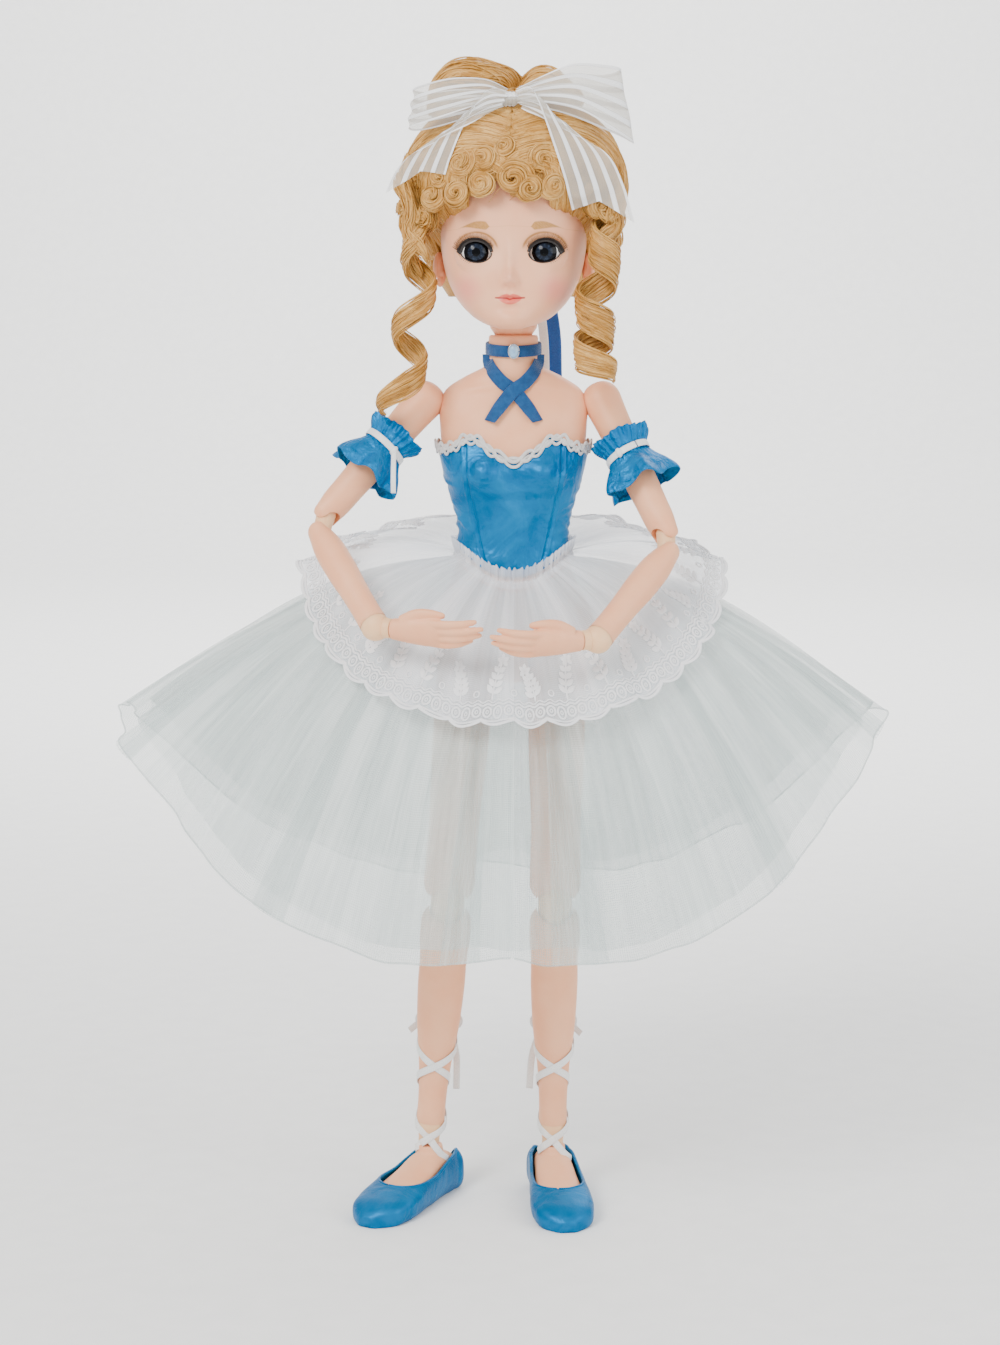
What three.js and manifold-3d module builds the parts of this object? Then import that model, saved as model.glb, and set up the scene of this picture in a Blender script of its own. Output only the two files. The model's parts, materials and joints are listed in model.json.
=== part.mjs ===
// A ball jointed doll dressed as a ballerina, standing with its arms rounded in front.
// Lengths are millimetres. Z points up, the doll faces -Y and its left side is +X.

import * as THREE from "three";
import { mergeVertices } from "three/addons/utils/BufferGeometryUtils.js";
import { ConvexGeometry } from "three/addons/geometries/ConvexGeometry.js";
import Module from "manifold-3d";

const wasm = await Module();
wasm.setup();

// Heights above the floor with the doll standing
const ANKLE_HEIGHT = 37;
const KNEE_HEIGHT = 158;
const HIP_HEIGHT = 300;

// Heights in the torso's own frame, which the legs carry at its hips
const TORSO_HIPS = 300;
const WAIST_HEIGHT = 352;
const SHOULDER_HEIGHT = 421;
const NECK_HEIGHT = 463;

// Distances from the middle of the body to the joints
const SHOULDER_OUT = 45.5;
const HIP_OUT = 23;

// Arm lengths, from joint to joint
const UPPER_ARM_LENGTH = 78;
const ELBOW_SPACING = 12;
const FOREARM_LENGTH = 66;
const KNEE_SPACING = 21;

// Fits
const JOINT_GAP = 0.3;
const PIN_GAP = 0.35;
const CLOTH_GAP = 0.45;
const OVERRUN = 2;
const WELD = 0.0001;
const FLATNESS = 0.15;

// Facets
const LIMB_SIDES = 10;
const BALL_SIDES = 10;
const BODY_BALL_SIDES = 16;
const LINK_SIDES = 8;
const PIN_SIDES = 8;
const TORSO_SIDES = 18;
const HEAD_SIDES = 16;
const HAIR_SIDES = 16;

// How the joints are set in the standing pose, in degrees
const ARM_POSES = {
  left: { swing: 23.7, raise: 23.7, turn: 67.8, upperBend: 24.1, lowerBend: 36.8, wrist: 40.2, hand: -62 },
  right: { swing: 20.9, raise: 39.4, turn: 66.9, upperBend: 28.2, lowerBend: 41.5, wrist: 45, hand: -62 },
};
const LEG_POSES = {
  left: { spread: -0.4, toeOut: 6 },
  right: { spread: 4.6, toeOut: 30 },
};
const HEAD_TURN = -3;

const SIDES = { left: 1, right: -1 };

// Directions of the joint axes
const SIDEWAYS = new THREE.Vector3(1, 0, 0);
const FORWARD_BEND = new THREE.Vector3(-1, 0, 0);
const BACKWARD_BEND = new THREE.Vector3(1, 0, 0);
const UPRIGHT = new THREE.Vector3(0, 0, 1);
const OUTWARD = { left: new THREE.Vector3(0, -1, 0), right: new THREE.Vector3(0, 1, 0) };
const INWARD_TURN = { left: new THREE.Vector3(0, 0, -1), right: new THREE.Vector3(0, 0, 1) };
const OUTWARD_TURN = { left: new THREE.Vector3(0, 0, 1), right: new THREE.Vector3(0, 0, -1) };

// Finishes
function finish(color, roughness, metalness = 0) {
  return new THREE.MeshStandardMaterial({ color, roughness, metalness });
}
const SKIN = finish(0xe6c8b2, 0.5);
const JOINT_PLASTIC = finish(0xecd6b8, 0.5);
const HAIR = finish(0xc8964b, 0.6);
const SATIN = finish(0x007dbe, 0.35);
const VELVET = finish(0x235591, 0.9);
const TULLE = finish(0xdfe6e8, 0.9);
const LACE = finish(0xf4f2ea, 0.9);
const WHITE_RIBBON = finish(0xf5f5f2, 0.5);
const GEM = finish(0xbfdcf0, 0.1);
const EYE = finish(0x10131c, 0.1);

// Small tools for solids
function vec(x, y, z) {
  return new THREE.Vector3(x, y, z);
}

function signedVolume(geometry) {
  const place = geometry.getAttribute("position");
  const index = geometry.index;
  const corners = [vec(0, 0, 0), vec(0, 0, 0), vec(0, 0, 0)];
  let volume = 0;
  for (let i = 0; i < index.count; i += 3) {
    corners.forEach((corner, k) => corner.fromBufferAttribute(place, index.getX(i + k)));
    volume += corners[0].dot(corners[1].clone().cross(corners[2]));
  }
  return volume;
}

// Turns a closed three.js geometry into a solid, with its faces outward
function solid(geometry) {
  const bare = new THREE.BufferGeometry();
  bare.setAttribute("position", geometry.getAttribute("position"));
  if (geometry.index) bare.setIndex(geometry.index);
  const welded = mergeVertices(bare, WELD);
  const corners = new Uint32Array(welded.index.array);
  if (signedVolume(welded) < 0) {
    for (let i = 0; i < corners.length; i += 3) {
      [corners[i], corners[i + 1]] = [corners[i + 1], corners[i]];
    }
  }
  const vertProperties = new Float32Array(welded.getAttribute("position").array);
  return new wasm.Manifold(new wasm.Mesh({ numProp: 3, vertProperties, triVerts: corners }));
}

function fuse(...solids) {
  return solids.reduce((sum, next) => sum.add(next));
}

function cut(body, ...tools) {
  return tools.reduce((rest, tool) => rest.subtract(tool), body);
}

// Back from a solid to a geometry that a mesh can show
function geometryOf(shape) {
  const { vertProperties, triVerts } = shape.simplify(FLATNESS).getMesh();
  const geometry = new THREE.BufferGeometry();
  geometry.setAttribute("position", new THREE.BufferAttribute(new Float32Array(vertProperties), 3));
  geometry.setIndex(new THREE.BufferAttribute(new Uint32Array(triVerts), 1));
  geometry.computeVertexNormals();
  return geometry;
}

// Skins a stack of rings and closes both ends
function loft(rings) {
  const count = rings[0].length;
  const points = rings.flat();
  const faces = [];
  for (let r = 0; r + 1 < rings.length; r += 1) {
    for (let i = 0; i < count; i += 1) {
      const next = (i + 1) % count;
      const low = r * count;
      const high = low + count;
      faces.push(low + i, low + next, high + next, low + i, high + next, high + i);
    }
  }
  const ends = [rings[0], rings[rings.length - 1]];
  ends.forEach((ring, which) => {
    const middle = ring.reduce((sum, p) => sum.add(p), vec(0, 0, 0)).divideScalar(count);
    const start = which === 0 ? 0 : (rings.length - 1) * count;
    points.push(middle);
    const hub = points.length - 1;
    for (let i = 0; i < count; i += 1) {
      const next = (i + 1) % count;
      if (which === 0) faces.push(hub, start + next, start + i);
      else faces.push(hub, start + i, start + next);
    }
  });
  return solid(indexed(points, faces));
}

// Skins closed profiles that go all the way round, so that the form is a ring
function ringLoft(profiles) {
  const count = profiles[0].length;
  const faces = [];
  for (let r = 0; r < profiles.length; r += 1) {
    const here = r * count;
    const there = ((r + 1) % profiles.length) * count;
    for (let i = 0; i < count; i += 1) {
      const next = (i + 1) % count;
      faces.push(here + i, here + next, there + next, here + i, there + next, there + i);
    }
  }
  return solid(indexed(profiles.flat(), faces));
}

function indexed(points, faces) {
  const geometry = new THREE.BufferGeometry().setFromPoints(points);
  geometry.setIndex(faces);
  return geometry;
}

// A rounded ring across the limb, with its own depth in front and behind
function oval({ z, x = 0, y = 0, wide, front, back = front, power = 2 }, sides = LIMB_SIDES) {
  const ring = [];
  const shape = 2 / power;
  for (let i = 0; i < sides; i += 1) {
    const angle = ((i + 0.5) / sides) * Math.PI * 2;
    const across = Math.cos(angle);
    const along = Math.sin(angle);
    const depth = along < 0 ? front : back;
    ring.push(vec(
      x + wide * Math.sign(across) * Math.abs(across) ** shape,
      y + depth * Math.sign(along) * Math.abs(along) ** shape,
      z,
    ));
  }
  return ring;
}

function ball(radius, centre, sides = BALL_SIDES) {
  const shape = new THREE.SphereGeometry(radius, sides, sides / 2);
  shape.rotateX(Math.PI / 2);
  shape.translate(centre.x, centre.y, centre.z);
  return solid(shape);
}

// The hollow that lets a faceted ball turn with its gap all round, or only about its upright axis
function socket(radius, centre, sides = BALL_SIDES, onlyUpright = false) {
  const facet = Math.cos(Math.PI / sides);
  return ball((radius + JOINT_GAP) / (onlyUpright ? facet : facet ** 2), centre, sides);
}

function rod(radius, from, to, sides = PIN_SIDES) {
  const along = to.clone().sub(from);
  const shape = new THREE.CylinderGeometry(radius, radius, along.length(), sides);
  shape.applyQuaternion(new THREE.Quaternion().setFromUnitVectors(vec(0, 1, 0), along.clone().normalize()));
  const middle = from.clone().add(to).divideScalar(2);
  shape.translate(middle.x, middle.y, middle.z);
  return solid(shape);
}

// The hole for a faceted pin
function bore(radius, from, to, sides = PIN_SIDES) {
  return rod((radius + PIN_GAP) / Math.cos(Math.PI / sides), from, to, sides);
}

// One convex form round several balls, for links and for the slots that they swing in
function hull(radius, centres, sides = LINK_SIDES) {
  const seed = new THREE.SphereGeometry(radius, sides, sides / 2).rotateX(Math.PI / 2);
  const place = seed.getAttribute("position");
  const points = [];
  for (const centre of centres) {
    for (let i = 0; i < place.count; i += 1) {
      points.push(new THREE.Vector3().fromBufferAttribute(place, i).add(centre));
    }
  }
  return solid(new ConvexGeometry(points));
}

// A tube of changing width along a smooth line
function taperedTube(points, radii, steps, sides, flat = 1) {
  const line = new THREE.CatmullRomCurve3(points);
  const frames = line.computeFrenetFrames(steps, false);
  const rings = [];
  for (let s = 0; s <= steps; s += 1) {
    const share = s / steps;
    const place = share * (radii.length - 1);
    const low = Math.min(Math.floor(place), radii.length - 2);
    const radius = THREE.MathUtils.lerp(radii[low], radii[low + 1], place - low);
    const centre = line.getPointAt(share);
    const ring = [];
    for (let i = 0; i < sides; i += 1) {
      const angle = (i / sides) * Math.PI * 2;
      ring.push(centre.clone()
        .addScaledVector(frames.normals[s], radius * Math.cos(angle))
        .addScaledVector(frames.binormals[s], radius * flat * Math.sin(angle)));
    }
    rings.push(ring);
  }
  return loft(rings);
}

// A flat ribbon of even width: places along it, and the direction of its width at each
function ribbon(places, acrosses, width, thickness) {
  const rings = places.map((place, i) => {
    const before = places[Math.max(i - 1, 0)];
    const after = places[Math.min(i + 1, places.length - 1)];
    const along = after.clone().sub(before).normalize();
    const across = acrosses[i].clone().normalize();
    const face = along.clone().cross(across).normalize();
    const halfWidth = width / 2;
    const halfThick = thickness / 2;
    return [[1, 1], [-1, 1], [-1, -1], [1, -1]].map(([a, f]) => place.clone()
      .addScaledVector(across, a * halfWidth)
      .addScaledVector(face, f * halfThick));
  });
  return loft(rings);
}

// The values between two rows of a table, by the height that each row starts with
function between(rows, z) {
  const above = rows.findIndex((row) => row[0] >= z);
  const high = above < 0 ? rows.length - 1 : Math.max(above, 1);
  const low = rows[high - 1];
  const share = THREE.MathUtils.clamp((z - low[0]) / (rows[high][0] - low[0]), 0, 1);
  return rows[high].map((value, i) => THREE.MathUtils.lerp(low[i], value, share));
}

function bump(x, centre, spread) {
  return Math.exp(-(((x - centre) / spread) ** 2));
}

// A group that turns about its own origin, as a joint does
function joint(parent, name, place, axis, setDegrees = 0) {
  const turning = new THREE.Group();
  turning.name = name;
  turning.position.copy(place);
  turning.quaternion.setFromAxisAngle(axis, THREE.MathUtils.degToRad(setDegrees));
  turning.userData.axis = axis.clone();
  parent.add(turning);
  return turning;
}

function piece(parent, name, shape, material) {
  const mesh = new THREE.Mesh(geometryOf(shape), material.clone());
  mesh.name = name;
  parent.add(mesh);
  return mesh;
}

// Rows of a round top, from its widest ring upwards
function domeRows(wide, deep, radius) {
  return [0, 32, 60, 82].map((degrees) => {
    const angle = THREE.MathUtils.degToRad(degrees);
    return [radius * Math.sin(angle), wide * Math.cos(angle), deep * Math.cos(angle)];
  });
}

// A limb's skin from rows of [height, half width, half depth in front, half depth behind]
function limbSkin(rows) {
  return loft(rows.map(([z, wide, front, back = front]) => oval({ z, wide, front, back })));
}

// The rounded end that a hinge pin goes through, as rows above or below the pin
function hingeEndRows(wide, deep, up) {
  const endAngles = [82, 48, 0];
  return endAngles.map((degrees) => {
    const angle = THREE.MathUtils.degToRad(degrees);
    return [up * deep * Math.sin(angle), wide * Math.cos(angle) ** 0.6, deep * Math.cos(angle)];
  });
}

// Double hinge, as in the elbow and the knee
function doubleHinge({ spacing, ballRadius, pinRadius, pinReach }) {
  const upper = vec(0, 0, 0);
  const lower = vec(0, 0, -spacing);
  const pins = [upper, lower].map((centre) => rod(
    pinRadius,
    centre.clone().addScaledVector(SIDEWAYS, -pinReach),
    centre.clone().addScaledVector(SIDEWAYS, pinReach),
  ));
  return fuse(hull(ballRadius, [upper, lower]), ...pins);
}

// Cuts the fork that a double hinge's link swings in
function hingeFork(limb, centre, down, bendSide, { spacing, ballRadius, pinRadius, bend, overBend, reach }) {
  const directions = [-overBend, 0, bend / 2, bend].map((degrees) => {
    const angle = THREE.MathUtils.degToRad(degrees);
    return centre.clone().add(vec(0, bendSide * reach * Math.sin(angle), down * reach * Math.cos(angle)));
  });
  const clear = (ballRadius + JOINT_GAP) / Math.cos(Math.PI / LINK_SIDES) ** 2;
  const hole = bore(
    pinRadius,
    centre.clone().addScaledVector(SIDEWAYS, -spacing * 2),
    centre.clone().addScaledVector(SIDEWAYS, spacing * 2),
  );
  return cut(limb, hull(clear, [centre, ...directions]), hole);
}

// An axle with an eye and a cross pin: it swings in the body, and the limb's cap rises on its pin
function eyeAxle(side, { eyeRadius, axleRadius, axleLength, headRadius, headLength, pinRadius, pinReach }) {
  const inner = vec(-side * axleLength, 0, 0);
  const headEnd = vec(-side * (axleLength + headLength), 0, 0);
  return fuse(
    ball(eyeRadius, vec(0, 0, 0), LINK_SIDES),
    rod(axleRadius, vec(0, 0, 0), inner),
    rod(headRadius, inner, headEnd, PIN_SIDES + 2),
    rod(pinRadius, vec(0, -pinReach, 0), vec(0, pinReach, 0)),
  );
}

// The hollow for such an axle in the body
function axleBore(side, place, { axleRadius, axleLength, headRadius, headLength }) {
  const gap = (length) => place.clone().addScaledVector(SIDEWAYS, -side * length);
  return fuse(
    bore(axleRadius, gap(0), gap(axleLength)),
    bore(headRadius, gap(axleLength - JOINT_GAP), gap(axleLength + headLength + JOINT_GAP), PIN_SIDES + 2),
  );
}

// The hollow for the eye in the cap, with the slot that the axle passes through as the limb rises
function eyeHollow(side, { eyeRadius, axleRadius, axleLength, pinRadius, pinReach }, least, most) {
  const clear = (axleRadius + JOINT_GAP) / Math.cos(Math.PI / PIN_SIDES) ** 2;
  const slot = [least, (least + most) / 2, most].map((degrees) => {
    const angle = THREE.MathUtils.degToRad(degrees);
    return vec(-side * axleLength * Math.cos(angle), 0, axleLength * Math.sin(angle));
  });
  return fuse(
    socket(eyeRadius, vec(0, 0, 0), LINK_SIDES),
    hull(clear, [vec(0, 0, 0), ...slot], PIN_SIDES),
    bore(pinRadius, vec(0, -pinReach - OVERRUN, 0), vec(0, pinReach + OVERRUN, 0)),
  );
}

// Ball with a slot and a pin above, and a neck and a peg below, as in the wrist and the ankle
function pinnedBall({ ballRadius, neckRadius, seam, pegRadius, pegLength, eyeRadius, eyeHalf, pinRadius, swing }) {
  const centre = vec(0, 0, 0);
  const slotRadius = eyeRadius + PIN_GAP;
  const slotHalf = eyeHalf + JOINT_GAP;
  const body = fuse(
    ball(ballRadius, centre),
    rod(neckRadius, centre, vec(0, 0, -seam), LIMB_SIDES),
    rod(pegRadius, vec(0, 0, -seam), vec(0, 0, -seam - pegLength)),
  );
  const angle = THREE.MathUtils.degToRad(swing);
  const reach = ballRadius * 2;
  const wedge = new THREE.Shape([
    new THREE.Vector2(-slotRadius, 0),
    new THREE.Vector2(0, -slotRadius),
    new THREE.Vector2(slotRadius, 0),
    new THREE.Vector2(slotRadius + reach * Math.sin(angle), reach * Math.cos(angle)),
    new THREE.Vector2(-slotRadius - reach * Math.sin(angle), reach * Math.cos(angle)),
  ]);
  const slot = new THREE.ExtrudeGeometry(wedge, { depth: slotHalf * 2, bevelEnabled: false });
  slot.translate(0, 0, -slotHalf);
  slot.applyMatrix4(new THREE.Matrix4().makeBasis(vec(0, 1, 0), vec(0, 0, 1), vec(1, 0, 0)));
  const pin = rod(pinRadius, vec(-slotHalf - OVERRUN, 0, 0), vec(slotHalf + OVERRUN, 0, 0));
  return fuse(cut(body, solid(slot), socketRod(slotRadius, slotHalf)), pin);
}

function socketRod(radius, half) {
  return rod(radius / Math.cos(Math.PI / LIMB_SIDES), vec(-half, 0, 0), vec(half, 0, 0), LIMB_SIDES);
}

// Cuts the cup for that ball at a limb's end and adds the eye that hangs on its pin
function pinnedCup(limb, centre, { ballRadius, eyeRadius, eyeHalf, pinRadius }) {
  const left = centre.clone().addScaledVector(SIDEWAYS, -eyeHalf);
  const right = centre.clone().addScaledVector(SIDEWAYS, eyeHalf);
  const below = socket(ballRadius, centre);
  const stemTop = centre.clone().add(vec(0, 0, ballRadius + OVERRUN));
  const stem = new THREE.BoxGeometry(eyeHalf * 2, eyeRadius, stemTop.z - centre.z);
  stem.translate(centre.x, centre.y, (stemTop.z + centre.z) / 2);
  const eye = fuse(rod(eyeRadius, left, right, LIMB_SIDES), solid(stem));
  const hole = bore(pinRadius, left.clone().addScaledVector(SIDEWAYS, -OVERRUN),
    right.clone().addScaledVector(SIDEWAYS, OVERRUN));
  return cut(fuse(cut(limb, below), eye), hole);
}

// Torso outline: rows of height, half width, depth in front, depth behind, squareness
const TORSO_ROWS = [
  [292, 38, 20, 27, 2.2],
  [305, 41.5, 23.5, 30, 2.2],
  [318, 38, 23, 27, 2.2],
  [332, 31, 20.5, 21, 2.2],
  [342, 28, 19, 17.5, 2.2],
  [352, 26.6, 18.5, 16.5, 2.2],
  [362, 27.5, 19.5, 17, 2.2],
  [372, 30.5, 22, 18, 2.3],
  [384, 34, 25, 18.5, 2.4],
  [396, 36.5, 23, 18.5, 2.4],
  [408, 37.6, 19.5, 18, 2.4],
  [420, 37.4, 16, 16.5, 2.4],
  [428, 33.5, 13.8, 15, 2.2],
  [434, 24, 13, 14, 2],
  [439, 14.5, 12.8, 13, 2],
  [444, 12.9, 12.6, 12.8, 2],
  [456, 12.9, 12.4, 12.8, 2],
];
const TORSO_DEPTH = 60;
const BUST = { out: 15.5, height: 386, spread: 9.5, rise: 6 };

function torsoAt(z) {
  const [, wide, front, back, power] = between(TORSO_ROWS, z);
  return { wide, front, back, power };
}

// A point on the torso's skin, or the given distance outside it
function torsoPoint(angle, z, offset = 0) {
  const { wide, front, back, power } = torsoAt(z);
  const shape = 2 / power;
  const across = Math.cos(angle);
  const along = Math.sin(angle);
  const depth = (along < 0 ? front : back) + offset;
  const x = (wide + offset) * Math.sign(across) * Math.abs(across) ** shape;
  let y = depth * Math.sign(along) * Math.abs(along) ** shape;
  if (along < 0) {
    const swell = bump(Math.abs(x), BUST.out, BUST.spread) * bump(z, BUST.height, BUST.spread);
    y -= BUST.rise * swell * Math.min(1, -along * 2);
  }
  return vec(x, y, z);
}

function torsoRing(z, sides = TORSO_SIDES, offset = 0) {
  return Array.from({ length: sides }, (_, i) => torsoPoint(((i + 0.5) / sides) * Math.PI * 2, z, offset));
}

// Joint sizes
const NECK_BALL = 12.8;
const WAIST_BALL = 15;
const SHOULDER = {
  capRadius: 10, eyeRadius: 4.2, axleRadius: 2.2, axleLength: 20, headRadius: 3.6, headLength: 3,
  pinRadius: 1.3, pinReach: 8.2,
};
const HIP = {
  capRadius: 15.5, eyeRadius: 6, axleRadius: 3, axleLength: 17.8, headRadius: 4.6, headLength: 2.6,
  pinRadius: 1.8, pinReach: 13,
};
const ELBOW = {
  spacing: ELBOW_SPACING, ballRadius: 5, pinRadius: 1.4, pinReach: 7.9, bend: 72, overBend: 14, reach: 14,
};
const KNEE = {
  spacing: KNEE_SPACING, ballRadius: 9.2, pinRadius: 2, pinReach: 12.6, bend: 68, overBend: 20, reach: 24,
};
const WRIST = {
  ballRadius: 7.2, neckRadius: 4.9, seam: 9.2, pegRadius: 2, pegLength: 6, eyeRadius: 3, eyeHalf: 1.3,
  pinRadius: 1.1, swing: 50,
};
const ANKLE = {
  ballRadius: 7.4, neckRadius: 5.6, seam: 9.6, pegRadius: 2.4, pegLength: 7, eyeRadius: 3.2, eyeHalf: 1.4,
  pinRadius: 1.2, swing: 50,
};

// Swivels: a peg on the cap that the limb turns about
const ARM_SWIVEL = { drop: 30, pegRadius: 3.2, pegLength: 10 };
const THIGH_SWIVEL = { drop: 36, pegRadius: 5, pegLength: 12 };

// Chest, waist and pelvis
const CHEST_BOTTOM = 363;
const PELVIS_TOP = 342;
const NECK_TOP = 454.6;

function makeChest() {
  const heights = TORSO_ROWS.map((row) => row[0]).filter((z) => z > CHEST_BOTTOM && z < NECK_TOP);
  const skin = loft([CHEST_BOTTOM, ...heights, NECK_TOP].map((z) => torsoRing(z)));
  const tools = Object.entries(SIDES).flatMap(([, side]) => {
    const place = vec(side * SHOULDER_OUT, 0, SHOULDER_HEIGHT);
    return [socket(SHOULDER.capRadius, place), axleBore(side, place, SHOULDER)];
  });
  return cut(
    skin,
    socket(NECK_BALL, vec(0, 0, NECK_HEIGHT), BODY_BALL_SIDES, true),
    socket(WAIST_BALL, vec(0, 0, WAIST_HEIGHT), BODY_BALL_SIDES),
    ...tools,
  );
}

function makePelvis() {
  const crotchDrop = 23;
  const heights = TORSO_ROWS.map((row) => row[0]).filter((z) => z < PELVIS_TOP);
  const crotch = oval({ z: TORSO_HIPS - crotchDrop, wide: 6, front: 13, back: 17 }, TORSO_SIDES);
  const skin = loft([crotch, ...[...heights, PELVIS_TOP].map((z) => torsoRing(z))]);
  const reach = 45;
  const clear = (HIP.capRadius + JOINT_GAP) / Math.cos(Math.PI / LINK_SIDES) ** 2;
  const tools = Object.entries(SIDES).flatMap(([, side]) => {
    const place = vec(side * HIP_OUT, 0, TORSO_HIPS);
    const forward = vec(0, -reach * Math.sin(1.25), -reach * Math.cos(1.25));
    const backward = vec(0, reach * Math.sin(0.4), -reach * Math.cos(0.4));
    const outward = vec(side * reach * Math.sin(0.7), 0, -reach * Math.cos(0.7));
    const both = forward.clone().add(outward);
    const ends = [forward, backward, outward, both, vec(0, 0, -reach)].map((end) => end.add(place));
    return [hull(clear, [place, ...ends]), axleBore(side, place, HIP)];
  });
  return cut(skin, socket(WAIST_BALL, vec(0, 0, WAIST_HEIGHT), BODY_BALL_SIDES, true), ...tools);
}

// Arms
function makeShoulderCap(side) {
  const { capRadius } = SHOULDER;
  const { drop, pegRadius, pegLength } = ARM_SWIVEL;
  const rows = [
    [-drop, 8.4, 8.8],
    [-drop * 0.7, 8.7, 9.1],
    [-drop * 0.3, 9.3, 9.5],
    ...domeRows(capRadius, capRadius, capRadius),
  ];
  const skin = limbSkin(rows);
  const hollow = eyeHollow(side, SHOULDER, -8, 72);
  const peg = rod(pegRadius, vec(0, 0, -drop + OVERRUN), vec(0, 0, -drop - pegLength), PIN_SIDES + 2);
  return fuse(cut(skin, hollow), peg);
}

function makeUpperArm() {
  const { drop, pegRadius, pegLength } = ARM_SWIVEL;
  const top = -drop - JOINT_GAP;
  const bottom = -UPPER_ARM_LENGTH;
  const span = top - bottom;
  const end = hingeEndRows(8.1, (ELBOW_SPACING - JOINT_GAP) / 2, -1);
  const rows = [
    ...end.map(([z, ...rest]) => [bottom + z, ...rest]),
    [bottom + span * 0.14, 8.2, 7.3],
    [bottom + span * 0.35, 8, 7.9],
    [bottom + span * 0.65, 8.1, 8.5],
    [top, 8.4, 8.8],
  ];
  const skin = limbSkin(rows);
  const hole = bore(pegRadius, vec(0, 0, top + OVERRUN), vec(0, 0, -drop - pegLength - JOINT_GAP), PIN_SIDES + 2);
  return hingeFork(cut(skin, hole), vec(0, 0, bottom), -1, -1, ELBOW);
}

function makeForearm() {
  const bottom = -FOREARM_LENGTH;
  const end = hingeEndRows(8.1, (ELBOW_SPACING - JOINT_GAP) / 2, 1).reverse();
  const rows = [
    [bottom + 1.6, 7.1, 7.1],
    [bottom - bottom * 0.12, 6.9, 6.9],
    [bottom - bottom * 0.35, 7.2, 7],
    [bottom - bottom * 0.62, 8.2, 7.9],
    [bottom - bottom * 0.86, 8.5, 7.5],
    ...end,
  ];
  const cup = pinnedCup(limbSkin(rows), vec(0, 0, bottom), WRIST);
  return hingeFork(cup, vec(0, 0, 0), 1, -1, ELBOW);
}

// The hand hangs from its seam, palm towards +X, thumb to the front
function makeHand(side) {
  const { seam, pegRadius, pegLength } = WRIST;
  const top = -seam - JOINT_GAP;
  const palmEnd = -34;
  const palm = loft([
    oval({ z: palmEnd, x: 0.8, y: 1, wide: 3.6, front: 8.2, back: 7.6 }),
    oval({ z: palmEnd + 7, x: 0.4, y: 0.6, wide: 4.4, front: 8.8, back: 7.8 }),
    oval({ z: palmEnd + 14, y: 0, wide: 4.9, front: 7.6, back: 6.8 }),
    oval({ z: top - 3, wide: 4.8, front: 5.8 }),
    oval({ z: top, wide: 4.9, front: 5.4 }),
  ]);
  const knuckle = palmEnd + 3;
  const fingerWidths = [2.3, 2.35, 2.3, 2.05];
  const fingerLengths = [22, 25, 23.5, 18.5];
  const fingers = fingerWidths.map((radius, i) => {
    const y = -5.9 + i * 4.2;
    const length = fingerLengths[i];
    return taperedTube(
      [
        vec(0.8, y, knuckle),
        vec(1.2, y * 1.02, knuckle - length * 0.35),
        vec(2.4, y * 1.0, knuckle - length * 0.7),
        vec(4.4, y * 0.94, knuckle - length),
      ],
      [radius, radius, radius * 0.92, radius * 0.62],
      3,
      5,
    );
  });
  const thumb = taperedTube(
    [vec(0.5, -5.5, -16), vec(2.2, -8.8, -23), vec(3.6, -9.2, -30), vec(4.6, -8.2, -36.5)],
    [3, 2.9, 2.4, 1.5],
    3,
    6,
  );
  const hole = bore(pegRadius, vec(0, 0, top + OVERRUN), vec(0, 0, -seam - pegLength - JOINT_GAP));
  const hand = cut(fuse(palm, ...fingers, thumb), hole);
  return side > 0 ? hand.mirror([1, 0, 0]) : hand;
}

// Satin ruffle round the upper arm: a gathered band with a frill above and a fuller one below
function makeArmBand() {
  const steps = 18;
  const limb = 8.8;
  const wall = 1.3;
  const middle = -34;
  const rows = [
    [9, 4.2, 1.1],
    [1, 0.9, 0.1],
    [-5, 2.6, 0.7],
    [-11, 5.8, 1.5],
  ];
  const profiles = Array.from({ length: steps }, (_, i) => {
    const angle = (i / steps) * Math.PI * 2;
    const wave = Math.cos(angle * 6);
    const outside = rows.map(([z, out, ruffle]) => [limb + CLOTH_GAP + wall + out + ruffle * wave, middle + z]);
    const inside = rows.map(([z, out, ruffle]) => [
      limb + CLOTH_GAP + (out > 1 ? out - 0.6 : 0) + ruffle * wave * (out > 1 ? 1 : 0), middle + z]).reverse();
    return [...outside, ...inside].map(([r, z]) => vec(r * Math.cos(angle), r * Math.sin(angle), z));
  });
  return ringLoft(profiles);
}

// Legs
function makeHipCap(side) {
  const { drop, pegRadius, pegLength } = THIGH_SWIVEL;
  const rows = [
    [-drop, 15, 15.4],
    [-drop * 0.5, 15.3, 15.8],
    ...domeRows(HIP.capRadius, HIP.capRadius, HIP.capRadius),
  ];
  const skin = limbSkin(rows);
  const hollow = eyeHollow(side, HIP, -12, 42);
  const peg = rod(pegRadius, vec(0, 0, -drop + OVERRUN), vec(0, 0, -drop - pegLength), PIN_SIDES + 2);
  return fuse(cut(skin, hollow), peg);
}

const UPPER_KNEE = HIP_HEIGHT - KNEE_HEIGHT - KNEE_SPACING / 2;
const SHIN_LENGTH = KNEE_HEIGHT - KNEE_SPACING / 2 - ANKLE_HEIGHT;

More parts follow.
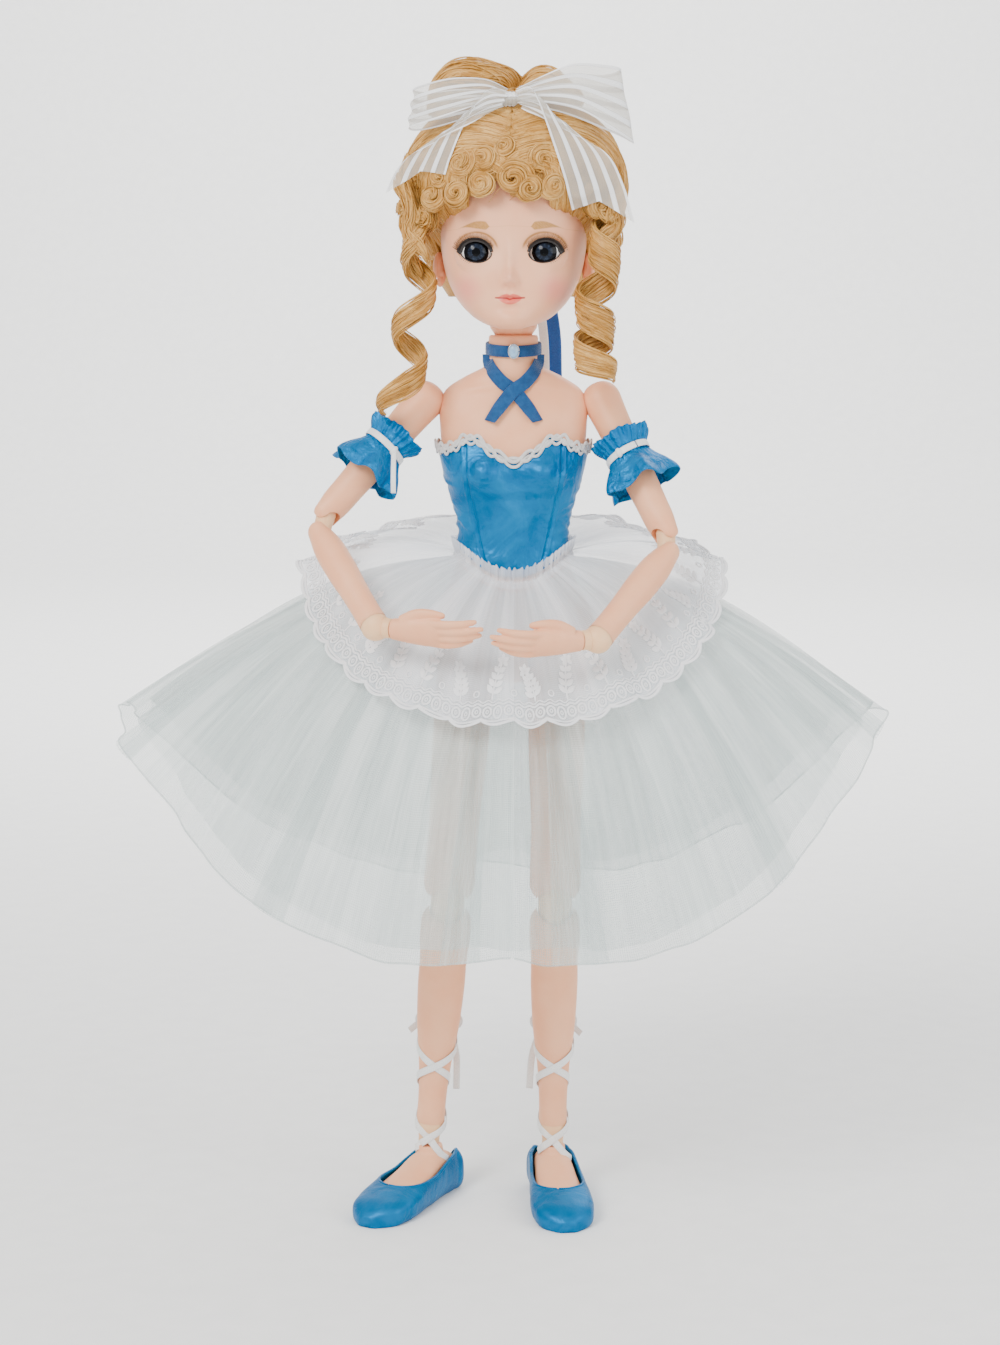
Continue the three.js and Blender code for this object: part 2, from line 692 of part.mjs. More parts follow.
function makeThigh() {
  const { drop, pegRadius, pegLength } = THIGH_SWIVEL;
  const top = -drop - JOINT_GAP;
  const bottom = -UPPER_KNEE;
  const span = top - bottom;
  const end = hingeEndRows(13.4, (KNEE_SPACING - JOINT_GAP) / 2, -1);
  const rows = [
    ...end.map(([z, ...rest]) => [bottom + z, ...rest]),
    [bottom + span * 0.12, 13.2, 11.8],
    [bottom + span * 0.3, 13, 12.4],
    [bottom + span * 0.65, 14.2, 14.2],
    [top, 15, 15.4],
  ];
  const hole = bore(pegRadius, vec(0, 0, top + OVERRUN), vec(0, 0, -drop - pegLength - JOINT_GAP), PIN_SIDES + 2);
  return hingeFork(cut(limbSkin(rows), hole), vec(0, 0, bottom), -1, 1, KNEE);
}

// The calf: rows of height over the ankle, half width, depth in front, depth behind
const CALF_ROWS = [
  [1.6, 7.5, 7.5, 7.5],
  [11, 7.4, 7.5, 7.6],
  [31, 8.4, 8.4, 9.2],
  [55, 11.2, 10.4, 13],
  [77, 12.4, 11, 14.4],
  [95, 12.6, 10.8, 12],
];

function calfPoint(angle, z, offset) {
  const [, wide, front, back] = between(CALF_ROWS, z);
  const deep = Math.sin(angle) < 0 ? front : back;
  return vec((wide + offset) * Math.cos(angle), (deep + offset) * Math.sin(angle), z);
}

function makeShin() {
  const bottom = -SHIN_LENGTH;
  const end = hingeEndRows(13.2, (KNEE_SPACING - JOINT_GAP) / 2, 1).reverse();
  const rows = [...CALF_ROWS.map(([z, ...rest]) => [bottom + z, ...rest]), ...end];
  const cup = pinnedCup(limbSkin(rows), vec(0, 0, bottom), ANKLE);
  return hingeFork(cup, vec(0, 0, 0), 1, 1, KNEE);
}

// Foot and slipper share one outline: rows from heel to toe
const FOOT_ROWS = [
  { y: 17, wide: 3.5, top: 9 },
  { y: 14, wide: 8, top: 17 },
  { y: 6, wide: 9.6, top: 22 },
  { y: -6, wide: 10.2, top: 23 },
  { y: -18, wide: 11.4, top: 18.5 },
  { y: -32, wide: 13.2, top: 14 },
  { y: -45, wide: 13, top: 10.5 },
  { y: -54, wide: 10, top: 8 },
  { y: -59, wide: 4.5, top: 5 },
];
const SLIPPER = { sole: 2, wall: 1.4 };

// How much of the rounded outline the flat sole takes off
const SOLE_SINK = 2.4;

function footRing(row, grow, floor, sides = LINK_SIDES) {
  const ring = [];
  const wide = row.wide + grow;
  const top = row.top + grow;
  for (let i = 0; i < sides; i += 1) {
    const angle = ((i + 0.5) / sides) * Math.PI * 2;
    const across = Math.sign(Math.cos(angle)) * Math.abs(Math.cos(angle)) ** 0.7 * wide;
    const height = (top - floor + SOLE_SINK) / 2;
    const rise = height * (1 + Math.sign(Math.sin(angle)) * Math.abs(Math.sin(angle)) ** 0.55);
    ring.push(vec(across, row.y, Math.max(floor, floor - SOLE_SINK + rise)));
  }
  return ring;
}

function footBody(grow, floor) {
  const middle = -21;
  const rows = FOOT_ROWS.map((row) => ({ ...row, y: row.y + grow * Math.sign(row.y - middle) }));
  return loft(rows.map((row) => footRing(row, grow, floor)));
}

function makeFoot() {
  const { seam, pegRadius, pegLength } = ANKLE;
  const tiltRoom = 1.4;
  const top = ANKLE_HEIGHT - seam - PIN_GAP;
  const ankle = loft([
    oval({ z: 8, y: 1, wide: 7, front: 9, back: 11 }),
    oval({ z: 17, y: 0, wide: 7.4, front: 8.6, back: 9.4 }),
    oval({ z: top, wide: 6.6, front: 6.8 }),
  ]);
  const floor = SLIPPER.sole + JOINT_GAP;
  const hole = bore(pegRadius + tiltRoom, vec(0, 0, top + OVERRUN), vec(0, 0, top - pegLength - OVERRUN));
  return cut(fuse(footBody(0, floor), ankle), hole).translate([0, 0, -ANKLE_HEIGHT]);
}

// The slipper's mouth: open over the ankle and the instep
function makeSlipper() {
  const room = CLOTH_GAP + JOINT_GAP;
  const outside = footBody(SLIPPER.wall + room, 0);
  const inside = footBody(room, SLIPPER.sole);
  const mouth = loft([
    oval({ z: 9, y: -8, wide: 6.5, front: 18, back: 16 }),
    oval({ z: 13, y: -8, wide: 9.5, front: 24, back: 22 }),
    oval({ z: 30, y: -8, wide: 16, front: 30, back: 30 }),
  ]);
  return cut(outside, inside, mouth).translate([0, 0, -ANKLE_HEIGHT]);
}

// Ribbon wound up the ankle in two crossing turns and tied behind
function makeLacing(side) {
  const width = 3.2;
  const thickness = 0.8;
  const low = 24 - ANKLE_HEIGHT;
  const high = 90 - ANKLE_HEIGHT;
  const turns = 1.25;
  const steps = 10;
  const stand = 0.9;
  const winding = (hand) => {
    const places = [];
    const acrosses = [];
    for (let i = 0; i <= steps; i += 1) {
      const share = i / steps;
      const z = THREE.MathUtils.lerp(low, high, share);
      const angle = Math.PI / 2 + hand * (share - 1) * turns * Math.PI * 2;
      places.push(calfPoint(angle, z, stand + thickness));
      acrosses.push(vec(-hand * Math.sin(angle) * 0.25, hand * Math.cos(angle) * 0.25, 1));
    }
    return ribbon(places, acrosses, width, thickness);
  };
  const behind = calfPoint(Math.PI / 2, high, stand + thickness).y;
  const tail = (out, drop) => ribbon(
    [
      vec(0, behind, high),
      vec(out * 0.5, behind + 2, high + 5),
      vec(out, behind + 1, high - drop * 0.3),
      vec(out * 1.15, behind, high - drop),
    ],
    [vec(0, 0, 1), vec(0, 0.3, 1), vec(1, 0.4, 0.3), vec(1, 0.2, 0.1)],
    width,
    thickness,
  );
  return fuse(winding(1), winding(-1), tail(side * 14, 22), tail(-side * 12, 38));
}

// Head: rows of height, half width, depth in front, depth behind
const HEAD_ROWS = [
  [458, 5.5, 36.5, -25, 2],
  [459.5, 11, 38, -10, 2],
  [462, 17, 38.6, 14, 2.1],
  [466, 22.5, 38.5, 24, 2.1],
  [471, 27.2, 38.2, 31, 2.2],
  [478, 31.4, 38, 36, 2.2],
  [487, 34.8, 38, 39.5, 2.2],
  [496, 36.5, 37.6, 42, 2.2],
  [506, 37.2, 37.8, 43.4, 2.2],
  [517, 37, 37, 43.4, 2.2],
  [528, 35.6, 34.4, 41.6, 2.2],
  [538, 32, 29.6, 37.6, 2.1],
  [547, 25, 22, 30, 2],
  [553, 15, 13, 19, 2],
  [556, 4, 4, 6, 2],
];
const EYES = { out: 17, height: 497, radius: 10.5, depth: -27.2, wide: 7.7, tall: 5.9 };

// How far the face stands out at a place: nose, lips, chin, cheeks and the hollows of the eyes
function faceRelief(x, z) {
  const nose = 6.4 * bump(x, 0, 3.6) * bump(z, 484, 5.2) + 2.6 * bump(x, 0, 3) * bump(z, 493, 8);
  const lips = 2.2 * bump(x, 0, 6.2) * bump(z, 474.5, 2.6) + 1.8 * bump(x, 0, 5) * bump(z, 469.5, 2.4);
  const chin = 1.8 * bump(x, 0, 7) * bump(z, 462, 4);
  const cheeks = 1.6 * bump(Math.abs(x), 19, 8) * bump(z, 479, 9);
  const hollows = 2.4 * bump(Math.abs(x), EYES.out - 1, 9) * bump(z, EYES.height + 1, 7);
  return nose + lips + chin + cheeks - hollows;
}

function headRing(z, grow, relief, sides) {
  const [, wide, front, back, power] = between(HEAD_ROWS, z);
  const ring = [];
  for (let i = 0; i < sides; i += 1) {
    const even = ((i + 0.5) / sides) * Math.PI * 2;
    const angle = even + 0.32 * Math.sin(2 * even);
    const along = Math.sin(angle);
    const across = Math.cos(angle);
    const shape = 2 / power;
    const middle = (back - front) / 2;
    const depth = (back + front) / 2;
    const x = (wide + grow) * Math.sign(across) * Math.abs(across) ** shape;
    let y = middle + (depth + grow) * Math.sign(along) * Math.abs(along) ** shape;
    if (relief && along < 0) y -= faceRelief(x, z) * Math.min(1, -along * 2);
    ring.push(vec(x, y, z));
  }
  return ring;
}

function headSkin(grow, relief, heights, sides = HAIR_SIDES) {
  const rings = heights.map((z) => headRing(z, grow, relief, sides));
  return loft(rings);
}

const FACE_HEIGHTS = [
  458, 459.5, 462, 466, 469.5, 472, 474.5, 477.5, 482, 486, 491, 498, 507, 520, 535, 547, 553, 556,
];
const CAP_SPLIT = { height: 512, back: 6, tilt: 0.5 };
const HEAD_HOLLOW = { wide: 30, deep: 32, tall: 36, y: 3, height: 509 };

function capHalf(gap, upper) {
  const size = 200;
  const block = new THREE.BoxGeometry(size, size, size);
  block.translate(0, 0, (upper ? size : -size) / 2 + gap);
  block.rotateX(-CAP_SPLIT.tilt);
  block.translate(0, CAP_SPLIT.back, CAP_SPLIT.height);
  return solid(block);
}

function headHollow() {
  const { wide, deep, tall, y, height } = HEAD_HOLLOW;
  const shape = new THREE.SphereGeometry(1, LINK_SIDES, LINK_SIDES / 2).rotateX(Math.PI / 2);
  shape.scale(wide, deep, tall);
  shape.translate(0, y, height);
  return solid(shape);
}

function eyePlace(side) {
  return vec(side * EYES.out, EYES.depth, EYES.height);
}

function makeHead() {
  const skin = headSkin(0, true, FACE_HEIGHTS, HEAD_SIDES);
  const openings = Object.values(SIDES).flatMap((side) => {
    const place = eyePlace(side);
    const opening = new THREE.CylinderGeometry(1, 1, 1, LIMB_SIDES);
    opening.scale(EYES.wide, EYES.radius * 2, EYES.tall);
    opening.translate(place.x, place.y - EYES.radius, place.z);
    return [ball(EYES.radius + JOINT_GAP, place), solid(opening)];
  });
  const neckBore = rod(4, vec(0, 0, NECK_HEIGHT), vec(0, 0, EYES.height - 10), 12);
  return cut(
    skin,
    ...openings,
    socket(NECK_BALL, vec(0, 0, NECK_HEIGHT), BODY_BALL_SIDES),
    neckBore,
    headHollow(),
    capHalf(-JOINT_GAP / 2, true),
  ).translate([0, 0, -NECK_HEIGHT]);
}

function makeHeadCap() {
  const heights = HEAD_ROWS.map((row) => row[0]);
  return cut(headSkin(0, false, heights), headHollow(), capHalf(JOINT_GAP / 2, false))
    .translate([0, 0, -NECK_HEIGHT]);
}

function makeEye(side) {
  return ball(EYES.radius, eyePlace(side)).translate([0, 0, -NECK_HEIGHT]);
}

// Wig: a puffed outline over the skull, cut away from the face
const WIG_ROWS = [
  [474, 37, -16, 46, 2],
  [482, 42, -10, 50, 2],
  [495, 46, 2, 54, 2],
  [508, 51, 16, 56, 2],
  [520, 55, 36, 57, 2],
  [532, 56, 43, 56, 2],
  [545, 53, 41, 53, 2],
  [557, 45, 35, 46, 2],
  [567, 33, 26, 34, 2],
  [574, 18, 15, 20, 2],
  [577, 5, 5, 6, 2],
];

function makeWig() {
  const skin = loft(WIG_ROWS.map(([z, wide, front, back]) => {
    const middle = (back - front) / 2;
    return oval({ z, y: middle, wide, front: (back + front) / 2, back: (back + front) / 2, power: 2.1 }, HAIR_SIDES);
  }));
  const heights = HEAD_ROWS.map((row) => row[0]);
  const inner = headSkin(CLOTH_GAP + JOINT_GAP, false, heights, HAIR_SIDES);
  const shade = 0.3;
  const faceWindow = loft([
    oval({ z: 440, y: -40, wide: 34, front: 30, back: 33 }, 20),
    oval({ z: 490, y: -40, wide: 35, front: 30, back: 32 }, 20),
    oval({ z: 510, y: -40, wide: 33, front: 30, back: 30 }, 20),
    oval({ z: 519, y: -40, wide: 24, front: 30, back: 22 }, 20),
    oval({ z: 524, y: -42, wide: 10, front: 30, back: 12 }, 20),
  ]);
  const nape = loft([
    oval({ z: 466, wide: 26, front: 30, back: 30 }, 20),
    oval({ z: 478, wide: 26 - shade, front: 30, back: 30 }, 20),
  ]);
  return cut(skin, inner, faceWindow, nape).translate([0, 0, -NECK_HEIGHT]);
}

// Rolled hair on the crown: plump rolls side by side
function makeBun() {
  const rolls = [
    { at: vec(-26, 0, 584), size: vec(15, 13, 9) },
    { at: vec(-10, -3, 588), size: vec(15, 14, 10.5) },
    { at: vec(9, 2, 583), size: vec(14, 14, 9) },
    { at: vec(24, 0, 583), size: vec(13, 12, 9) },
    { at: vec(0, 14, 582), size: vec(20, 13, 10) },
  ];
  const lumps = rolls.map(({ at, size }) => {
    const shape = new THREE.SphereGeometry(1, 7, 5).rotateZ(Math.PI / 2);
    shape.scale(size.x, size.y, size.z);
    shape.translate(at.x, at.y, at.z);
    return solid(shape);
  });
  return cut(fuse(...lumps), wigBlock(CLOTH_GAP + JOINT_GAP)).translate([0, 0, -NECK_HEIGHT]);
}

// The wig's outside, grown by a gap, to seat other hair on it
function wigBlock(gap) {
  return loft(WIG_ROWS.map(([z, wide, front, back], i) => {
    const middle = (back - front) / 2;
    const deep = (back + front) / 2 + gap;
    const rise = i === WIG_ROWS.length - 1 ? gap : 0;
    return oval({ z: z + rise, y: middle, wide: wide + gap, front: deep, back: deep, power: 2.1 }, HAIR_SIDES);
  }));
}

// Small curls along the hairline: one lock wound in slanting loops from temple to temple
const FRINGE = { curls: 8, spread: 0.76, height: 516, sink: 11, curl: 4.4, lock: 1.6, slant: 0.8, stand: 4.6 };

function fringeLine() {
  const { curls, spread, height, sink, curl, slant, stand } = FRINGE;
  const steps = curls * CURL_STEPS;
  return Array.from({ length: steps + 1 }, (_, i) => {
    const share = i / steps;
    const turn = share * curls * Math.PI * 2;
    const angle = (share * 2 - 1) * spread;
    const z = height - sink * (share * 2 - 1) ** 2;
    const [, wide, front] = between(HEAD_ROWS, z);
    const along = vec(Math.cos(angle), Math.sin(angle), 0);
    const out = vec(Math.sin(angle), -Math.cos(angle), 0);
    return vec((wide + stand) * Math.sin(angle), -(front + stand) * Math.cos(angle) ** 0.8, z - NECK_HEIGHT)
      .addScaledVector(along, curl * Math.cos(slant) * Math.cos(turn))
      .addScaledVector(out, curl * Math.sin(slant) * Math.cos(turn))
      .addScaledVector(UPRIGHT, curl * Math.sin(turn));
  });
}

// Hanging curls: one lock wound in a falling helix
const RINGLETS = {
  left: { root: vec(48.7, -16.4, 519.6), middle: vec(49, -21, 472), tip: vec(53, -27, 431), curls: 3.1 },
  right: { root: vec(-47.8, -14.6, 518.4), middle: vec(-51, -21, 468), tip: vec(-58, -28, 416), curls: 3.3 },
};
const RINGLET = { radius: 7.6, lock: 1.4, flat: 4.5 };

// Facets of a curl
const CURL_STEPS = 8;
const RINGLET_STEPS = 12;
const CURL_SIDES = 5;

function ringletLine(name) {
  const { root, middle, tip, curls } = RINGLETS[name];
  const axis = new THREE.CatmullRomCurve3([root, middle, tip]);
  const steps = Math.round(curls * RINGLET_STEPS);
  const hand = SIDES[name];
  return Array.from({ length: steps + 1 }, (_, i) => {
    const share = i / steps;
    const angle = hand * share * curls * Math.PI * 2;
    const radius = RINGLET.radius * Math.min(1, share * 4) * (0.75 + 0.45 * share);
    return axis.getPointAt(share).add(vec(radius * Math.cos(angle), radius * Math.sin(angle), -NECK_HEIGHT));
  });
}

// The rings of a lock of hair round its line: half its depth, and how many times that it is wide
function lockRings(line, depth, flat) {
  const taperShare = 0.9;
  return line.map((place, i) => {
    const before = line[Math.max(i - 1, 0)];
    const after = line[Math.min(i + 1, line.length - 1)];
    const along = after.clone().sub(before).normalize();
    const out = UPRIGHT.clone().cross(along).normalize();
    const up = along.clone().cross(out);
    const share = i / (line.length - 1);
    const size = depth * (share > taperShare ? 1 - (share - taperShare) * 6 : 1);
    return Array.from({ length: CURL_SIDES }, (_, k) => {
      const angle = (k / CURL_SIDES) * Math.PI * 2;
      return place.clone()
        .addScaledVector(out, size * Math.cos(angle))
        .addScaledVector(up, size * flat * Math.sin(angle));
    });
  });
}

// The least gap between one curl's points and those of the next
function leastCurlGap(rings) {
  let least = Infinity;
  for (let i = 0; i < rings.length; i += 1) {
    for (let j = i + CURL_STEPS / 2; j < rings.length; j += 1) {
      for (const here of rings[i]) {
        for (const there of rings[j]) least = Math.min(least, here.distanceTo(there));
      }
    }
  }
  return least;
}

// Hair bow: two loops and two tails of wide sheer ribbon from one knot
const BOW = { y: -29, ribbon: 30, thickness: 1.2 };

function makeHairBow() {
  const { y, ribbon: width, thickness } = BOW;
  const height = WIG_ROWS.at(-1)[0];
  const knot = new THREE.SphereGeometry(1, 7, 4);
  knot.scale(6, 5, 7);
  knot.translate(0, y, height);
  const loop = (side, reach, rise) => {
    const places = [];
    const acrosses = [];
    const steps = 5;
    for (let i = 0; i <= steps; i += 1) {
      const share = i / steps;
      const angle = share * Math.PI * 1.86 + 0.22;
      places.push(vec(
        side * (reach * 0.5 * (1 - Math.cos(angle)) + 2),
        y - 5.5 * Math.sin(angle),
        height + rise * (1 - Math.cos(angle)) * 0.5,
      ));
      acrosses.push(vec(side * -0.3 * rise / reach, 0, 1));
    }
    return ribbon(places, acrosses, width * 0.62, thickness);
  };
  const tail = (side, points) => ribbon(
    points.map(([x, dy, dz]) => vec(side * x, y + dy, height + dz)),
    points.map(([, , , ax, ay, az]) => vec(side * ax, ay, az)),
    width,
    thickness,
  );
  const leftTail = tail(1, [
    [2, -4, 0, 0.5, 0, 1],
    [14, -9, -3, 0.6, 0, 0.9],
    [30, -10, -14, 0.9, 0.2, 0.5],
    [40, -7, -34, 1, 0.3, 0.3],
    [47, -4, -54, 1, 0.4, 0.2],
  ]);
  const rightTail = tail(-1, [
    [2, -4, 0, 0.3, 0, 1],
    [14, -9, -2, 0.5, 0, 1],
    [30, -8, -12, 0.8, 0.3, 0.7],
    [42, -3, -26, 0.9, 0.5, 0.5],
    [49, 2, -38, 0.9, 0.6, 0.4],
  ]);
  return fuse(solid(knot), loop(1, 50, 6), loop(-1, 44, -4), leftTail, rightTail)
    .translate([0, 0, -NECK_HEIGHT]);
}

// Blue ribbon tails that hang behind the neck from the wig
function makeHairRibbon() {
  const width = 7;
  const thickness = 0.9;
  const tail = (x, bottom) => ribbon(
    [vec(x * 0.5, 57, 482), vec(x * 0.8, 59, 474), vec(x, 55, 455), vec(x * 1.05, 50, 432), vec(x * 1.1, 47, bottom)],
    Array.from({ length: 5 }, () => vec(1, 0.2, 0)),
    width,
    thickness,
  );
  const knot = new THREE.SphereGeometry(1, 8, 4);
  knot.scale(15, 3, 5);
  knot.translate(0, 54, 484);
  return cut(fuse(solid(knot), tail(19, 398), tail(-9, 404)), wigBlock(CLOTH_GAP))
    .translate([0, 0, -NECK_HEIGHT]);
}

// Choker: velvet band round the neck, its ends crossed on the chest
const CHOKER = { low: 441, high: 449.4, wall: 1, width: 6.8, endWall: 0.8, endStand: 1.5 };

function makeChoker() {
  const steps = TORSO_SIDES;
  const tilt = (angle) => 1.5 * Math.sin(angle);
  const band = ringLoft(Array.from({ length: steps }, (_, i) => {
    const angle = ((i + 0.5) / steps) * Math.PI * 2;
    const corner = (out, z) => torsoPoint(angle, z + tilt(angle), out);
    return [
      corner(CLOTH_GAP, CHOKER.low + 4),
      corner(CLOTH_GAP + CHOKER.wall, CHOKER.low + 4),
      corner(CLOTH_GAP + CHOKER.wall, CHOKER.high + 1.5),
      corner(CLOTH_GAP, CHOKER.high + 1.5),
    ];
  }));
  const end = (side, lift) => {
    const places = [];
    const acrosses = [];
    const stations = [[-9.6, 446], [-7.6, 438], [-3.2, 426.5], [3.4, 415], [8.6, 407]];
    stations.forEach(([x, z]) => {
      const half = CHOKER.width / 2;
      const corners = [-1, 1].map((way) => chestSpot(side * (x + way * half * 0.84), z + way * half * 0.55));
      const middle = chestSpot(side * x, z);
      const stand = CHOKER.endStand + CHOKER.endWall / 2 + lift;
      places.push(middle.add(vec(0, -stand, 0)));
      acrosses.push(corners[1].sub(corners[0]).multiplyScalar(side));
    });
    return ribbon(places, acrosses, CHOKER.width, CHOKER.endWall);
  };
  return fuse(band, end(1, 0), end(-1, CHOKER.endWall * 0.9));
}

// The chest's skin in front at a place
function chestSpot(x, z) {
  const { wide, front, power } = torsoAt(z);
  const share = Math.min(Math.abs(x) / wide, 1);
  return vec(x, -front * (1 - share ** power) ** (1 / power), z);
}

function makeGem() {
  const gem = new THREE.SphereGeometry(1, 8, 6);
  gem.scale(2.3, 1.5, 3.4);
  const stand = CLOTH_GAP + CHOKER.wall + JOINT_GAP;
  gem.translate(0, -13 - stand - 1.3, 446.6);
  return solid(gem);
}

// Bodice: satin round the chest, heart-shaped above and pointed below
const BODICE = { stand: 0.8, wall: 1.2, top: 397, sideTop: 402, peak: 404.5, bottom: 347, point: 333 };

function bodiceTop(angle) {
  const x = Math.cos(angle);
  const front = Math.max(-Math.sin(angle), 0);
  const peaks = (BODICE.peak - BODICE.top) * bump(Math.abs(x), 0.5, 0.24) * front;
  const dip = 4.5 * bump(x, 0, 0.2) * front;
  const sides = (BODICE.sideTop - BODICE.top) * (1 - front);
  return BODICE.top + peaks + sides * 0.4 - dip;
}

// The pointed waistline, by how far a place looks to the front, from 1 in front to -1 behind
function waistline(ahead) {
  return BODICE.bottom - (BODICE.bottom - BODICE.point) * Math.max(ahead, 0) ** 3;
}

// Cloth that lies on the torso, between two edge lines given by the angle round it
function torsoCloth(stand, wall, low, high, steps) {
  const heights = TORSO_ROWS.map((row) => row[0]);
  const skin = (offset) => loft(heights.map((z) => torsoRing(z, TORSO_SIDES, offset)));
  const near = TORSO_DEPTH / 4;
  const band = ringLoft(Array.from({ length: steps }, (_, i) => {
    const angle = (i / steps) * Math.PI * 2;
    const corner = (r, z) => vec(r * Math.cos(angle), r * Math.sin(angle), z);
    return [
      corner(near, low(angle)),
      corner(TORSO_DEPTH, low(angle)),
      corner(TORSO_DEPTH, high(angle)),
      corner(near, high(angle)),
    ];
  }));
  return cut(skin(stand + wall), skin(stand)).intersect(band);
}

function makeBodice() {
  return torsoCloth(BODICE.stand, BODICE.wall, (angle) => waistline(-Math.sin(angle)), bodiceTop, TORSO_SIDES);
}

// White scalloped edging along the bodice's top
function makeBodiceTrim() {
  const steps = TORSO_SIDES * 2;
  const waves = steps / 3;
  const near = BODICE.stand + BODICE.wall + CLOTH_GAP * 2;
  const thick = 1;
  return ringLoft(Array.from({ length: steps }, (_, i) => {
    const angle = (i / steps) * Math.PI * 2;
    const middle = bodiceTop(angle) - 0.7 + 0.9 * Math.cos(angle * waves);
    return [
      torsoPoint(angle, middle - 1.9, near),
      torsoPoint(angle, middle - 1.9, near + thick),
      torsoPoint(angle, middle + 1.9, near + thick),
      torsoPoint(angle, middle + 1.9, near),
    ];
  }));
}

// Skirts: gathered rings of cloth from the waist to the hem
const SKIRT_WALL = 1.6;
const UNDERSKIRT = { drop: 7.6, front: 112, back: 112, left: 191, right: 205, frontHem: 153, sideHem: 266, folds: 10 };
const OVERSKIRT = { drop: 3, front: 84, back: 84, side: 107, frontHem: 268, sideHem: 337, backHem: 357 };

// A cloth ring between two surfaces, given by share of the way round and share of the way down
function clothRing(place, steps, rows, wall) {
  return ringLoft(Array.from({ length: steps }, (_, i) => {
    const angle = (i / steps) * Math.PI * 2;
    const outside = [];
    const inside = [];
    for (let k = 0; k < rows; k += 1) {
      const down = k / (rows - 1);
      const here = place(angle, down);
      const nudge = 0.01;
      const along = place(angle, Math.min(down + nudge, 1)).sub(place(angle, Math.max(down - nudge, 0)));
      const round = place(angle + nudge, down).sub(place(angle - nudge, down));
      const face = along.cross(round).normalize();
      if (face.z < 0) face.negate();
      outside.push(here.clone().addScaledVector(face, wall / 2));
      inside.push(here.clone().addScaledVector(face, -wall / 2));
    }
    return [...outside, ...inside.reverse()];
  }));
}

// Angle zero is straight ahead, and a quarter turn is the doll's left
function underskirtPlace(angle, down) {
  const { drop, front, back, left, right, frontHem, sideHem, folds } = UNDERSKIRT;
  const across = Math.sin(angle);
  const ahead = Math.cos(angle);
  const waist = waistline(ahead) - drop;
  const { wide, front: bellyDepth, back: backDepth } = torsoAt(waist);
  const gap = CLOTH_GAP + SKIRT_WALL;
  const startX = wide + gap;
  const startY = (ahead > 0 ? bellyDepth : backDepth) + gap;
  const reachX = (across > 0 ? left : right) - startX;
  const reachY = (ahead > 0 ? front : back) - startY;
  const hem = frontHem + (sideHem - frontHem) * Math.abs(across) ** 3.2;
  const out = down ** 0.82;
  const fold = Math.cos(angle * folds) * 0.028 * down ** 1.3;
  const puff = (ahead < 0 ? 34 * -ahead : 10 * ahead) * Math.sin(down * Math.PI) * (1 - down * 0.5);
  return vec(
    across * (startX + reachX * (out + fold * out)),
    -ahead * (startY + reachY * (out + fold * out)),
    waist + (hem - waist) * down ** 1.25 + puff + Math.cos(angle * folds) * 2.4 * down,
  );
}

function overskirtPlace(angle, down) {
  const { drop, front, back, side, frontHem, sideHem, backHem } = OVERSKIRT;
  const across = Math.sin(angle);
  const ahead = Math.cos(angle);
  const waist = waistline(ahead) - drop;
  const { wide, front: bellyDepth, back: backDepth } = torsoAt(waist);
  const gap = CLOTH_GAP + SKIRT_WALL;
  const startX = wide + gap;
  const startY = (ahead > 0 ? bellyDepth : backDepth) + gap;
  const reachY = (ahead > 0 ? front : back) - startY;
  const hem = ahead > 0
    ? frontHem + (sideHem - frontHem) * (1 - ahead) ** 1.1
    : sideHem + (backHem - sideHem) * (-ahead) ** 1.5;
  const scallop = 0.04 * Math.abs(Math.sin(angle * 6)) * down ** 6;
  const fold = Math.cos(angle * 12) * 1.1 * down;
  const out = down + scallop;
  const puff = 7 * Math.sin(down * Math.PI);
  return vec(
    across * (startX + (side - startX) * out),
    -ahead * (startY + reachY * out),
    waist + (hem - waist) * down + puff + fold,
  );
}

// Assembly: each joint group turns about its own origin
const doll = new THREE.Group();
const body = new THREE.Group();
doll.add(body);

piece(body, "pelvis", makePelvis(), SKIN);
piece(body, "underskirt", clothRing(underskirtPlace, 40, 4, SKIRT_WALL), TULLE);
piece(body, "overskirt", clothRing(overskirtPlace, 36, 3, SKIRT_WALL), LACE);

const waistTurn = joint(body, "waist_turn", vec(0, 0, WAIST_HEIGHT), UPRIGHT);
piece(waistTurn, "waist_ball", ball(WAIST_BALL, vec(0, 0, 0), BODY_BALL_SIDES), JOINT_PLASTIC);
const waistLean = joint(waistTurn, "waist_lean", vec(0, 0, 0), BACKWARD_BEND);
const chest = new THREE.Group();
chest.position.z = -WAIST_HEIGHT;
waistLean.add(chest);
piece(chest, "chest", makeChest(), SKIN);
piece(chest, "bodice", makeBodice(), SATIN);
piece(chest, "bodice_trim", makeBodiceTrim(), WHITE_RIBBON);
piece(chest, "choker", makeChoker(), VELVET);
piece(chest, "choker_gem", makeGem(), GEM);

const headTurn = joint(chest, "head_turn", vec(0, 0, NECK_HEIGHT), UPRIGHT, HEAD_TURN);
piece(headTurn, "neck_ball", ball(NECK_BALL, vec(0, 0, 0), BODY_BALL_SIDES), SKIN);
const headNod = joint(headTurn, "head_nod", vec(0, 0, 0), BACKWARD_BEND);
piece(headNod, "head", makeHead(), SKIN);
piece(headNod, "head_cap", makeHeadCap(), SKIN);
piece(headNod, "wig", makeWig(), HAIR);
piece(headNod, "bun", makeBun(), HAIR);
const fringe = lockRings(fringeLine(), FRINGE.lock, 1);
piece(headNod, "fringe", loft(fringe), HAIR);
console.log(`least gap between curls of the fringe: ${leastCurlGap(fringe).toFixed(2)} mm`);
piece(headNod, "hair_bow", makeHairBow(), WHITE_RIBBON);
piece(headNod, "hair_ribbon", makeHairRibbon(), VELVET);

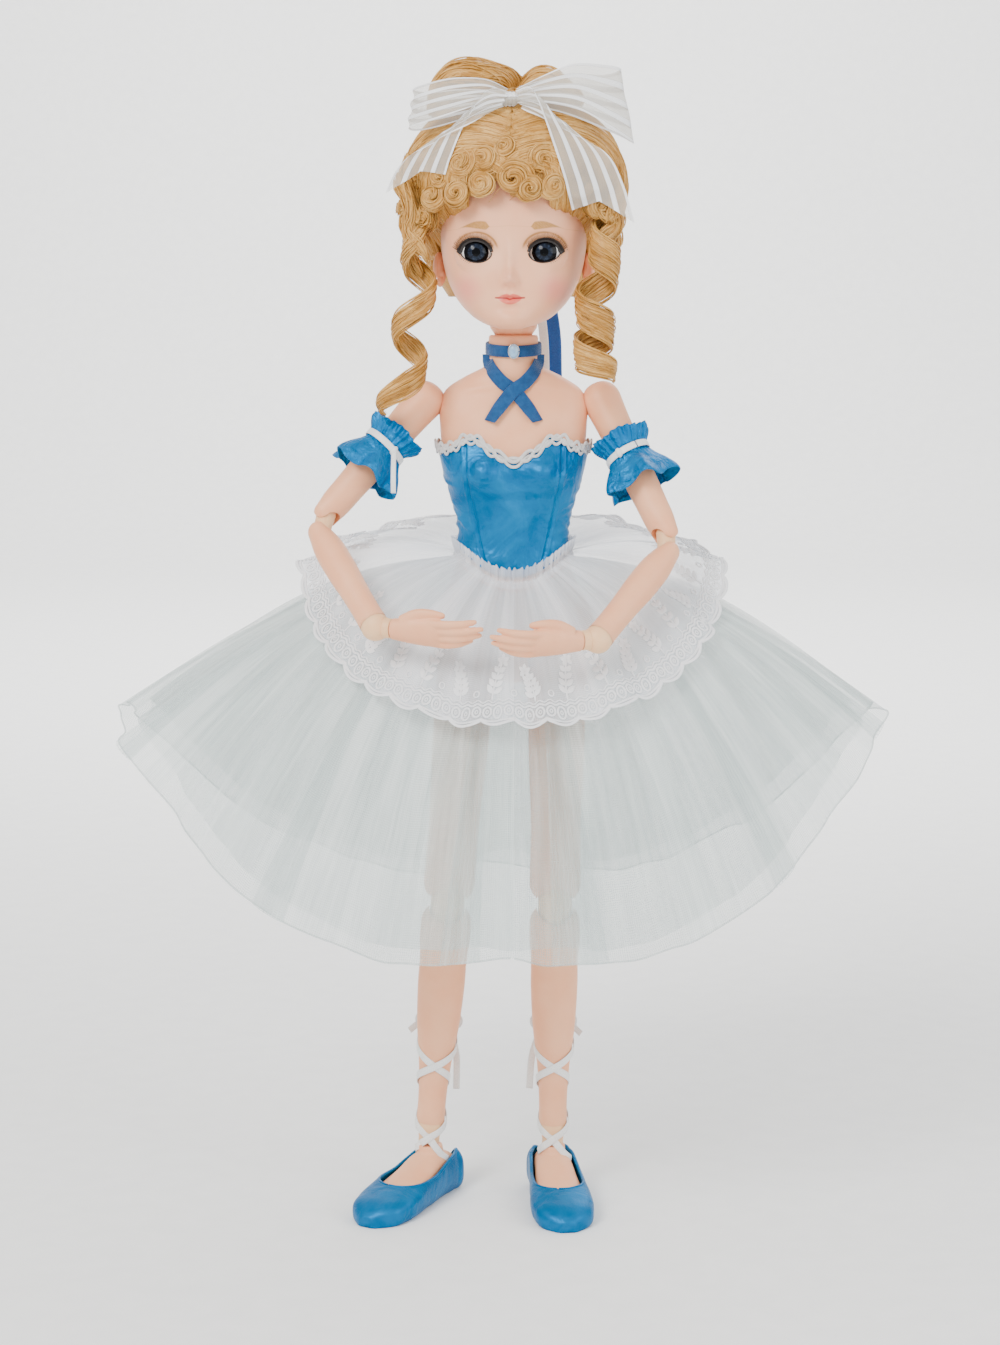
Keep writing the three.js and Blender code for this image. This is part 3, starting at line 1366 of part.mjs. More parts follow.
for (const [name, side] of Object.entries(SIDES)) {
  piece(headNod, `eye_${name}`, makeEye(side), EYE);
  const ringlet = lockRings(ringletLine(name), RINGLET.lock, RINGLET.flat);
  piece(headNod, `ringlet_${name}`, loft(ringlet), HAIR);
  console.log(`least gap between curls of ringlet_${name}: ${leastCurlGap(ringlet).toFixed(2)} mm`);

  const arm = ARM_POSES[name];
  const shoulder = vec(side * SHOULDER_OUT, 0, SHOULDER_HEIGHT);
  const swing = joint(chest, `${name}_shoulder_swing`, shoulder, FORWARD_BEND, arm.swing);
  piece(swing, `shoulder_joint_${name}`, eyeAxle(side, SHOULDER), JOINT_PLASTIC);
  const raise = joint(swing, `${name}_shoulder_raise`, vec(0, 0, 0), OUTWARD[name], arm.raise);
  piece(raise, `shoulder_cap_${name}`, makeShoulderCap(side), SKIN);
  const armTurn = joint(raise, `${name}_arm_turn`, vec(0, 0, 0), INWARD_TURN[name], arm.turn);
  piece(armTurn, `upper_arm_${name}`, makeUpperArm(), SKIN);
  piece(armTurn, `arm_band_${name}`, makeArmBand(), SATIN);
  const elbowUpper = joint(armTurn, `${name}_elbow_upper`, vec(0, 0, -UPPER_ARM_LENGTH), FORWARD_BEND, arm.upperBend);
  piece(elbowUpper, `elbow_joint_${name}`, doubleHinge(ELBOW), JOINT_PLASTIC);
  const elbowLower = joint(elbowUpper, `${name}_elbow_lower`, vec(0, 0, -ELBOW_SPACING), FORWARD_BEND, arm.lowerBend);
  piece(elbowLower, `forearm_${name}`, makeForearm(), SKIN);
  const wrist = joint(elbowLower, `${name}_wrist_bend`, vec(0, 0, -FOREARM_LENGTH), FORWARD_BEND, arm.wrist);
  piece(wrist, `wrist_ball_${name}`, pinnedBall(WRIST), JOINT_PLASTIC);
  const hand = joint(wrist, `${name}_hand_turn`, vec(0, 0, 0), INWARD_TURN[name], arm.hand);
  piece(hand, `hand_${name}`, makeHand(side), SKIN);
}

for (const [name, side] of Object.entries(SIDES)) {
  const leg = LEG_POSES[name];
  const hip = vec(side * HIP_OUT, 0, TORSO_HIPS);
  const swing = joint(body, `${name}_hip_swing`, hip, FORWARD_BEND);
  piece(swing, `hip_joint_${name}`, eyeAxle(side, HIP), JOINT_PLASTIC);
  const spread = joint(swing, `${name}_hip_spread`, vec(0, 0, 0), OUTWARD[name], leg.spread);
  piece(spread, `hip_cap_${name}`, makeHipCap(side), SKIN);
  const thighTurn = joint(spread, `${name}_thigh_turn`, vec(0, 0, 0), OUTWARD_TURN[name]);
  piece(thighTurn, `thigh_${name}`, makeThigh(), SKIN);
  const kneeUpper = joint(thighTurn, `${name}_knee_upper`, vec(0, 0, -UPPER_KNEE), BACKWARD_BEND);
  piece(kneeUpper, `knee_joint_${name}`, doubleHinge(KNEE), JOINT_PLASTIC);
  const kneeLower = joint(kneeUpper, `${name}_knee_lower`, vec(0, 0, -KNEE_SPACING), BACKWARD_BEND);
  piece(kneeLower, `shin_${name}`, makeShin(), SKIN);
  piece(kneeLower, `lacing_${name}`, makeLacing(side).translate([0, 0, -SHIN_LENGTH]), WHITE_RIBBON);
  const ankle = joint(kneeLower, `${name}_ankle_bend`, vec(0, 0, -SHIN_LENGTH), FORWARD_BEND);
  piece(ankle, `ankle_ball_${name}`, pinnedBall(ANKLE), JOINT_PLASTIC);
  const footTurn = joint(ankle, `${name}_foot_turn`, vec(0, 0, 0), OUTWARD_TURN[name], leg.toeOut);
  const levelled = new THREE.Group();
  const turned = footTurn.quaternion.clone();
  const level = new THREE.Quaternion().setFromAxisAngle(OUTWARD[name], -THREE.MathUtils.degToRad(leg.spread));
  levelled.quaternion.copy(turned.clone().invert().multiply(level).multiply(turned));
  const legLength = HIP_HEIGHT - ANKLE_HEIGHT;
  const lift = legLength * (1 - Math.cos(THREE.MathUtils.degToRad(leg.spread)));
  levelled.position.copy(vec(0, 0, -lift).applyQuaternion(levelled.quaternion));
  footTurn.add(levelled);
  piece(levelled, `foot_${name}`, makeFoot(), SKIN);
  piece(levelled, `slipper_${name}`, makeSlipper(), SATIN);
}

// The standing point is under the middle of the whole, on the floor
doll.updateMatrixWorld(true);
const box = new THREE.Box3().setFromObject(doll, true);
body.position.x = -(box.min.x + box.max.x) / 2;
body.position.y = -(box.min.y + box.max.y) / 2;
body.position.z = -box.min.z;

export default doll;
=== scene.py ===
import contextlib
import json
import math
import random

import bmesh
import bpy
import numpy as np
from mathutils import Matrix, Vector
from mathutils.bvhtree import BVHTree

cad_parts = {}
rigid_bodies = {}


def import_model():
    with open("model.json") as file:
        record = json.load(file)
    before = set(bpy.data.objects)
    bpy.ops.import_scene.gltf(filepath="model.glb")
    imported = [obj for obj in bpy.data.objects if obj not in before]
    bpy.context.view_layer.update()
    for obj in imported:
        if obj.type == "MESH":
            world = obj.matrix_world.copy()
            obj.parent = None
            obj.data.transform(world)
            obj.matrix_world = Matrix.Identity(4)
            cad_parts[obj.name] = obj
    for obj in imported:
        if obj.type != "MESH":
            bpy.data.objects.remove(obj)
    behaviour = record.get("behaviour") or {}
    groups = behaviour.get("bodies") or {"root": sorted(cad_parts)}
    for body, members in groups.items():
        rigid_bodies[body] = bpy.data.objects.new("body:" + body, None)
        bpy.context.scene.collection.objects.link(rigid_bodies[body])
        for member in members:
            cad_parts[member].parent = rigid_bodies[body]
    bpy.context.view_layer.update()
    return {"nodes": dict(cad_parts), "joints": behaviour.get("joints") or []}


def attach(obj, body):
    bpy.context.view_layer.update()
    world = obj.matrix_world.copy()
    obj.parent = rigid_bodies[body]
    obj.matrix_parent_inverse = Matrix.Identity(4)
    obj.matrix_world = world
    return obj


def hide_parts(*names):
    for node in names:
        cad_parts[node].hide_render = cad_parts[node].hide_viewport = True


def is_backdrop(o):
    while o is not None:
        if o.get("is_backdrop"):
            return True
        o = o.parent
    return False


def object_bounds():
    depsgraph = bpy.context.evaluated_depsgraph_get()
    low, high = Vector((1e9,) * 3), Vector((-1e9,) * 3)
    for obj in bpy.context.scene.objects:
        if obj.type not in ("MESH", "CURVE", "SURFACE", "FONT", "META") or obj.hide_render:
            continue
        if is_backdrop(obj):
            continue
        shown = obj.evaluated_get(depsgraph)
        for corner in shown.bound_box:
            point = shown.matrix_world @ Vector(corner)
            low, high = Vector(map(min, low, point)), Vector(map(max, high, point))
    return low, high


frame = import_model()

MM = 0.001
rng = random.Random(7)
joints = {j["name"]: j for j in frame["joints"]}
SIDES = {"left": 1, "right": -1}

# The doll's own measures, in millimetres: heights over the floor and lengths from joint to joint
WAIST, NECK, HEAD_TURN = 352, 463, -3
SHOULDER_X, SHOULDER_Z, HIP_X, HIP_Z = 45.5, 421, 23, 300
UPPER_ARM, ELBOW_LINK, FOREARM = 78, 12, 66
THIGH, KNEE_LINK, SHIN, ANKLE = 131.5, 21, 110.5, 37
NECK_SOCKET = 13.1
# Of a fork: its ball, how far the hinge bends and opens in degrees, and its reach
ARM_FORK = (5.3, 72, 14, 14)
LEG_FORK = (9.5, 68, 20, 24)
MOUTH_Z, NOSE_Z, BROW_Z = 473.0, 483, 507.5
WHITE_OF_EYE = (226, 224, 222)


# Frames of the bodies, in millimetres, as the doll is posed
def shift(x=0, y=0, z=0):
    return Matrix.Translation((x, y, z))


def spin(axis, degrees):
    return Matrix.Rotation(math.radians(degrees), 4, Vector(axis))


torso = shift(*(Vector(joints["waist_turn"]["pos_m"]) / MM)) @ shift(z=-WAIST)
head = torso @ shift(z=NECK) @ spin((0, 0, 1), HEAD_TURN) @ shift(z=-NECK)
frames = {"chest": torso, "pelvis": torso, "head": head}
# Degrees: shoulder's swing and lift, arm's turn, elbow's two pins, wrist and hand
ARM_POSES = {
    "left": (23.7, 23.7, 67.8, 24.1, 36.8, 40.2, -62),
    "right": (20.9, 39.4, 66.9, 28.2, 41.5, 45, -62),
}
# Degrees: how far the leg spreads and the toes point out
LEG_POSES = {"left": (-0.4, 6), "right": (4.6, 30)}
for name, side in SIDES.items():
    swing, lift, turn, upper, lower, wrist, hand = ARM_POSES[name]
    f = torso @ shift(side * SHOULDER_X, 0, SHOULDER_Z) @ spin((-1, 0, 0), swing)
    f = frames[name + "_shoulder_cap"] = f @ spin((0, -side, 0), lift)
    f = frames[name + "_upper_arm"] = f @ spin((0, 0, -side), turn)
    f = frames[name + "_elbow_joint"] = f @ shift(z=-UPPER_ARM) @ spin((-1, 0, 0), upper)
    f = frames[name + "_forearm"] = f @ shift(z=-ELBOW_LINK) @ spin((-1, 0, 0), lower)
    f = frames[name + "_wrist"] = f @ shift(z=-FOREARM) @ spin((-1, 0, 0), wrist)
    frames[name + "_hand"] = f @ spin((0, 0, -side), hand)
    spread, toe_out = LEG_POSES[name]
    f = torso @ shift(side * HIP_X, 0, HIP_Z) @ spin((0, -side, 0), spread)
    frames[name + "_hip_cap"] = frames[name + "_thigh"] = f
    f = frames[name + "_knee_joint"] = f @ shift(z=-THIGH)
    f = frames[name + "_shin"] = f @ shift(z=-KNEE_LINK)
    f = frames[name + "_ankle"] = f @ shift(z=-SHIN)
    turned = spin((0, 0, side), toe_out)
    level = turned.inverted() @ spin((0, -side, 0), -spread) @ turned
    drop = (THIGH + KNEE_LINK + SHIN) * (1 - math.cos(math.radians(spread)))
    frames[name + "_foot"] = f @ turned @ level @ shift(z=-drop) @ shift(z=-ANKLE)


# Shape helpers
def lookup(rows, z):
    """Smooth values between rows of numbers, found by the first number of each."""
    rows = np.array(rows, float)
    keys = rows[:, 0]
    z = np.asarray(z, float)
    i = np.clip(np.searchsorted(keys, z) - 1, 0, len(keys) - 2)
    tangents = np.gradient(rows, keys, axis=0)
    gap = (keys[i + 1] - keys[i])[..., None]
    t = np.clip((z[..., None] - keys[i][..., None]) / gap, 0, 1)
    a, b = rows[i], rows[i + 1]
    ta, tb = tangents[i] * gap, tangents[i + 1] * gap
    near = a * (2 * t**3 - 3 * t**2 + 1) + ta * (t**3 - 2 * t**2 + t)
    return near + b * (3 * t**2 - 2 * t**3) + tb * (t**3 - t**2)


def bump(x, centre, spread):
    return np.exp(-(((x - centre) / spread) ** 2))


def power(x, n):
    return np.sign(x) * np.abs(x) ** n


def circle(count):
    """Even angles once round."""
    return np.linspace(0, 2 * math.pi, count, endpoint=False)


def run_along(line):
    """How far along a line of points each of them lies."""
    return np.concatenate([[0], np.cumsum(np.linalg.norm(np.diff(line, axis=0), axis=1))])


def along_curve(points, count):
    """A smooth line through points, with even steps."""
    points = np.array(points, float)
    keys = np.arange(len(points), dtype=float)
    fine = lookup(np.column_stack([keys, points]), np.linspace(0, len(points) - 1, count * 8))[:, 1:]
    run = run_along(fine[:, :3])
    even = np.linspace(0, run[-1], count)
    return np.column_stack([np.interp(even, run, fine[:, k]) for k in range(fine.shape[1])])


def unit(v):
    v = np.asarray(v, float)
    return v / np.maximum(np.linalg.norm(v, axis=-1, keepdims=True), 1e-9)


def move(matrix, points):
    m = np.array(matrix)
    return np.asarray(points, float) @ m[:3, :3].T + m[:3, 3]


def smooth_faces(mesh):
    mesh.polygons.foreach_set("use_smooth", [True] * len(mesh.polygons))


def mesh_object(name, points, faces, local, corner_uv=None):
    """An object from points in millimetres as posed; local keeps each point's place in its own frame."""
    mesh = bpy.data.meshes.new(name)
    mesh.from_pydata((np.asarray(points) * MM).tolist(), [], faces)
    place = mesh.attributes.new("local", "FLOAT_VECTOR", "POINT")
    place.data.foreach_set("vector", np.asarray(local, np.float32).ravel())
    if corner_uv is not None:
        uv = mesh.uv_layers.new(name="UVMap")
        uv.data.foreach_set("uv", np.asarray(corner_uv, np.float32).ravel())
    smooth_faces(mesh)
    obj = bpy.data.objects.new(name, mesh)
    bpy.context.scene.collection.objects.link(obj)
    return obj


BOTH_ENDS, NO_ENDS = (True, True), (False, False)


def uv_grid(u, v):
    return np.stack(np.broadcast_arrays(u[None, :], v[:, None]), axis=2)


def run_down(rows):
    """How far down a sheet each of its rows lies, on average."""
    return np.concatenate([[0], np.cumsum(np.linalg.norm(np.diff(rows, axis=0), axis=2).mean(1))])


def ring_uv(rows):
    """u along the hem, v down from the waist; one more column closes the ring."""
    hem = rows[-1]
    u = np.concatenate([[0], np.cumsum(np.linalg.norm(np.roll(hem, -1, axis=0) - hem, axis=1))])
    return uv_grid(u, run_down(rows))


def strip_uv(rows):
    u = np.concatenate([[0], np.cumsum(np.linalg.norm(np.diff(rows, axis=1), axis=2).mean(0))])
    return uv_grid(u, run_down(rows))


def grid(name, rows, body, closed=True, caps=NO_ENDS, uv=None, flip=False, frame_of=None):
    """A surface from rows of points in a body's frame.

    closed joins each row's ends; caps fills the first and the last row; uv is in millimetres.
    """
    rows = np.asarray(rows, float)
    count, width = rows.shape[:2]
    spans = width if closed else width - 1
    if uv is None:
        around = np.linalg.norm(np.roll(rows, -1, axis=1) - rows, axis=2)[:, :spans].sum(1).mean()
        uv = uv_grid(np.linspace(0, around, spans + 1), run_down(rows))
    points = rows.reshape(-1, 3)
    faces, corners = [], []
    for i in range(count - 1):
        for j in range(spans):
            k = (j + 1) % width
            quad = [(i, j, j), (i, k, j + 1), (i + 1, k, j + 1), (i + 1, j, j)]
            if flip:
                quad.reverse()
            faces.append([r * width + c for r, c, _ in quad])
            corners.extend(uv[r, u] for r, _, u in quad)
    for wanted, i in zip(caps, (0, count - 1)):
        if wanted:
            points = np.vstack([points, rows[i].mean(0)])
            for j in range(spans):
                k = (j + 1) % width
                tri = [
                    (len(points) - 1, uv[i, j]), (i * width + k, uv[i, j + 1]), (i * width + j, uv[i, j])
                ]
                if (i > 0) != flip:
                    tri.reverse()
                faces.append([t[0] for t in tri])
                corners.extend(t[1] for t in tri)
    return mesh_object(name, move(frame_of or frames[body], points), faces, points, corners)


def ring(z, wide, front, back=None, x=0.0, y=0.0, square=2.0, sides=44):
    a = circle(sides)
    back = front if back is None else back
    deep = np.where(np.sin(a) < 0, front, back)
    shape = 2 / square
    return np.column_stack([
        x + wide * power(np.cos(a), shape), y + deep * power(np.sin(a), shape), np.full(sides, z)
    ])


def ways(line, wide, thick, up):
    """A line's points, its widths at each, and the ways along it, across it and up from it."""
    line = np.asarray(line, float)
    wide, thick = (np.broadcast_to(np.asarray(v, float), len(line)) for v in (wide, thick))
    along = unit(np.gradient(line, axis=0))
    across = unit(np.cross(along, np.broadcast_to(np.asarray(up, float), line.shape)))
    return line, wide, thick, along, across, np.cross(across, along)


def swept(line, wide, thick, up, sides=10, square=2.0):
    """Rings round a line of points, wide along up x line and thick along up."""
    line, wide, thick, _, across, up = ways(line, wide, thick, up)
    a = circle(sides)
    shape = 2 / square
    c, s = power(np.cos(a), shape), power(np.sin(a), shape)
    sideways = across[:, None] * (wide[:, None] * c)[..., None]
    return line[:, None] + sideways + up[:, None] * (thick[:, None] * s)[..., None]


def cord(name, line, wide, thick, up, body, sides=10, square=2.0, looped=False):
    """A round or flat cord along a line; looped when the line ends where it starts."""
    rings = swept(line, wide, thick, up, sides=sides, square=square)
    return grid(name, rings[:-1], body) if looped else grid(name, rings, body, caps=BOTH_ENDS)


def ball_rings(centre, wide, deep, high, angles, sides):
    """Rings of a ball or an egg, by their angles over its middle."""
    x, y, z = centre
    return [
        ring(z + high * math.sin(a), wide * math.cos(a), deep * math.cos(a), x=x, y=y, sides=sides)
        for a in angles
    ]


def bundle(line, up, wide, thick, strands, size, frizz=0.3, twist=0.6, arc=2 * math.pi, sides=5, ends=0.12):
    """Many fine strands round a line of hair: points by strand, step and side."""
    line, wide, thick, along, across, up = ways(line, wide, thick, up)
    t = np.linspace(0, 1, len(line))
    c, s = np.cos(circle(sides)), np.sin(circle(sides))
    tubes = []
    for k in range(strands):
        turn = arc * (k + rng.uniform(-0.4, 0.4)) / strands + twist * (t - 0.5) * 2 * rng.uniform(-1, 1)
        p1, p2, n1, n2 = (rng.uniform(0, 6.28), rng.uniform(0, 6.28), rng.uniform(4, 9), rng.uniform(4, 9))
        share = rng.uniform(0.82, 1.04)
        x = wide * share * np.cos(turn) + frizz * np.sin(n1 * t * 2 + p1)
        y = thick * share * np.sin(turn) + frizz * 0.7 * np.sin(n2 * t * 2 + p2)
        middle = line + across * x[:, None] + up * y[:, None]
        radius = size * rng.uniform(0.7, 1.2) * np.clip(np.minimum(t, 1 - t) / ends + 0.08, 0, 1)
        middle = middle + along * ((t - 0.5) * rng.uniform(-2, 2))[:, None]
        sideways = across[:, None] * (radius[:, None] * c)[..., None]
        tubes.append(middle[:, None] + sideways + up[:, None] * (radius[:, None] * s)[..., None])
    return np.array(tubes)


def tubes_object(name, tubes, body):
    """One object from many tubes of as many steps and sides; u tells strands apart, v runs along them."""
    tubes = np.asarray(tubes, float)
    n, count, sides = tubes.shape[:3]
    index = np.arange(n * count * sides).reshape(n, count, sides)
    near, far = index[:, :-1], index[:, 1:]
    quads = np.stack([near, np.roll(near, -1, 2), np.roll(far, -1, 2), far], axis=-1).reshape(-1, 4)
    points = tubes.reshape(-1, 3)
    steps = np.linalg.norm(np.diff(tubes[:, :, 0], axis=1), axis=2)
    v = np.concatenate([np.zeros((n, 1)), np.cumsum(steps, axis=1)], axis=1)[:, :, None]
    tone = (np.arange(n) * 7.31 % 97)[:, None, None]
    uv = np.stack(np.broadcast_arrays(tone + np.arange(sides + 1) * 0.35, v), axis=-1)
    corners = np.stack([uv[:, :-1, :-1], uv[:, :-1, 1:], uv[:, 1:, 1:], uv[:, 1:, :-1]], axis=3)
    corners = corners.reshape(-1, 2)
    return mesh_object(name, move(frames[body], points), quads.tolist(), points, corners)


def join(name, parts):
    """One object from several, with their attributes."""
    with bpy.context.temp_override(active_object=parts[0], selected_editable_objects=parts):
        bpy.ops.object.join()
    parts[0].name = name
    parts[0].data.name = name
    return parts[0]


def settle(obj):
    """Applies the object's modifiers."""
    graph = bpy.context.evaluated_depsgraph_get()
    made = bpy.data.meshes.new_from_object(obj.evaluated_get(graph), depsgraph=graph)
    obj.modifiers.clear()
    obj.data = made
    return obj


def hull_object(centres, radius, matrix):
    """A closed hull round balls, as a cutter."""
    shape = bmesh.new()
    for centre in centres:
        bmesh.ops.create_icosphere(shape, subdivisions=3, radius=radius, matrix=shift(*centre))
    found = bmesh.ops.convex_hull(shape, input=shape.verts)
    inner = set(found["geom_interior"] + found["geom_unused"])
    bmesh.ops.delete(shape, geom=[v for v in inner if isinstance(v, bmesh.types.BMVert)], context="VERTS")
    mesh = bpy.data.meshes.new("cutter")
    shape.to_mesh(mesh)
    shape.free()
    mesh.transform(Matrix.Scale(MM, 4) @ matrix)
    obj = bpy.data.objects.new("cutter", mesh)
    bpy.context.scene.collection.objects.link(obj)
    return obj


def carve(obj, cutters):
    for cutter in cutters:
        m = obj.modifiers.new("cut", "BOOLEAN")
        m.operation, m.solver, m.object = "DIFFERENCE", "EXACT", cutter
    settle(obj)
    for cutter in cutters:
        bpy.data.objects.remove(cutter)
    relocal(obj)
    smooth_faces(obj.data)
    obj.data.set_sharp_from_angle(angle=math.radians(38))
    return obj


def relocal(obj, matrix=None):
    """Writes each point's own-frame place again, after the mesh has changed."""
    matrix = matrix or frames.get(obj.get("made_in"), torso)
    co = np.zeros(len(obj.data.vertices) * 3)
    obj.data.vertices.foreach_get("co", co)
    place = obj.data.attributes.get("local") or obj.data.attributes.new("local", "FLOAT_VECTOR", "POINT")
    place.data.foreach_set(
        "vector", move(matrix.inverted(), co.reshape(-1, 3) / MM).astype(np.float32).ravel()
    )


def fuse_smooth(obj, voxel, rounds):
    """Melts overlapping closed shapes into one skin; the voxels are in millimetres."""
    m = obj.modifiers.new("melt", "REMESH")
    m.mode, m.voxel_size, m.use_smooth_shade = "VOXEL", voxel * MM, True
    s = obj.modifiers.new("smooth", "SMOOTH")
    s.factor, s.iterations = 0.5, rounds
    settle(obj)
    relocal(obj)
    smooth_faces(obj.data)
    return obj


@contextlib.contextmanager
def editing(mesh):
    """The mesh as one that can be cut and joined, written back at the end."""
    bm = bmesh.new()
    bm.from_mesh(mesh)
    yield bm
    bm.to_mesh(mesh)
    bm.free()


def thicken(obj, thickness, offset):
    m = obj.modifiers.new("thick", "SOLIDIFY")
    m.thickness, m.offset = thickness * MM, offset


def dress(obj, paint, body, nodes=()):
    """Gives the piece its material and the body that it rides on, and hides the CAD nodes that it stands
    for.
    """
    obj.data.materials.clear()
    obj.data.materials.append(paint)
    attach(obj, body)
    if nodes:
        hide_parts(*nodes)
    return obj


# Expressions of shader nodes
class Field:
    def __init__(self, paint, socket):
        self.paint, self.socket = paint, socket

    def _do(self, operation, *others, flip=False):
        values = [self, *others]
        if flip:
            values.reverse()
        return self.paint.number(operation, *values)

    def __add__(self, o): return self._do("ADD", o)
    def __radd__(self, o): return self._do("ADD", o)
    def __sub__(self, o): return self._do("SUBTRACT", o)
    def __rsub__(self, o): return self._do("SUBTRACT", o, flip=True)
    def __mul__(self, o): return self._do("MULTIPLY", o)
    def __rmul__(self, o): return self._do("MULTIPLY", o)
    def __truediv__(self, o): return self._do("DIVIDE", o)
    def __pow__(self, o): return self._do("POWER", o)
    def __neg__(self): return self._do("MULTIPLY", -1.0)
    def __abs__(self): return self._do("ABSOLUTE")
    def squared(self): return self._do("MULTIPLY", self)
    def sin(self): return self._do("SINE")
    def fract(self): return self._do("FRACT")
    def root(self): return self._do("SQRT")
    def least(self, o): return self._do("MINIMUM", o)
    def most(self, o): return self._do("MAXIMUM", o)
    def angle(self, o): return self._do("ARCTAN2", o)

    def smooth(self, low, high):
        """0 below low, 1 above high; low may be the larger."""
        node = self.paint.make("ShaderNodeMapRange", interpolation_type="SMOOTHSTEP")
        self.paint.feed(node.inputs[0], self)
        node.inputs[1].default_value, node.inputs[2].default_value = low, high
        return Field(self.paint, node.outputs[0])


def rgb(r, g, b):
    """A colour as picked in an image, made linear."""
    shares = (r / 255, g / 255, b / 255)
    return (*(v / 12.92 if v <= 0.04045 else ((v + 0.055) / 1.055) ** 2.4 for v in shares), 1)


class Paint:
    """A material whose shader sockets are fed by node expressions."""

    def __init__(self, name, **values):
        self.material = bpy.data.materials.new(name)
        self.material.use_nodes = True
        self.nodes, self.links = self.material.node_tree.nodes, self.material.node_tree.links
        self.nodes.clear()
        self.out = self.make("ShaderNodeOutputMaterial")
        self.shader = self.make("ShaderNodeBsdfPrincipled")
        self.links.new(self.shader.outputs[0], self.out.inputs[0])
        for key, value in values.items():
            self.shader.inputs[key.replace("_", " ")].default_value = value

    def make(self, kind, **settings):
        node = self.nodes.new(kind)
        for key, value in settings.items():
            setattr(node, key, value)
        return node

    def feed(self, socket, value):
        if isinstance(value, Field):
            self.links.new(value.socket, socket)
        else:
            socket.default_value = value

    def number(self, operation, *values):
        node = self.make("ShaderNodeMath", operation=operation)
        for socket, value in zip(node.inputs, values):
            self.feed(socket, value)
        return Field(self, node.outputs[0])

    def split(self, socket):
        node = self.make("ShaderNodeSeparateXYZ")
        self.links.new(socket, node.inputs[0])
        return [Field(self, o) for o in node.outputs]

    def local(self):
        """x, y and z in millimetres in the piece's own frame."""
        self.place = self.make("ShaderNodeAttribute", attribute_name="local").outputs["Vector"]
        return self.split(self.place)

    def uv(self):
        self.place = self.make("ShaderNodeUVMap", uv_map="UVMap").outputs[0]
        return self.split(self.place)[:2]

    def vector(self, x, y, z=0.0):
        node = self.make("ShaderNodeCombineXYZ")
        for socket, value in zip(node.inputs, (x, y, z)):
            self.feed(socket, value)
        return node.outputs[0]

    def noise(self, scale=1.0, detail=3.0, rough=0.5, at=None, swirl=0.0):
        node = self.make("ShaderNodeTexNoise")
        self.links.new(at if at is not None else self.place, node.inputs["Vector"])
        for key, value in (
            ("Scale", scale), ("Detail", detail), ("Roughness", rough), ("Distortion", swirl)
        ):
            node.inputs[key].default_value = value
        return Field(self, node.outputs[0])

    def ramp(self, factor, *stops):
        node = self.make("ShaderNodeValToRGB")
        self.feed(node.inputs[0], factor)
        ramp = node.color_ramp
        while len(ramp.elements) < len(stops):
            ramp.elements.new(0.5)
        for element, (place, colour) in zip(ramp.elements, stops):
            element.position, element.color = place, colour
        return Field(self, node.outputs[0])

    def mix(self, factor, a, b):
        node = self.make("ShaderNodeMix", data_type="RGBA")
        self.feed(node.inputs["Factor"], factor)
        self.feed(node.inputs[6], a)
        self.feed(node.inputs[7], b)
        return Field(self, node.outputs[2])

    def relief(self, *layers):
        """Bumps from (height field, depth in millimetres) pairs, one over the other."""
        normal = None
        for height, depth in layers:
            node = self.make("ShaderNodeBump")
            node.inputs["Distance"].default_value = depth * MM
            self.feed(node.inputs["Height"], height)
            if normal:
                self.links.new(normal, node.inputs["Normal"])
            normal = node.outputs[0]
        self.links.new(normal, self.shader.inputs["Normal"])

    def set(self, **values):
        for key, value in values.items():
            self.feed(self.shader.inputs[key.replace("_", " ")], value)
        return self

    def sheer(self, opacity):
        """Lets what is behind show through by 1 - opacity."""
        clear = self.make("ShaderNodeBsdfTransparent")
        blend = self.make("ShaderNodeMixShader")
        self.feed(blend.inputs[0], opacity)
        self.links.new(clear.outputs[0], blend.inputs[1])
        self.links.new(self.shader.outputs[0], blend.inputs[2])
        self.links.new(blend.outputs[0], self.out.inputs[0])
        return self


# Camera, floor and light
camera = bpy.data.objects.new("camera", bpy.data.cameras.new("camera"))
bpy.context.scene.collection.objects.link(camera)
bpy.context.scene.camera = camera
SENSOR, PICTURE_WIDTH = 36, 0.520
camera.data.sensor_fit = "HORIZONTAL"
camera.data.sensor_width = SENSOR
camera.location = (0, -1.35, 0.470)
looking = Vector((0, 0, 0.2805)) - camera.location
camera.rotation_euler = looking.to_track_quat("-Z", "Y").to_euler()
camera.data.lens = SENSOR * looking.length / PICTURE_WIDTH
camera.data.clip_start = 0.05


def lamp(name, place, target, size, power_w, colour=(1, 1, 1)):
    light = bpy.data.lights.new(name, "AREA")
    light.shape, light.size, light.energy, light.color = "DISK", size, power_w, colour
    obj = bpy.data.objects.new(name, light)
    obj.location = place
    obj.rotation_euler = (Vector(target) - Vector(place)).to_track_quat("-Z", "Y").to_euler()
    bpy.context.scene.collection.objects.link(obj)


lamp("key", (-0.9, -1.3, 1.5), (0, 0, 0.3), 0.8, 37, (1, 0.985, 0.96))
lamp("fill", (1.3, -0.9, 0.8), (0, 0, 0.3), 1.0, 12, (0.97, 0.99, 1))
lamp("rim", (0.6, 1.2, 1.3), (0, 0, 0.4), 0.8, 6)
lamp("backdrop_lamp", (0, 1.6, 2.2), (0, 4.0, 0.4), 1.6, 120)
world = bpy.data.worlds.new("studio")
bpy.context.scene.world = world
world.use_nodes = True
nodes, links = world.node_tree.nodes, world.node_tree.links
nodes.clear()
light_path = nodes.new("ShaderNodeLightPath")
seen = nodes.new("ShaderNodeBackground")
seen.inputs[0].default_value = rgb(243, 243, 242)
lit = nodes.new("ShaderNodeBackground")
lit.inputs[0].default_value = (1, 1, 1, 1)
lit.inputs[1].default_value = 1.09
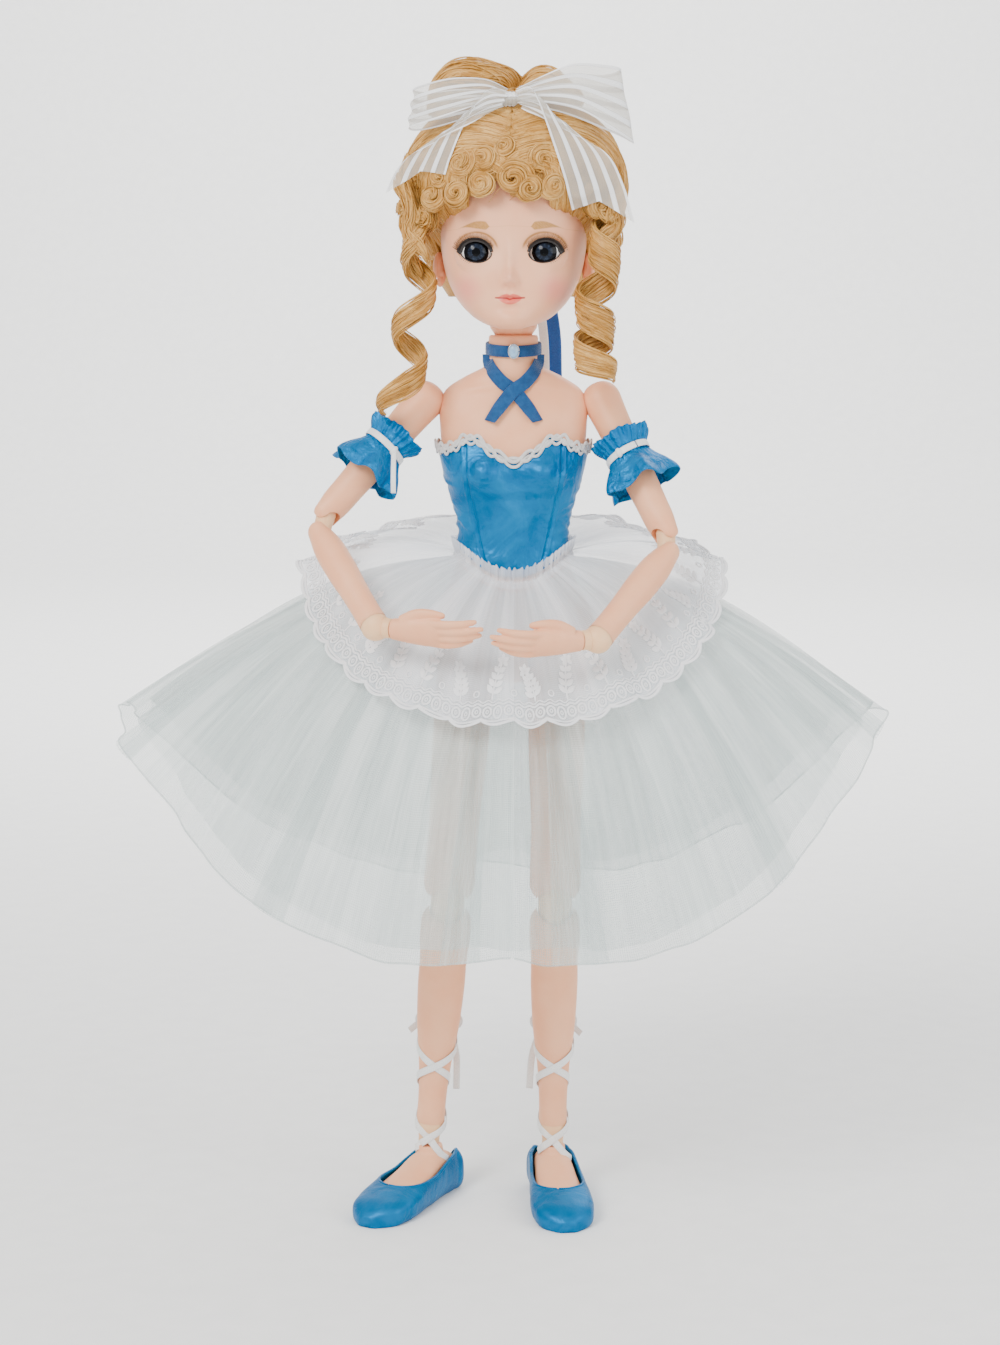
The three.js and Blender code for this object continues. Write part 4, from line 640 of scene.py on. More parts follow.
any_view = nodes.new("ShaderNodeMath")
any_view.operation = "MAXIMUM"
both = nodes.new("ShaderNodeMath")
both.operation = "MAXIMUM"
links.new(light_path.outputs["Is Camera Ray"], any_view.inputs[0])
links.new(light_path.outputs["Is Glossy Ray"], any_view.inputs[1])
links.new(any_view.outputs[0], both.inputs[0])
links.new(light_path.outputs["Is Transmission Ray"], both.inputs[1])
mixed = nodes.new("ShaderNodeMixShader")
links.new(both.outputs[0], mixed.inputs[0])
links.new(lit.outputs[0], mixed.inputs[1])
links.new(seen.outputs[0], mixed.inputs[2])
links.new(mixed.outputs[0], nodes.new("ShaderNodeOutputWorld").inputs[0])

floor_paint = Paint("floor", Roughness=0.8)
floor_place = floor_paint.make("ShaderNodeTexCoord").outputs["Object"]
floor_paint.place = floor_paint.vector(*floor_paint.split(floor_place))
floor_paint.set(Base_Color=floor_paint.ramp(
    floor_paint.noise(60, 3), (0.35, rgb(246, 246, 245)), (0.65, rgb(249, 249, 248))
))
FLOOR_FRONT, FLOOR_END, BEND, WALL_TOP, HALF_WIDTH = -4200, 3300, 900, 4000, 5000
turn_up = [(FLOOR_FRONT, 0), (FLOOR_END, 0)]
turn_up += [
    (FLOOR_END + BEND * math.sin(a), BEND - BEND * math.cos(a)) for a in np.linspace(0.1, math.pi / 2, 14)
]
turn_up.append((FLOOR_END + BEND, WALL_TOP))
sweep = [[(x, y, z) for x in (-HALF_WIDTH, HALF_WIDTH)] for y, z in turn_up]
backdrop = grid("backdrop", sweep, None, closed=False, frame_of=Matrix.Identity(4))
backdrop.data.materials.append(floor_paint.material)
backdrop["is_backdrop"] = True


# Materials
SKIN_LOOK = {
    "Roughness": 0.46, "Subsurface_Weight": 0.12, "Subsurface_Scale": 0.004,
    "Subsurface_Radius": (1.0, 0.45, 0.3), "Specular_IOR_Level": 0.42,
}


def skin_paint(name, base, warm):
    paint = Paint(name, **SKIN_LOOK)
    paint.local()
    paint.set(Base_Color=paint.ramp(paint.noise(0.06, 3), (0.3, base), (0.7, warm)),
        Roughness=paint.noise(0.5, 2) * 0.1 + 0.42,
    )
    paint.relief((paint.noise(2.6, 2), 0.05))
    return paint


skin = skin_paint("skin", rgb(243, 179, 138), rgb(239, 168, 126)).material
joint_skin = skin_paint("joint_skin", rgb(243, 198, 152), rgb(238, 188, 140)).material


def plain_paint(name, a, b, scale, bump_mm=0.05, detail=3, rough=0.5, **values):
    """One tone clouded between two colours."""
    paint = Paint(name, **values)
    paint.local()
    cloud = paint.noise(scale, detail, rough)
    paint.set(Base_Color=paint.ramp(cloud, (0.3, a), (0.7, b)))
    if bump_mm:
        paint.relief((cloud, bump_mm))
    return paint.material


def satin_paint(name, deep, light, wrinkle=0.05, crease=2.4):
    """Woven satin: long fine threads, a broad soft shine and shallow creases."""
    paint = Paint(name, Roughness=0.36, Metallic=0.4, Specular_IOR_Level=0.08)
    x, y, z = paint.local()
    threads = paint.noise(1.0, 2, 0.6, paint.vector(x * 7, y * 7, z * 0.9))
    creases = paint.noise(wrinkle, 3, 0.55, swirl=0.8)
    fine = paint.noise(wrinkle * 4, 2, 0.5, swirl=0.4)
    # The threads' tone is the cloth's own; the creases' height also darkens their hollows as painted shade
    # and lightens their crests as painted highlight
    tone = threads * 0.25 + creases * 0.75
    paint.set(Base_Color=paint.ramp(tone, (0.3, deep), (0.7, light)), Roughness=threads * 0.14 + 0.3)
    paint.relief((creases, crease), (fine, crease * 0.2), (threads, 0.06))
    return paint.material


bodice_satin = satin_paint("bodice_satin", rgb(0, 84, 138), rgb(0, 124, 182))
slipper_satin = satin_paint("slipper_satin", rgb(0, 86, 136), rgb(0, 112, 168), 0.06, 1.0)
band_satin = satin_paint("band_satin", rgb(0, 90, 146), rgb(0, 128, 190), 0.11)


def velvet_paint():
    paint = Paint(
        "velvet", Roughness=0.85, Sheen_Weight=0.35, Sheen_Roughness=0.35, Specular_IOR_Level=0.25
    )
    paint.local()
    pile = paint.noise(5, 3, 0.7)
    brushed = paint.noise(0.35, 3)
    paint.set(Base_Color=paint.ramp(
        pile * 0.4 + brushed * 0.6, (0.35, rgb(20, 64, 112)), (0.68, rgb(38, 86, 138))
    ))
    paint.relief((pile, 0.2))
    return paint.material


def satin_ribbon_paint(name, deep, light):
    """Ribbed ribbon satin; u runs across it, in millimetres."""
    paint = Paint(name, Roughness=0.42, Specular_IOR_Level=0.5)
    u, v = paint.uv()
    ribs = paint.noise(1, 2, 0.5, paint.vector(u * 4, v * 1.2))
    paint.set(Base_Color=paint.ramp(ribs, (0.3, deep), (0.7, light)), Roughness=ribs * 0.2 + 0.34)
    paint.relief((ribs, 0.08))
    return paint.material


velvet = velvet_paint()
white_ribbon = satin_ribbon_paint("white_ribbon", rgb(222, 222, 220), rgb(240, 240, 238))
blue_ribbon = satin_ribbon_paint("blue_ribbon", rgb(0, 66, 138), rgb(14, 90, 170))


def edging_paint():
    """Cotton rickrack: twisted threads."""
    paint = Paint("white_edging", Roughness=0.8)
    x, _, z = paint.local()
    twist = ((x + z) * 9).sin() * 0.5 + 0.5
    fluff = paint.noise(2.5, 3)
    paint.set(Base_Color=paint.ramp(
        fluff * 0.6 + twist * 0.4, (0.2, rgb(214, 212, 210)), (0.8, rgb(240, 239, 237))
    ))
    paint.relief((twist, 0.25), (fluff, 0.2))
    return paint.material


white_edging = edging_paint()


# Limbs: one smooth skin each, hollowed for its joint
def dome(wide, deep, radius, up, base, count=12):
    """Rings of a rounded limb end, from its widest place outwards."""
    return [
        (base + up * radius * math.sin(a), wide * math.cos(a) ** 0.8, deep * math.cos(a) ** 0.9)
        for a in np.linspace(0, 1.5, count)
    ]


def limb(name, rows, body, lower=None, upper=None, sides=48, step=1.5):
    """A limb from rows of height, half width, depth in front and depth behind, with round ends."""
    z = np.arange(rows[0][0], rows[-1][0] + step, step)
    z = np.clip(z, rows[0][0], rows[-1][0])
    middle = lookup([(r[0], r[1], r[2], r[3] if len(r) > 3 else r[2]) for r in rows], z)
    rings = [ring(h, w, f, b, sides=sides) for h, w, f, b in middle]
    if lower:
        rings = [ring(h, w, d, sides=sides) for h, w, d in dome(*lower, -1, rows[0][0])[:0:-1]] + rings
    if upper:
        rings += [ring(h, w, d, sides=sides) for h, w, d in dome(*upper, 1, rows[-1][0])[1:]]
    obj = grid(name, rings, body, caps=BOTH_ENDS)
    obj["made_in"] = body
    return obj


def bare(obj, body, node):
    """Gives a piece of the doll's body its skin."""
    return dress(obj, skin, body, [node])


def body_node(body):
    """The CAD node of a body of one side: its name with the side last."""
    side, kind = body.split("_", 1)
    return kind + "_" + side


def fork(body, z, down, bend_side, ball, bend, over, reach):
    """The slot at a limb's end in which the hinge's link swings; down is -1 where the slot opens below."""
    ends = [(0, 0, z)]
    for degrees in (-over, 0, bend / 2, bend):
        a = math.radians(degrees)
        ends.append((0, bend_side * reach * math.sin(a), z + down * reach * math.cos(a)))
    return hull_object(ends, ball, frames[body])


def link(name, body, spacing, ball, pin, reach):
    """The connecting piece of a double hinge: a waisted bar with round ends and a pin through each."""
    balls = dict(wide=ball, deep=ball, high=ball, sides=32)
    rings = ball_rings((0, 0, 0), angles=np.linspace(1.5, 0.1, 10), **balls)
    for t in np.linspace(0, 1, 9):
        r = ball - 0.35 * math.sin(math.pi * t)
        rings.append(ring(-spacing * t, r, r, sides=32))
    rings += ball_rings((0, 0, -spacing), angles=np.linspace(-0.1, -1.5, 10), **balls)
    parts = [grid(name, rings, body, caps=BOTH_ENDS, flip=True)]
    edge = 0.3
    profile = [(-reach, pin * 0.7), (-reach + edge, pin), (reach - edge, pin), (reach, pin * 0.7)]
    for z in (0, -spacing):
        rows = [[(x, r * math.cos(a), z + r * math.sin(a)) for a in circle(20)] for x, r in profile]
        parts.append(grid(name + "_pin", rows, body, caps=BOTH_ENDS))
    return dress(join(name, parts), joint_skin, body, [body_node(body)])


def jointed_ball(name, body, radius, neck, seam, half):
    """A ball with a slot above for the limb's eye, a neck and a rim below."""
    rings = ball_rings((0, 0, 0), radius, radius, radius, np.linspace(1.52, -0.82, 22), 40)
    low = -radius * math.sin(0.82)
    for z, r in ((low - 0.6, neck + 0.25), (low - 1.4, neck), (-seam + 0.4, neck), (-seam, neck - 0.2)):
        rings.append(ring(z, r, r, sides=40))
    obj = grid(name, rings, body, caps=BOTH_ENDS, flip=True)
    obj["made_in"] = body
    slot = [(x * half, y * 9, z) for x in (-1, 1) for y, z in ((0, 0), (1, 9), (-1, 9))]
    carve(obj, [hull_object(slot, 0.5, frames[body])])
    return dress(obj, joint_skin, body, [body_node(body + "_ball")])


def hand(name, side):
    """An open hand: palm, four fingers side by side and a thumb, melted into one skin."""
    body = name + "_hand"
    parts = []

    def tube(points, radii, flat=0.9):
        rows = along_curve([(-side * x, y, z, r) for (x, y, z), r in zip(points, radii)], 22)
        line, radius = rows[:, :3], rows[:, 3]
        rings = swept(line, radius, radius * flat, (1, 0, 0), sides=16)
        tip = line[-1] + unit(line[-1] - line[-2]) * radius[-1] * 0.7
        rings = np.concatenate([rings, ((rings[-1] - line[-1]) * 0.62 + tip)[None]])
        parts.append(grid("finger", rings, body, caps=BOTH_ENDS))

    palm = [
        ring(z, wide, front, back, x=-side * x, y=y) for z, wide, front, back, x, y in (
            (-9.5, 4.9, 5.4, 5.4, 0, 0), (-13, 4.8, 5.9, 5.9, 0, 0), (-20, 4.9, 7.4, 6.8, 0, 0),
            (-27, 4.2, 8.2, 7.2, 0.4, 0.6), (-32, 3.3, 7.9, 7.0, 0.8, 0.8),
            (-34.5, 2.2, 6.9, 6.2, 0.9, 0.7), (-35.8, 0.9, 4.8, 4.2, 0.9, 0.6),
        )
    ]
    parts.append(grid("palm", palm, body, caps=BOTH_ENDS, flip=True))
    lengths, widths = (22, 25, 23.5, 18.5), (2.05, 2.1, 2.05, 1.85)
    for i, (length, r) in enumerate(zip(lengths, widths)):
        y, k = -5.6 + i * 4.0, -29
        tube(
            [
                (0.6, y, k), (0.9, y * 1.03, k - 2 - length * 0.3),
                (2.9, y * 1.02, k - length * 0.68 - 1.6), (6.6, y * 0.95, k - length - 1.0)
            ],
            (r, r * 1.02, r * 0.92, r * 0.66),
        )
    tube([(0.5, -5, -15), (2.2, -8.6, -22.5), (3.5, -9.2, -29.5), (4.5, -8.2, -36)], (3, 2.9, 2.4, 1.7))
    obj = join("hand_skin_" + name, parts)
    obj["made_in"] = body
    fuse_smooth(obj, 0.55, 5)
    return bare(obj, body, body_node(body))


# Height, half width, depth ahead and behind, and how square the outline is
TORSO_ROWS = [
    (277, 6, 13, 17, 2), (292, 38, 20, 27, 2.2), (305, 41.5, 23.5, 30, 2.2), (318, 38, 23, 27, 2.2),
    (332, 31, 20.5, 21, 2.2),
    (342, 28, 19, 17.5, 2.2), (352, 26.6, 18.5, 16.5, 2.2), (362, 27.5, 19.5, 17, 2.2),
    (372, 30.5, 22, 18, 2.3),
    (384, 34, 25, 18.5, 2.4), (396, 36.5, 23, 18.5, 2.4), (408, 37.6, 19.5, 18, 2.4),
    (420, 37.4, 16, 16.5, 2.4),
    (428, 33.5, 13.8, 15, 2.2), (434, 24, 13, 14, 2), (439, 14.5, 12.8, 13, 2), (444, 12.9, 12.6, 12.8, 2),
    (456, 12.9, 12.4, 12.8, 2),
]


def torso_point(angle, z, offset=0.0):
    """Points on the torso's skin, or that far outside it; angle may be an array."""
    angle, z, offset = np.broadcast_arrays(
        np.asarray(angle, float), np.asarray(z, float), np.asarray(offset, float)
    )
    row = lookup(TORSO_ROWS, z)
    wide, front, back, square = (row[..., k] for k in (1, 2, 3, 4))
    c, s = np.cos(angle), np.sin(angle)
    shape = 2 / square
    x = (wide + offset) * power(c, shape)
    y = (np.where(s < 0, front, back) + offset) * power(s, shape)
    ahead = np.clip(-s * 2, 0, 1)
    bust = 6 * bump(np.abs(x), 15.5, 9.5) * bump(z, 386, 9.5) * ahead
    collar = 0.9 * bump(z, 430.5 - np.abs(x) * 0.13, 1.7) * bump(np.abs(x), 17, 11) * ahead
    notch = 1.0 * bump(x, 0, 3) * bump(z, 430, 4) * ahead
    blades = 1.0 * bump(np.abs(x), 17, 9) * bump(z, 408, 12) * np.clip(s * 2, 0, 1)
    spine = 0.9 * bump(x, 0, 4) * bump(z, 395, 30) * np.clip(s * 2, 0, 1)
    y = y - bust - collar + notch + blades - spine
    return np.stack([x, y, z], axis=-1)


def torso_skin(heights, outs=0.0):
    return [torso_point(circle(88), z, out) for z, out in np.broadcast(heights, outs)]


NECK_EDGE = ((453.2, -0.1), (454.1, -0.45), (454.6, -1.1))
rows = torso_skin(np.arange(363, 452.3, 1.25)) + torso_skin(*zip(*NECK_EDGE))
chest = grid("chest_skin", rows, "chest", caps=BOTH_ENDS)
chest["made_in"] = "chest"
cutters = [hull_object([(s * SHOULDER_X, 0, SHOULDER_Z)], 10.3, torso) for s in (-1, 1)]
cutters.append(hull_object([(0, 0, NECK), (0, 0, NECK + 17)], NECK_SOCKET, torso))
carve(chest, cutters)
bare(chest, "chest", "chest")

rows = torso_skin(np.concatenate([[277, 281, 285, 289], np.arange(292, 342.5, 1.5)]))
pelvis = grid("pelvis_skin", rows, "pelvis", caps=BOTH_ENDS)
pelvis["made_in"] = "pelvis"
# The hip sockets are open where the thigh swings to: forwards, backwards, outwards and between
LEG_WAYS = ((0, -0.95, -0.315), (0, 0.389, -0.921), (0.644, 0, -0.765), (0.5, -0.75, -0.6), (0, 0, -1))
LEG_ROOM = 45
cutters = []
for side in SIDES.values():
    ends = [(side * HIP_X, 0, HIP_Z)]
    for x, y, z in LEG_WAYS:
        ends.append((side * HIP_X + side * x * LEG_ROOM, y * LEG_ROOM, HIP_Z + z * LEG_ROOM))
    cutters.append(hull_object(ends, 15.9, torso))
carve(pelvis, cutters)
bare(pelvis, "pelvis", "pelvis")


def limb_piece(kind, name, rows, cutters=(), **ends):
    """One bare piece of an arm or a leg, hollowed for its joints."""
    body = name + "_" + kind
    obj = limb(kind + "_skin_" + name, rows, body, **ends)
    if cutters:
        carve(obj, cutters)
    return bare(obj, body, body_node(body))


def pocket(body, depth, radius):
    """The round hollow at a limb's end that a ball sits in."""
    return hull_object([(0, 0, -depth)], radius, frames[body])


ELBOW_END, KNEE_END = (8.1, 5.85, 5.85), (13.2, 10.35, 10.35)
# Height over the ankle, half width, depth ahead and behind
CALF = [
    (1.6, 7.5, 7.5, 7.5), (11, 7.4, 7.5, 7.6), (31, 8.4, 8.4, 9.2), (55, 11.2, 10.4, 13),
    (77, 12.4, 11, 14.4),
    (95, 12.6, 10.8, 12), (100.4, *KNEE_END), (SHIN, *KNEE_END),
]
for name, side in SIDES.items():
    rows = [(-30, 8.4, 8.8), (-21, 8.7, 9.1), (-9, 9.3, 9.5), (0, 10, 10)]
    limb_piece("shoulder_cap", name, rows, upper=(10, 10, 10))
    rows = [(-UPPER_ARM, 8.1, 5.85), (-71.3, 8.2, 7.3), (-61.3, 8, 7.9), (-47, 8.1, 8.5), (-30.3, 8.4, 8.8)]
    cutters = [fork(name + "_upper_arm", -UPPER_ARM, -1, -1, *ARM_FORK)]
    limb_piece("upper_arm", name, rows, cutters, lower=ELBOW_END)
    link("elbow_link_" + name, name + "_elbow_joint", ELBOW_LINK, 5, 1.4, 7.9)
    rows = [
        (-64.4, 7.1, 7.1), (-58, 6.9, 6.9), (-43, 7.2, 7), (-25, 8.2, 7.9), (-9.2, 8.5, 7.5), (0, 8.1, 5.85)
    ]
    body = name + "_forearm"
    cutters = [fork(body, 0, 1, -1, *ARM_FORK), pocket(body, FOREARM, 7.45)]
    limb_piece("forearm", name, rows, cutters, upper=ELBOW_END)
    jointed_ball("wrist_" + name, name + "_wrist", 7.2, 4.9, 9.2, 1.5)
    hand(name, side)

    limb_piece(
        "hip_cap", name, [(-36, 15, 15.4), (-18, 15.3, 15.8), (0, 15.5, 15.5)], upper=(15.5, 15.5, 15.5)
    )
    rows = [
        (-THIGH, 13.4, 10.35), (-120, 13.2, 11.8), (-103, 13, 12.4), (-69.5, 14.2, 14.2), (-36.3, 15, 15.4)
    ]
    cutters = [fork(name + "_thigh", -THIGH, -1, 1, *LEG_FORK)]
    limb_piece("thigh", name, rows, cutters, lower=(13.4, 10.35, 10.35))
    link("knee_link_" + name, name + "_knee_joint", KNEE_LINK, 9.2, 2, 12.6)
    body = name + "_shin"
    cutters = [fork(body, 0, 1, 1, *LEG_FORK), pocket(body, SHIN, 7.65)]
    limb_piece("shin", name, [(z - SHIN, *sizes) for z, *sizes in CALF], cutters, upper=KNEE_END)
    jointed_ball("ankle_" + name, name + "_ankle", 7.4, 5.6, 9.6, 1.6)

for node in (
    "neck_ball", "waist_ball", "head_cap", "shoulder_joint_left", "shoulder_joint_right", "hip_joint_left",
    "hip_joint_right"
):
    kept = frame["nodes"][node]
    kept.data.materials.clear()
    kept.data.materials.append(skin if node in ("neck_ball", "head_cap") else joint_skin)


# Feet and slippers share one outline
# Place along the foot from the toes, half width and height of its back
FOOT_ROWS = [
    (-61, 1.5, 3), (-59, 4.5, 5), (-54, 10, 8), (-45, 13, 10.5), (-32, 13.2, 14), (-18, 11.4, 18.5),
    (-6, 10.2, 23), (6, 9.6, 22), (14, 8, 17), (17, 3.5, 9),
]


def foot_ring(y, wide, top, grow, floor, angles):
    """Points round a foot at one place along it; the angle runs from the middle of the sole."""
    wide, top = wide + grow, top + grow
    half = (top - floor + 2.4) / 2
    x = wide * power(np.sin(angles), 0.8)
    z = floor - 2.4 + half * (1 - power(np.cos(angles), 0.62))
    return np.column_stack([x, np.full(len(angles), y), np.maximum(z, floor)])


def away(y, grow):
    """A place along the foot, moved outwards from its middle."""
    return y + grow * (1 if y > -21 else -1)


def foot_rings(grow, floor, angles_at, count=60):
    y = np.concatenate([
        np.linspace(-61, -54, 12, endpoint=False), np.linspace(-54, 14, count), np.linspace(14, 17, 8)[1:]
    ])
    return [
        foot_ring(away(y, grow), max(wide, 0.5), top, grow, floor, angles_at(y))
        for y, wide, top in lookup(FOOT_ROWS, y)
    ]


for name, side in SIDES.items():
    body = name + "_foot"
    whole = np.linspace(-math.pi, math.pi, 48, endpoint=False)
    instep = [ring(8, 7, 9, 11, y=1), ring(17, 7.4, 8.6, 9.4), ring(24, 6.7, 7.1), ring(27, 6.5, 6.7)]
    foot = join("foot_skin_" + name, [
        grid("foot", foot_rings(0, 2.3, lambda y: whole), body, caps=BOTH_ENDS),
        grid("ankle", instep, body, caps=BOTH_ENDS),
    ])
    foot["made_in"] = body
    fuse_smooth(foot, 0.8, 5)
    bare(foot, body, body_node(body))

    def opened(y):
        """Round the foot from rim to rim: closed over the toes, open over the instep and the ankle."""
        t = np.clip((y + 37) / 53, 0, 1)
        gap = 1.3 * (4 * t * (1 - t)) ** 0.6 if 0 < t < 1 else 0
        return np.linspace(-math.pi + gap, math.pi - gap, 49)

    rows = foot_rings(2.15, 0.7, opened, 84)
    rows = [np.tile(rows[0].mean(0), (49, 1))] + rows + [np.tile(rows[-1].mean(0), (49, 1))]
    shell = grid("slipper_cloth_" + name, rows, body, closed=False)
    with editing(shell.data) as bm:
        bmesh.ops.remove_doubles(bm, verts=bm.verts, dist=0.05 * MM)
    thicken(shell, 1.3, 0)
    dress(shell, slipper_satin, body, ["slipper_" + name])
    rim = [(r[0], r[-1]) for r in rows if np.linalg.norm(r[0] - r[-1]) > 0.3]
    loop = [a for a, _ in rim] + [b for _, b in reversed(rim)]
    line = along_curve(loop + [loop[0]], 140)
    edging = cord("slipper_edge_" + name, line, 0.95, 0.95, (0, 0, 1), body, looped=True)
    dress(edging, slipper_satin, body)

    # The seam round the sole, up one side and down the other
    stitch = [
        foot_ring(away(y, 2.2), max(wide, 0.5), top, 2.35, 0.6, np.array([s * 1.15]))[0]
        for s in (-1, 1) for y, wide, top in lookup(FOOT_ROWS, np.linspace(-60.5, 16.5, 60))[::s]
    ]
    line = along_curve(stitch, 170)
    sole_line = cord("sole_edge_" + name, line, 0.5, 0.5, (0, 0, 1), body, sides=8)
    dress(sole_line, slipper_satin, body)


# Head: skull outline with a face in relief, in the torso's coordinates
# Height, half width, depth ahead and behind, and how square the outline is
HEAD_ROWS = [
    (458, 5.5, 36.5, -25, 2), (459.5, 11, 38, -10, 2), (462, 17, 38.6, 14, 2.1), (466, 22.5, 38.5, 24, 2.1),
    (471, 27.2, 38.2, 31, 2.2),
    (478, 31.4, 38, 36, 2.2), (487, 34.8, 38, 39.5, 2.2), (496, 36.5, 37.6, 42, 2.2),
    (506, 37.2, 37.8, 43.4, 2.2), (517, 37, 37, 43.4, 2.2),
    (528, 35.6, 34.4, 41.6, 2.2), (538, 32, 29.6, 37.6, 2.1), (547, 25, 22, 30, 2), (553, 15, 13, 19, 2),
    (556, 4, 4, 6, 2),
]
EYE = {"x": 17.0, "y": -25.6, "z": 495.6, "radius": 10.2}
ALMOND = {"wide": 7.9, "above": 5.9, "below": 4.9}


def eye_edge(a):
    """The eye's opening as offsets from its middle; its inner corner is at half a turn."""
    high = np.where(np.sin(a) > 0, ALMOND["above"], ALMOND["below"])
    return ALMOND["wide"] * np.cos(a), high * power(np.sin(a), 1.12) + 0.5 * np.cos(a)


# The face's relief: how far it rises, how far from the middle and how broad, at which height and how tall
FACE_RELIEF = [
    (5.9, 0, 3.1, NOSE_Z, 4.4), (2.3, 0, 2.7, 492, 8),  # the nose's tip and bridge
    (1.5, 3.5, 1.7, 481.3, 2.3), (-0.9, 1.9, 1, 478.9, 0.9),  # its wings and nostrils
    (1.5, 2.1, 2.5, 475, 1.3), (1.9, 0, 4, 471.3, 1.5),  # the lips
    (-0.8, 0, 5.2, 473.1, 0.55), (-0.4, 0, 1.2, 477.6, 1.8),  # the line between them, the groove above
    (1.7, 0, 6.5, 463, 3.4), (-0.9, 0, 6, 467.8, 1.6),  # the chin and the hollow over it
    (1.5, 19, 9, 480, 9), (-2.2, 16, 9, 498, 7),  # the cheeks and the eye sockets
]


def face_depth(x, z):
    """How far the face's skin lies in front of the neck's axis."""
    _, wide, front, back, square = np.moveaxis(lookup(HEAD_ROWS, z), -1, 0)
    share = np.clip(1 - (np.abs(x) / wide) ** square, 0, 1) ** (1 / square)
    deep = (back + front) / 2 * share - (back - front) / 2
    ax = np.abs(x)
    for rise, off, broad, height, tall in FACE_RELIEF:
        deep = deep + rise * bump(ax, off, broad) * bump(z, height, tall)
    dx, dz = ax - EYE["x"], z - EYE["z"]
    lid = np.sqrt(np.maximum((EYE["radius"] + 1.0) ** 2 - dx**2 - dz**2, 0)) - EYE["y"]
    lid = np.where(dx**2 + dz**2 < (EYE["radius"] + 0.9) ** 2, lid, -99)
    soft = 1.6
    gap = np.clip((lid - deep) / soft, -12, 12)
    deep = deep + soft * np.log1p(np.exp(gap)) - soft * np.log(2) * 0.25
    crease = bump(np.sqrt(dx**2 * 0.72 + dz**2), 8.7, 0.6) * np.clip((dz - 1.5) / 2, 0, 1)
    return deep - 0.5 * crease


def head_rows(sides=300, step=0.55):
    even = circle(sides)
    angle = even + 0.3 * np.sin(2 * even)
    c, s = np.cos(angle), np.sin(angle)
    rows = []
    for z in np.concatenate([
        np.arange(458, 464, 0.15), np.arange(464, 500, step), np.arange(500, 540, 0.9)
    ]):
        _, wide, front, back, square = lookup(HEAD_ROWS, z)
        x = wide * power(c, 2 / square)
        y = (back - front) / 2 + (back + front) / 2 * power(s, 2 / square)
        rows.append(np.column_stack([x, y, np.full(sides, z)]))
    rows = np.array(rows)
    ahead = np.clip(-s * 1.6, 0, 1)[None, :]
    x, z = rows[..., 0], rows[..., 2]
    rows[..., 1] = np.where(
        s[None, :] < 0, rows[..., 1] * (1 - ahead) - face_depth(x, z) * ahead, rows[..., 1]
    )
    off_axis = np.hypot(rows[..., 0], rows[..., 1])
    rows[..., 2] = np.where(
        off_axis < NECK_SOCKET, NECK + np.sqrt(np.maximum(NECK_SOCKET**2 - off_axis**2, 0)), rows[..., 2]
    )
    return rows


rows = head_rows()
hidden = np.zeros(rows.shape[:2], bool)
for side in (-1, 1):
    dx, dz = rows[..., 0] * side - EYE["x"], rows[..., 2] - EYE["z"]
    a = np.arctan2(
        (dz - 0.5 * dx / ALMOND["wide"]) / np.where(dz > 0, ALMOND["above"], ALMOND["below"]),
        dx / ALMOND["wide"]
    )
    ex, ez = eye_edge(a)
    inside = (dx**2 + dz**2 < ex**2 + ez**2) & (rows[..., 1] < -10)
    near = np.zeros_like(inside)
    for r, c in ((1, 0), (-1, 0), (0, 1), (0, -1), (1, 1), (-1, -1), (1, -1), (-1, 1)):
        near |= np.roll(np.roll(~inside, r, 0), c, 1)
    edge = inside & near
    rows[edge, 0] = side * (EYE["x"] + ex[edge])
    rows[edge, 2] = EYE["z"] + ez[edge]
    rows[edge, 1] = -face_depth(rows[edge, 0], rows[edge, 2])
    hidden |= inside & ~edge

head_skin = grid("head_skin", rows, "head", caps=(True, False))
to_row = Matrix.Scale(MM, 4) @ head
to_own = to_row.inverted()
hidden = hidden.ravel()
with editing(head_skin.data) as bm:
    gone = [f for f in bm.faces if any(v.index < len(hidden) and hidden[v.index] for v in f.verts)]
    bmesh.ops.delete(bm, geom=gone, context="FACES")
    bmesh.ops.delete(bm, geom=[v for v in bm.verts if not v.link_faces], context="VERTS")
    # The skull is cut where its cap begins
    split_at = to_row @ Vector((0, 6, 511.85))
    split_normal = head.to_3x3() @ Vector((0, math.sin(0.5), math.cos(0.5)))
    everything = bm.verts[:] + bm.edges[:] + bm.faces[:]
    bmesh.ops.bisect_plane(bm, geom=everything, plane_co=split_at, plane_no=split_normal, clear_outer=True)
    # The rims of the eye openings get a wall inwards
    rims = []
    for e in bm.edges:
        place = to_own @ e.verts[0].co
        if e.is_boundary and place.y < -20 and place.z < 512:
            rims.append(e)
    wall = bmesh.ops.extrude_edge_only(bm, edges=rims)["geom"]
    inward = head.to_3x3() @ Vector((0, 2.2 * MM, 0))
    bmesh.ops.translate(bm, vec=inward, verts=[v for v in wall if isinstance(v, bmesh.types.BMVert)])
    bmesh.ops.recalc_face_normals(bm, faces=bm.faces)
relocal(head_skin, head)
smooth_faces(head_skin.data)


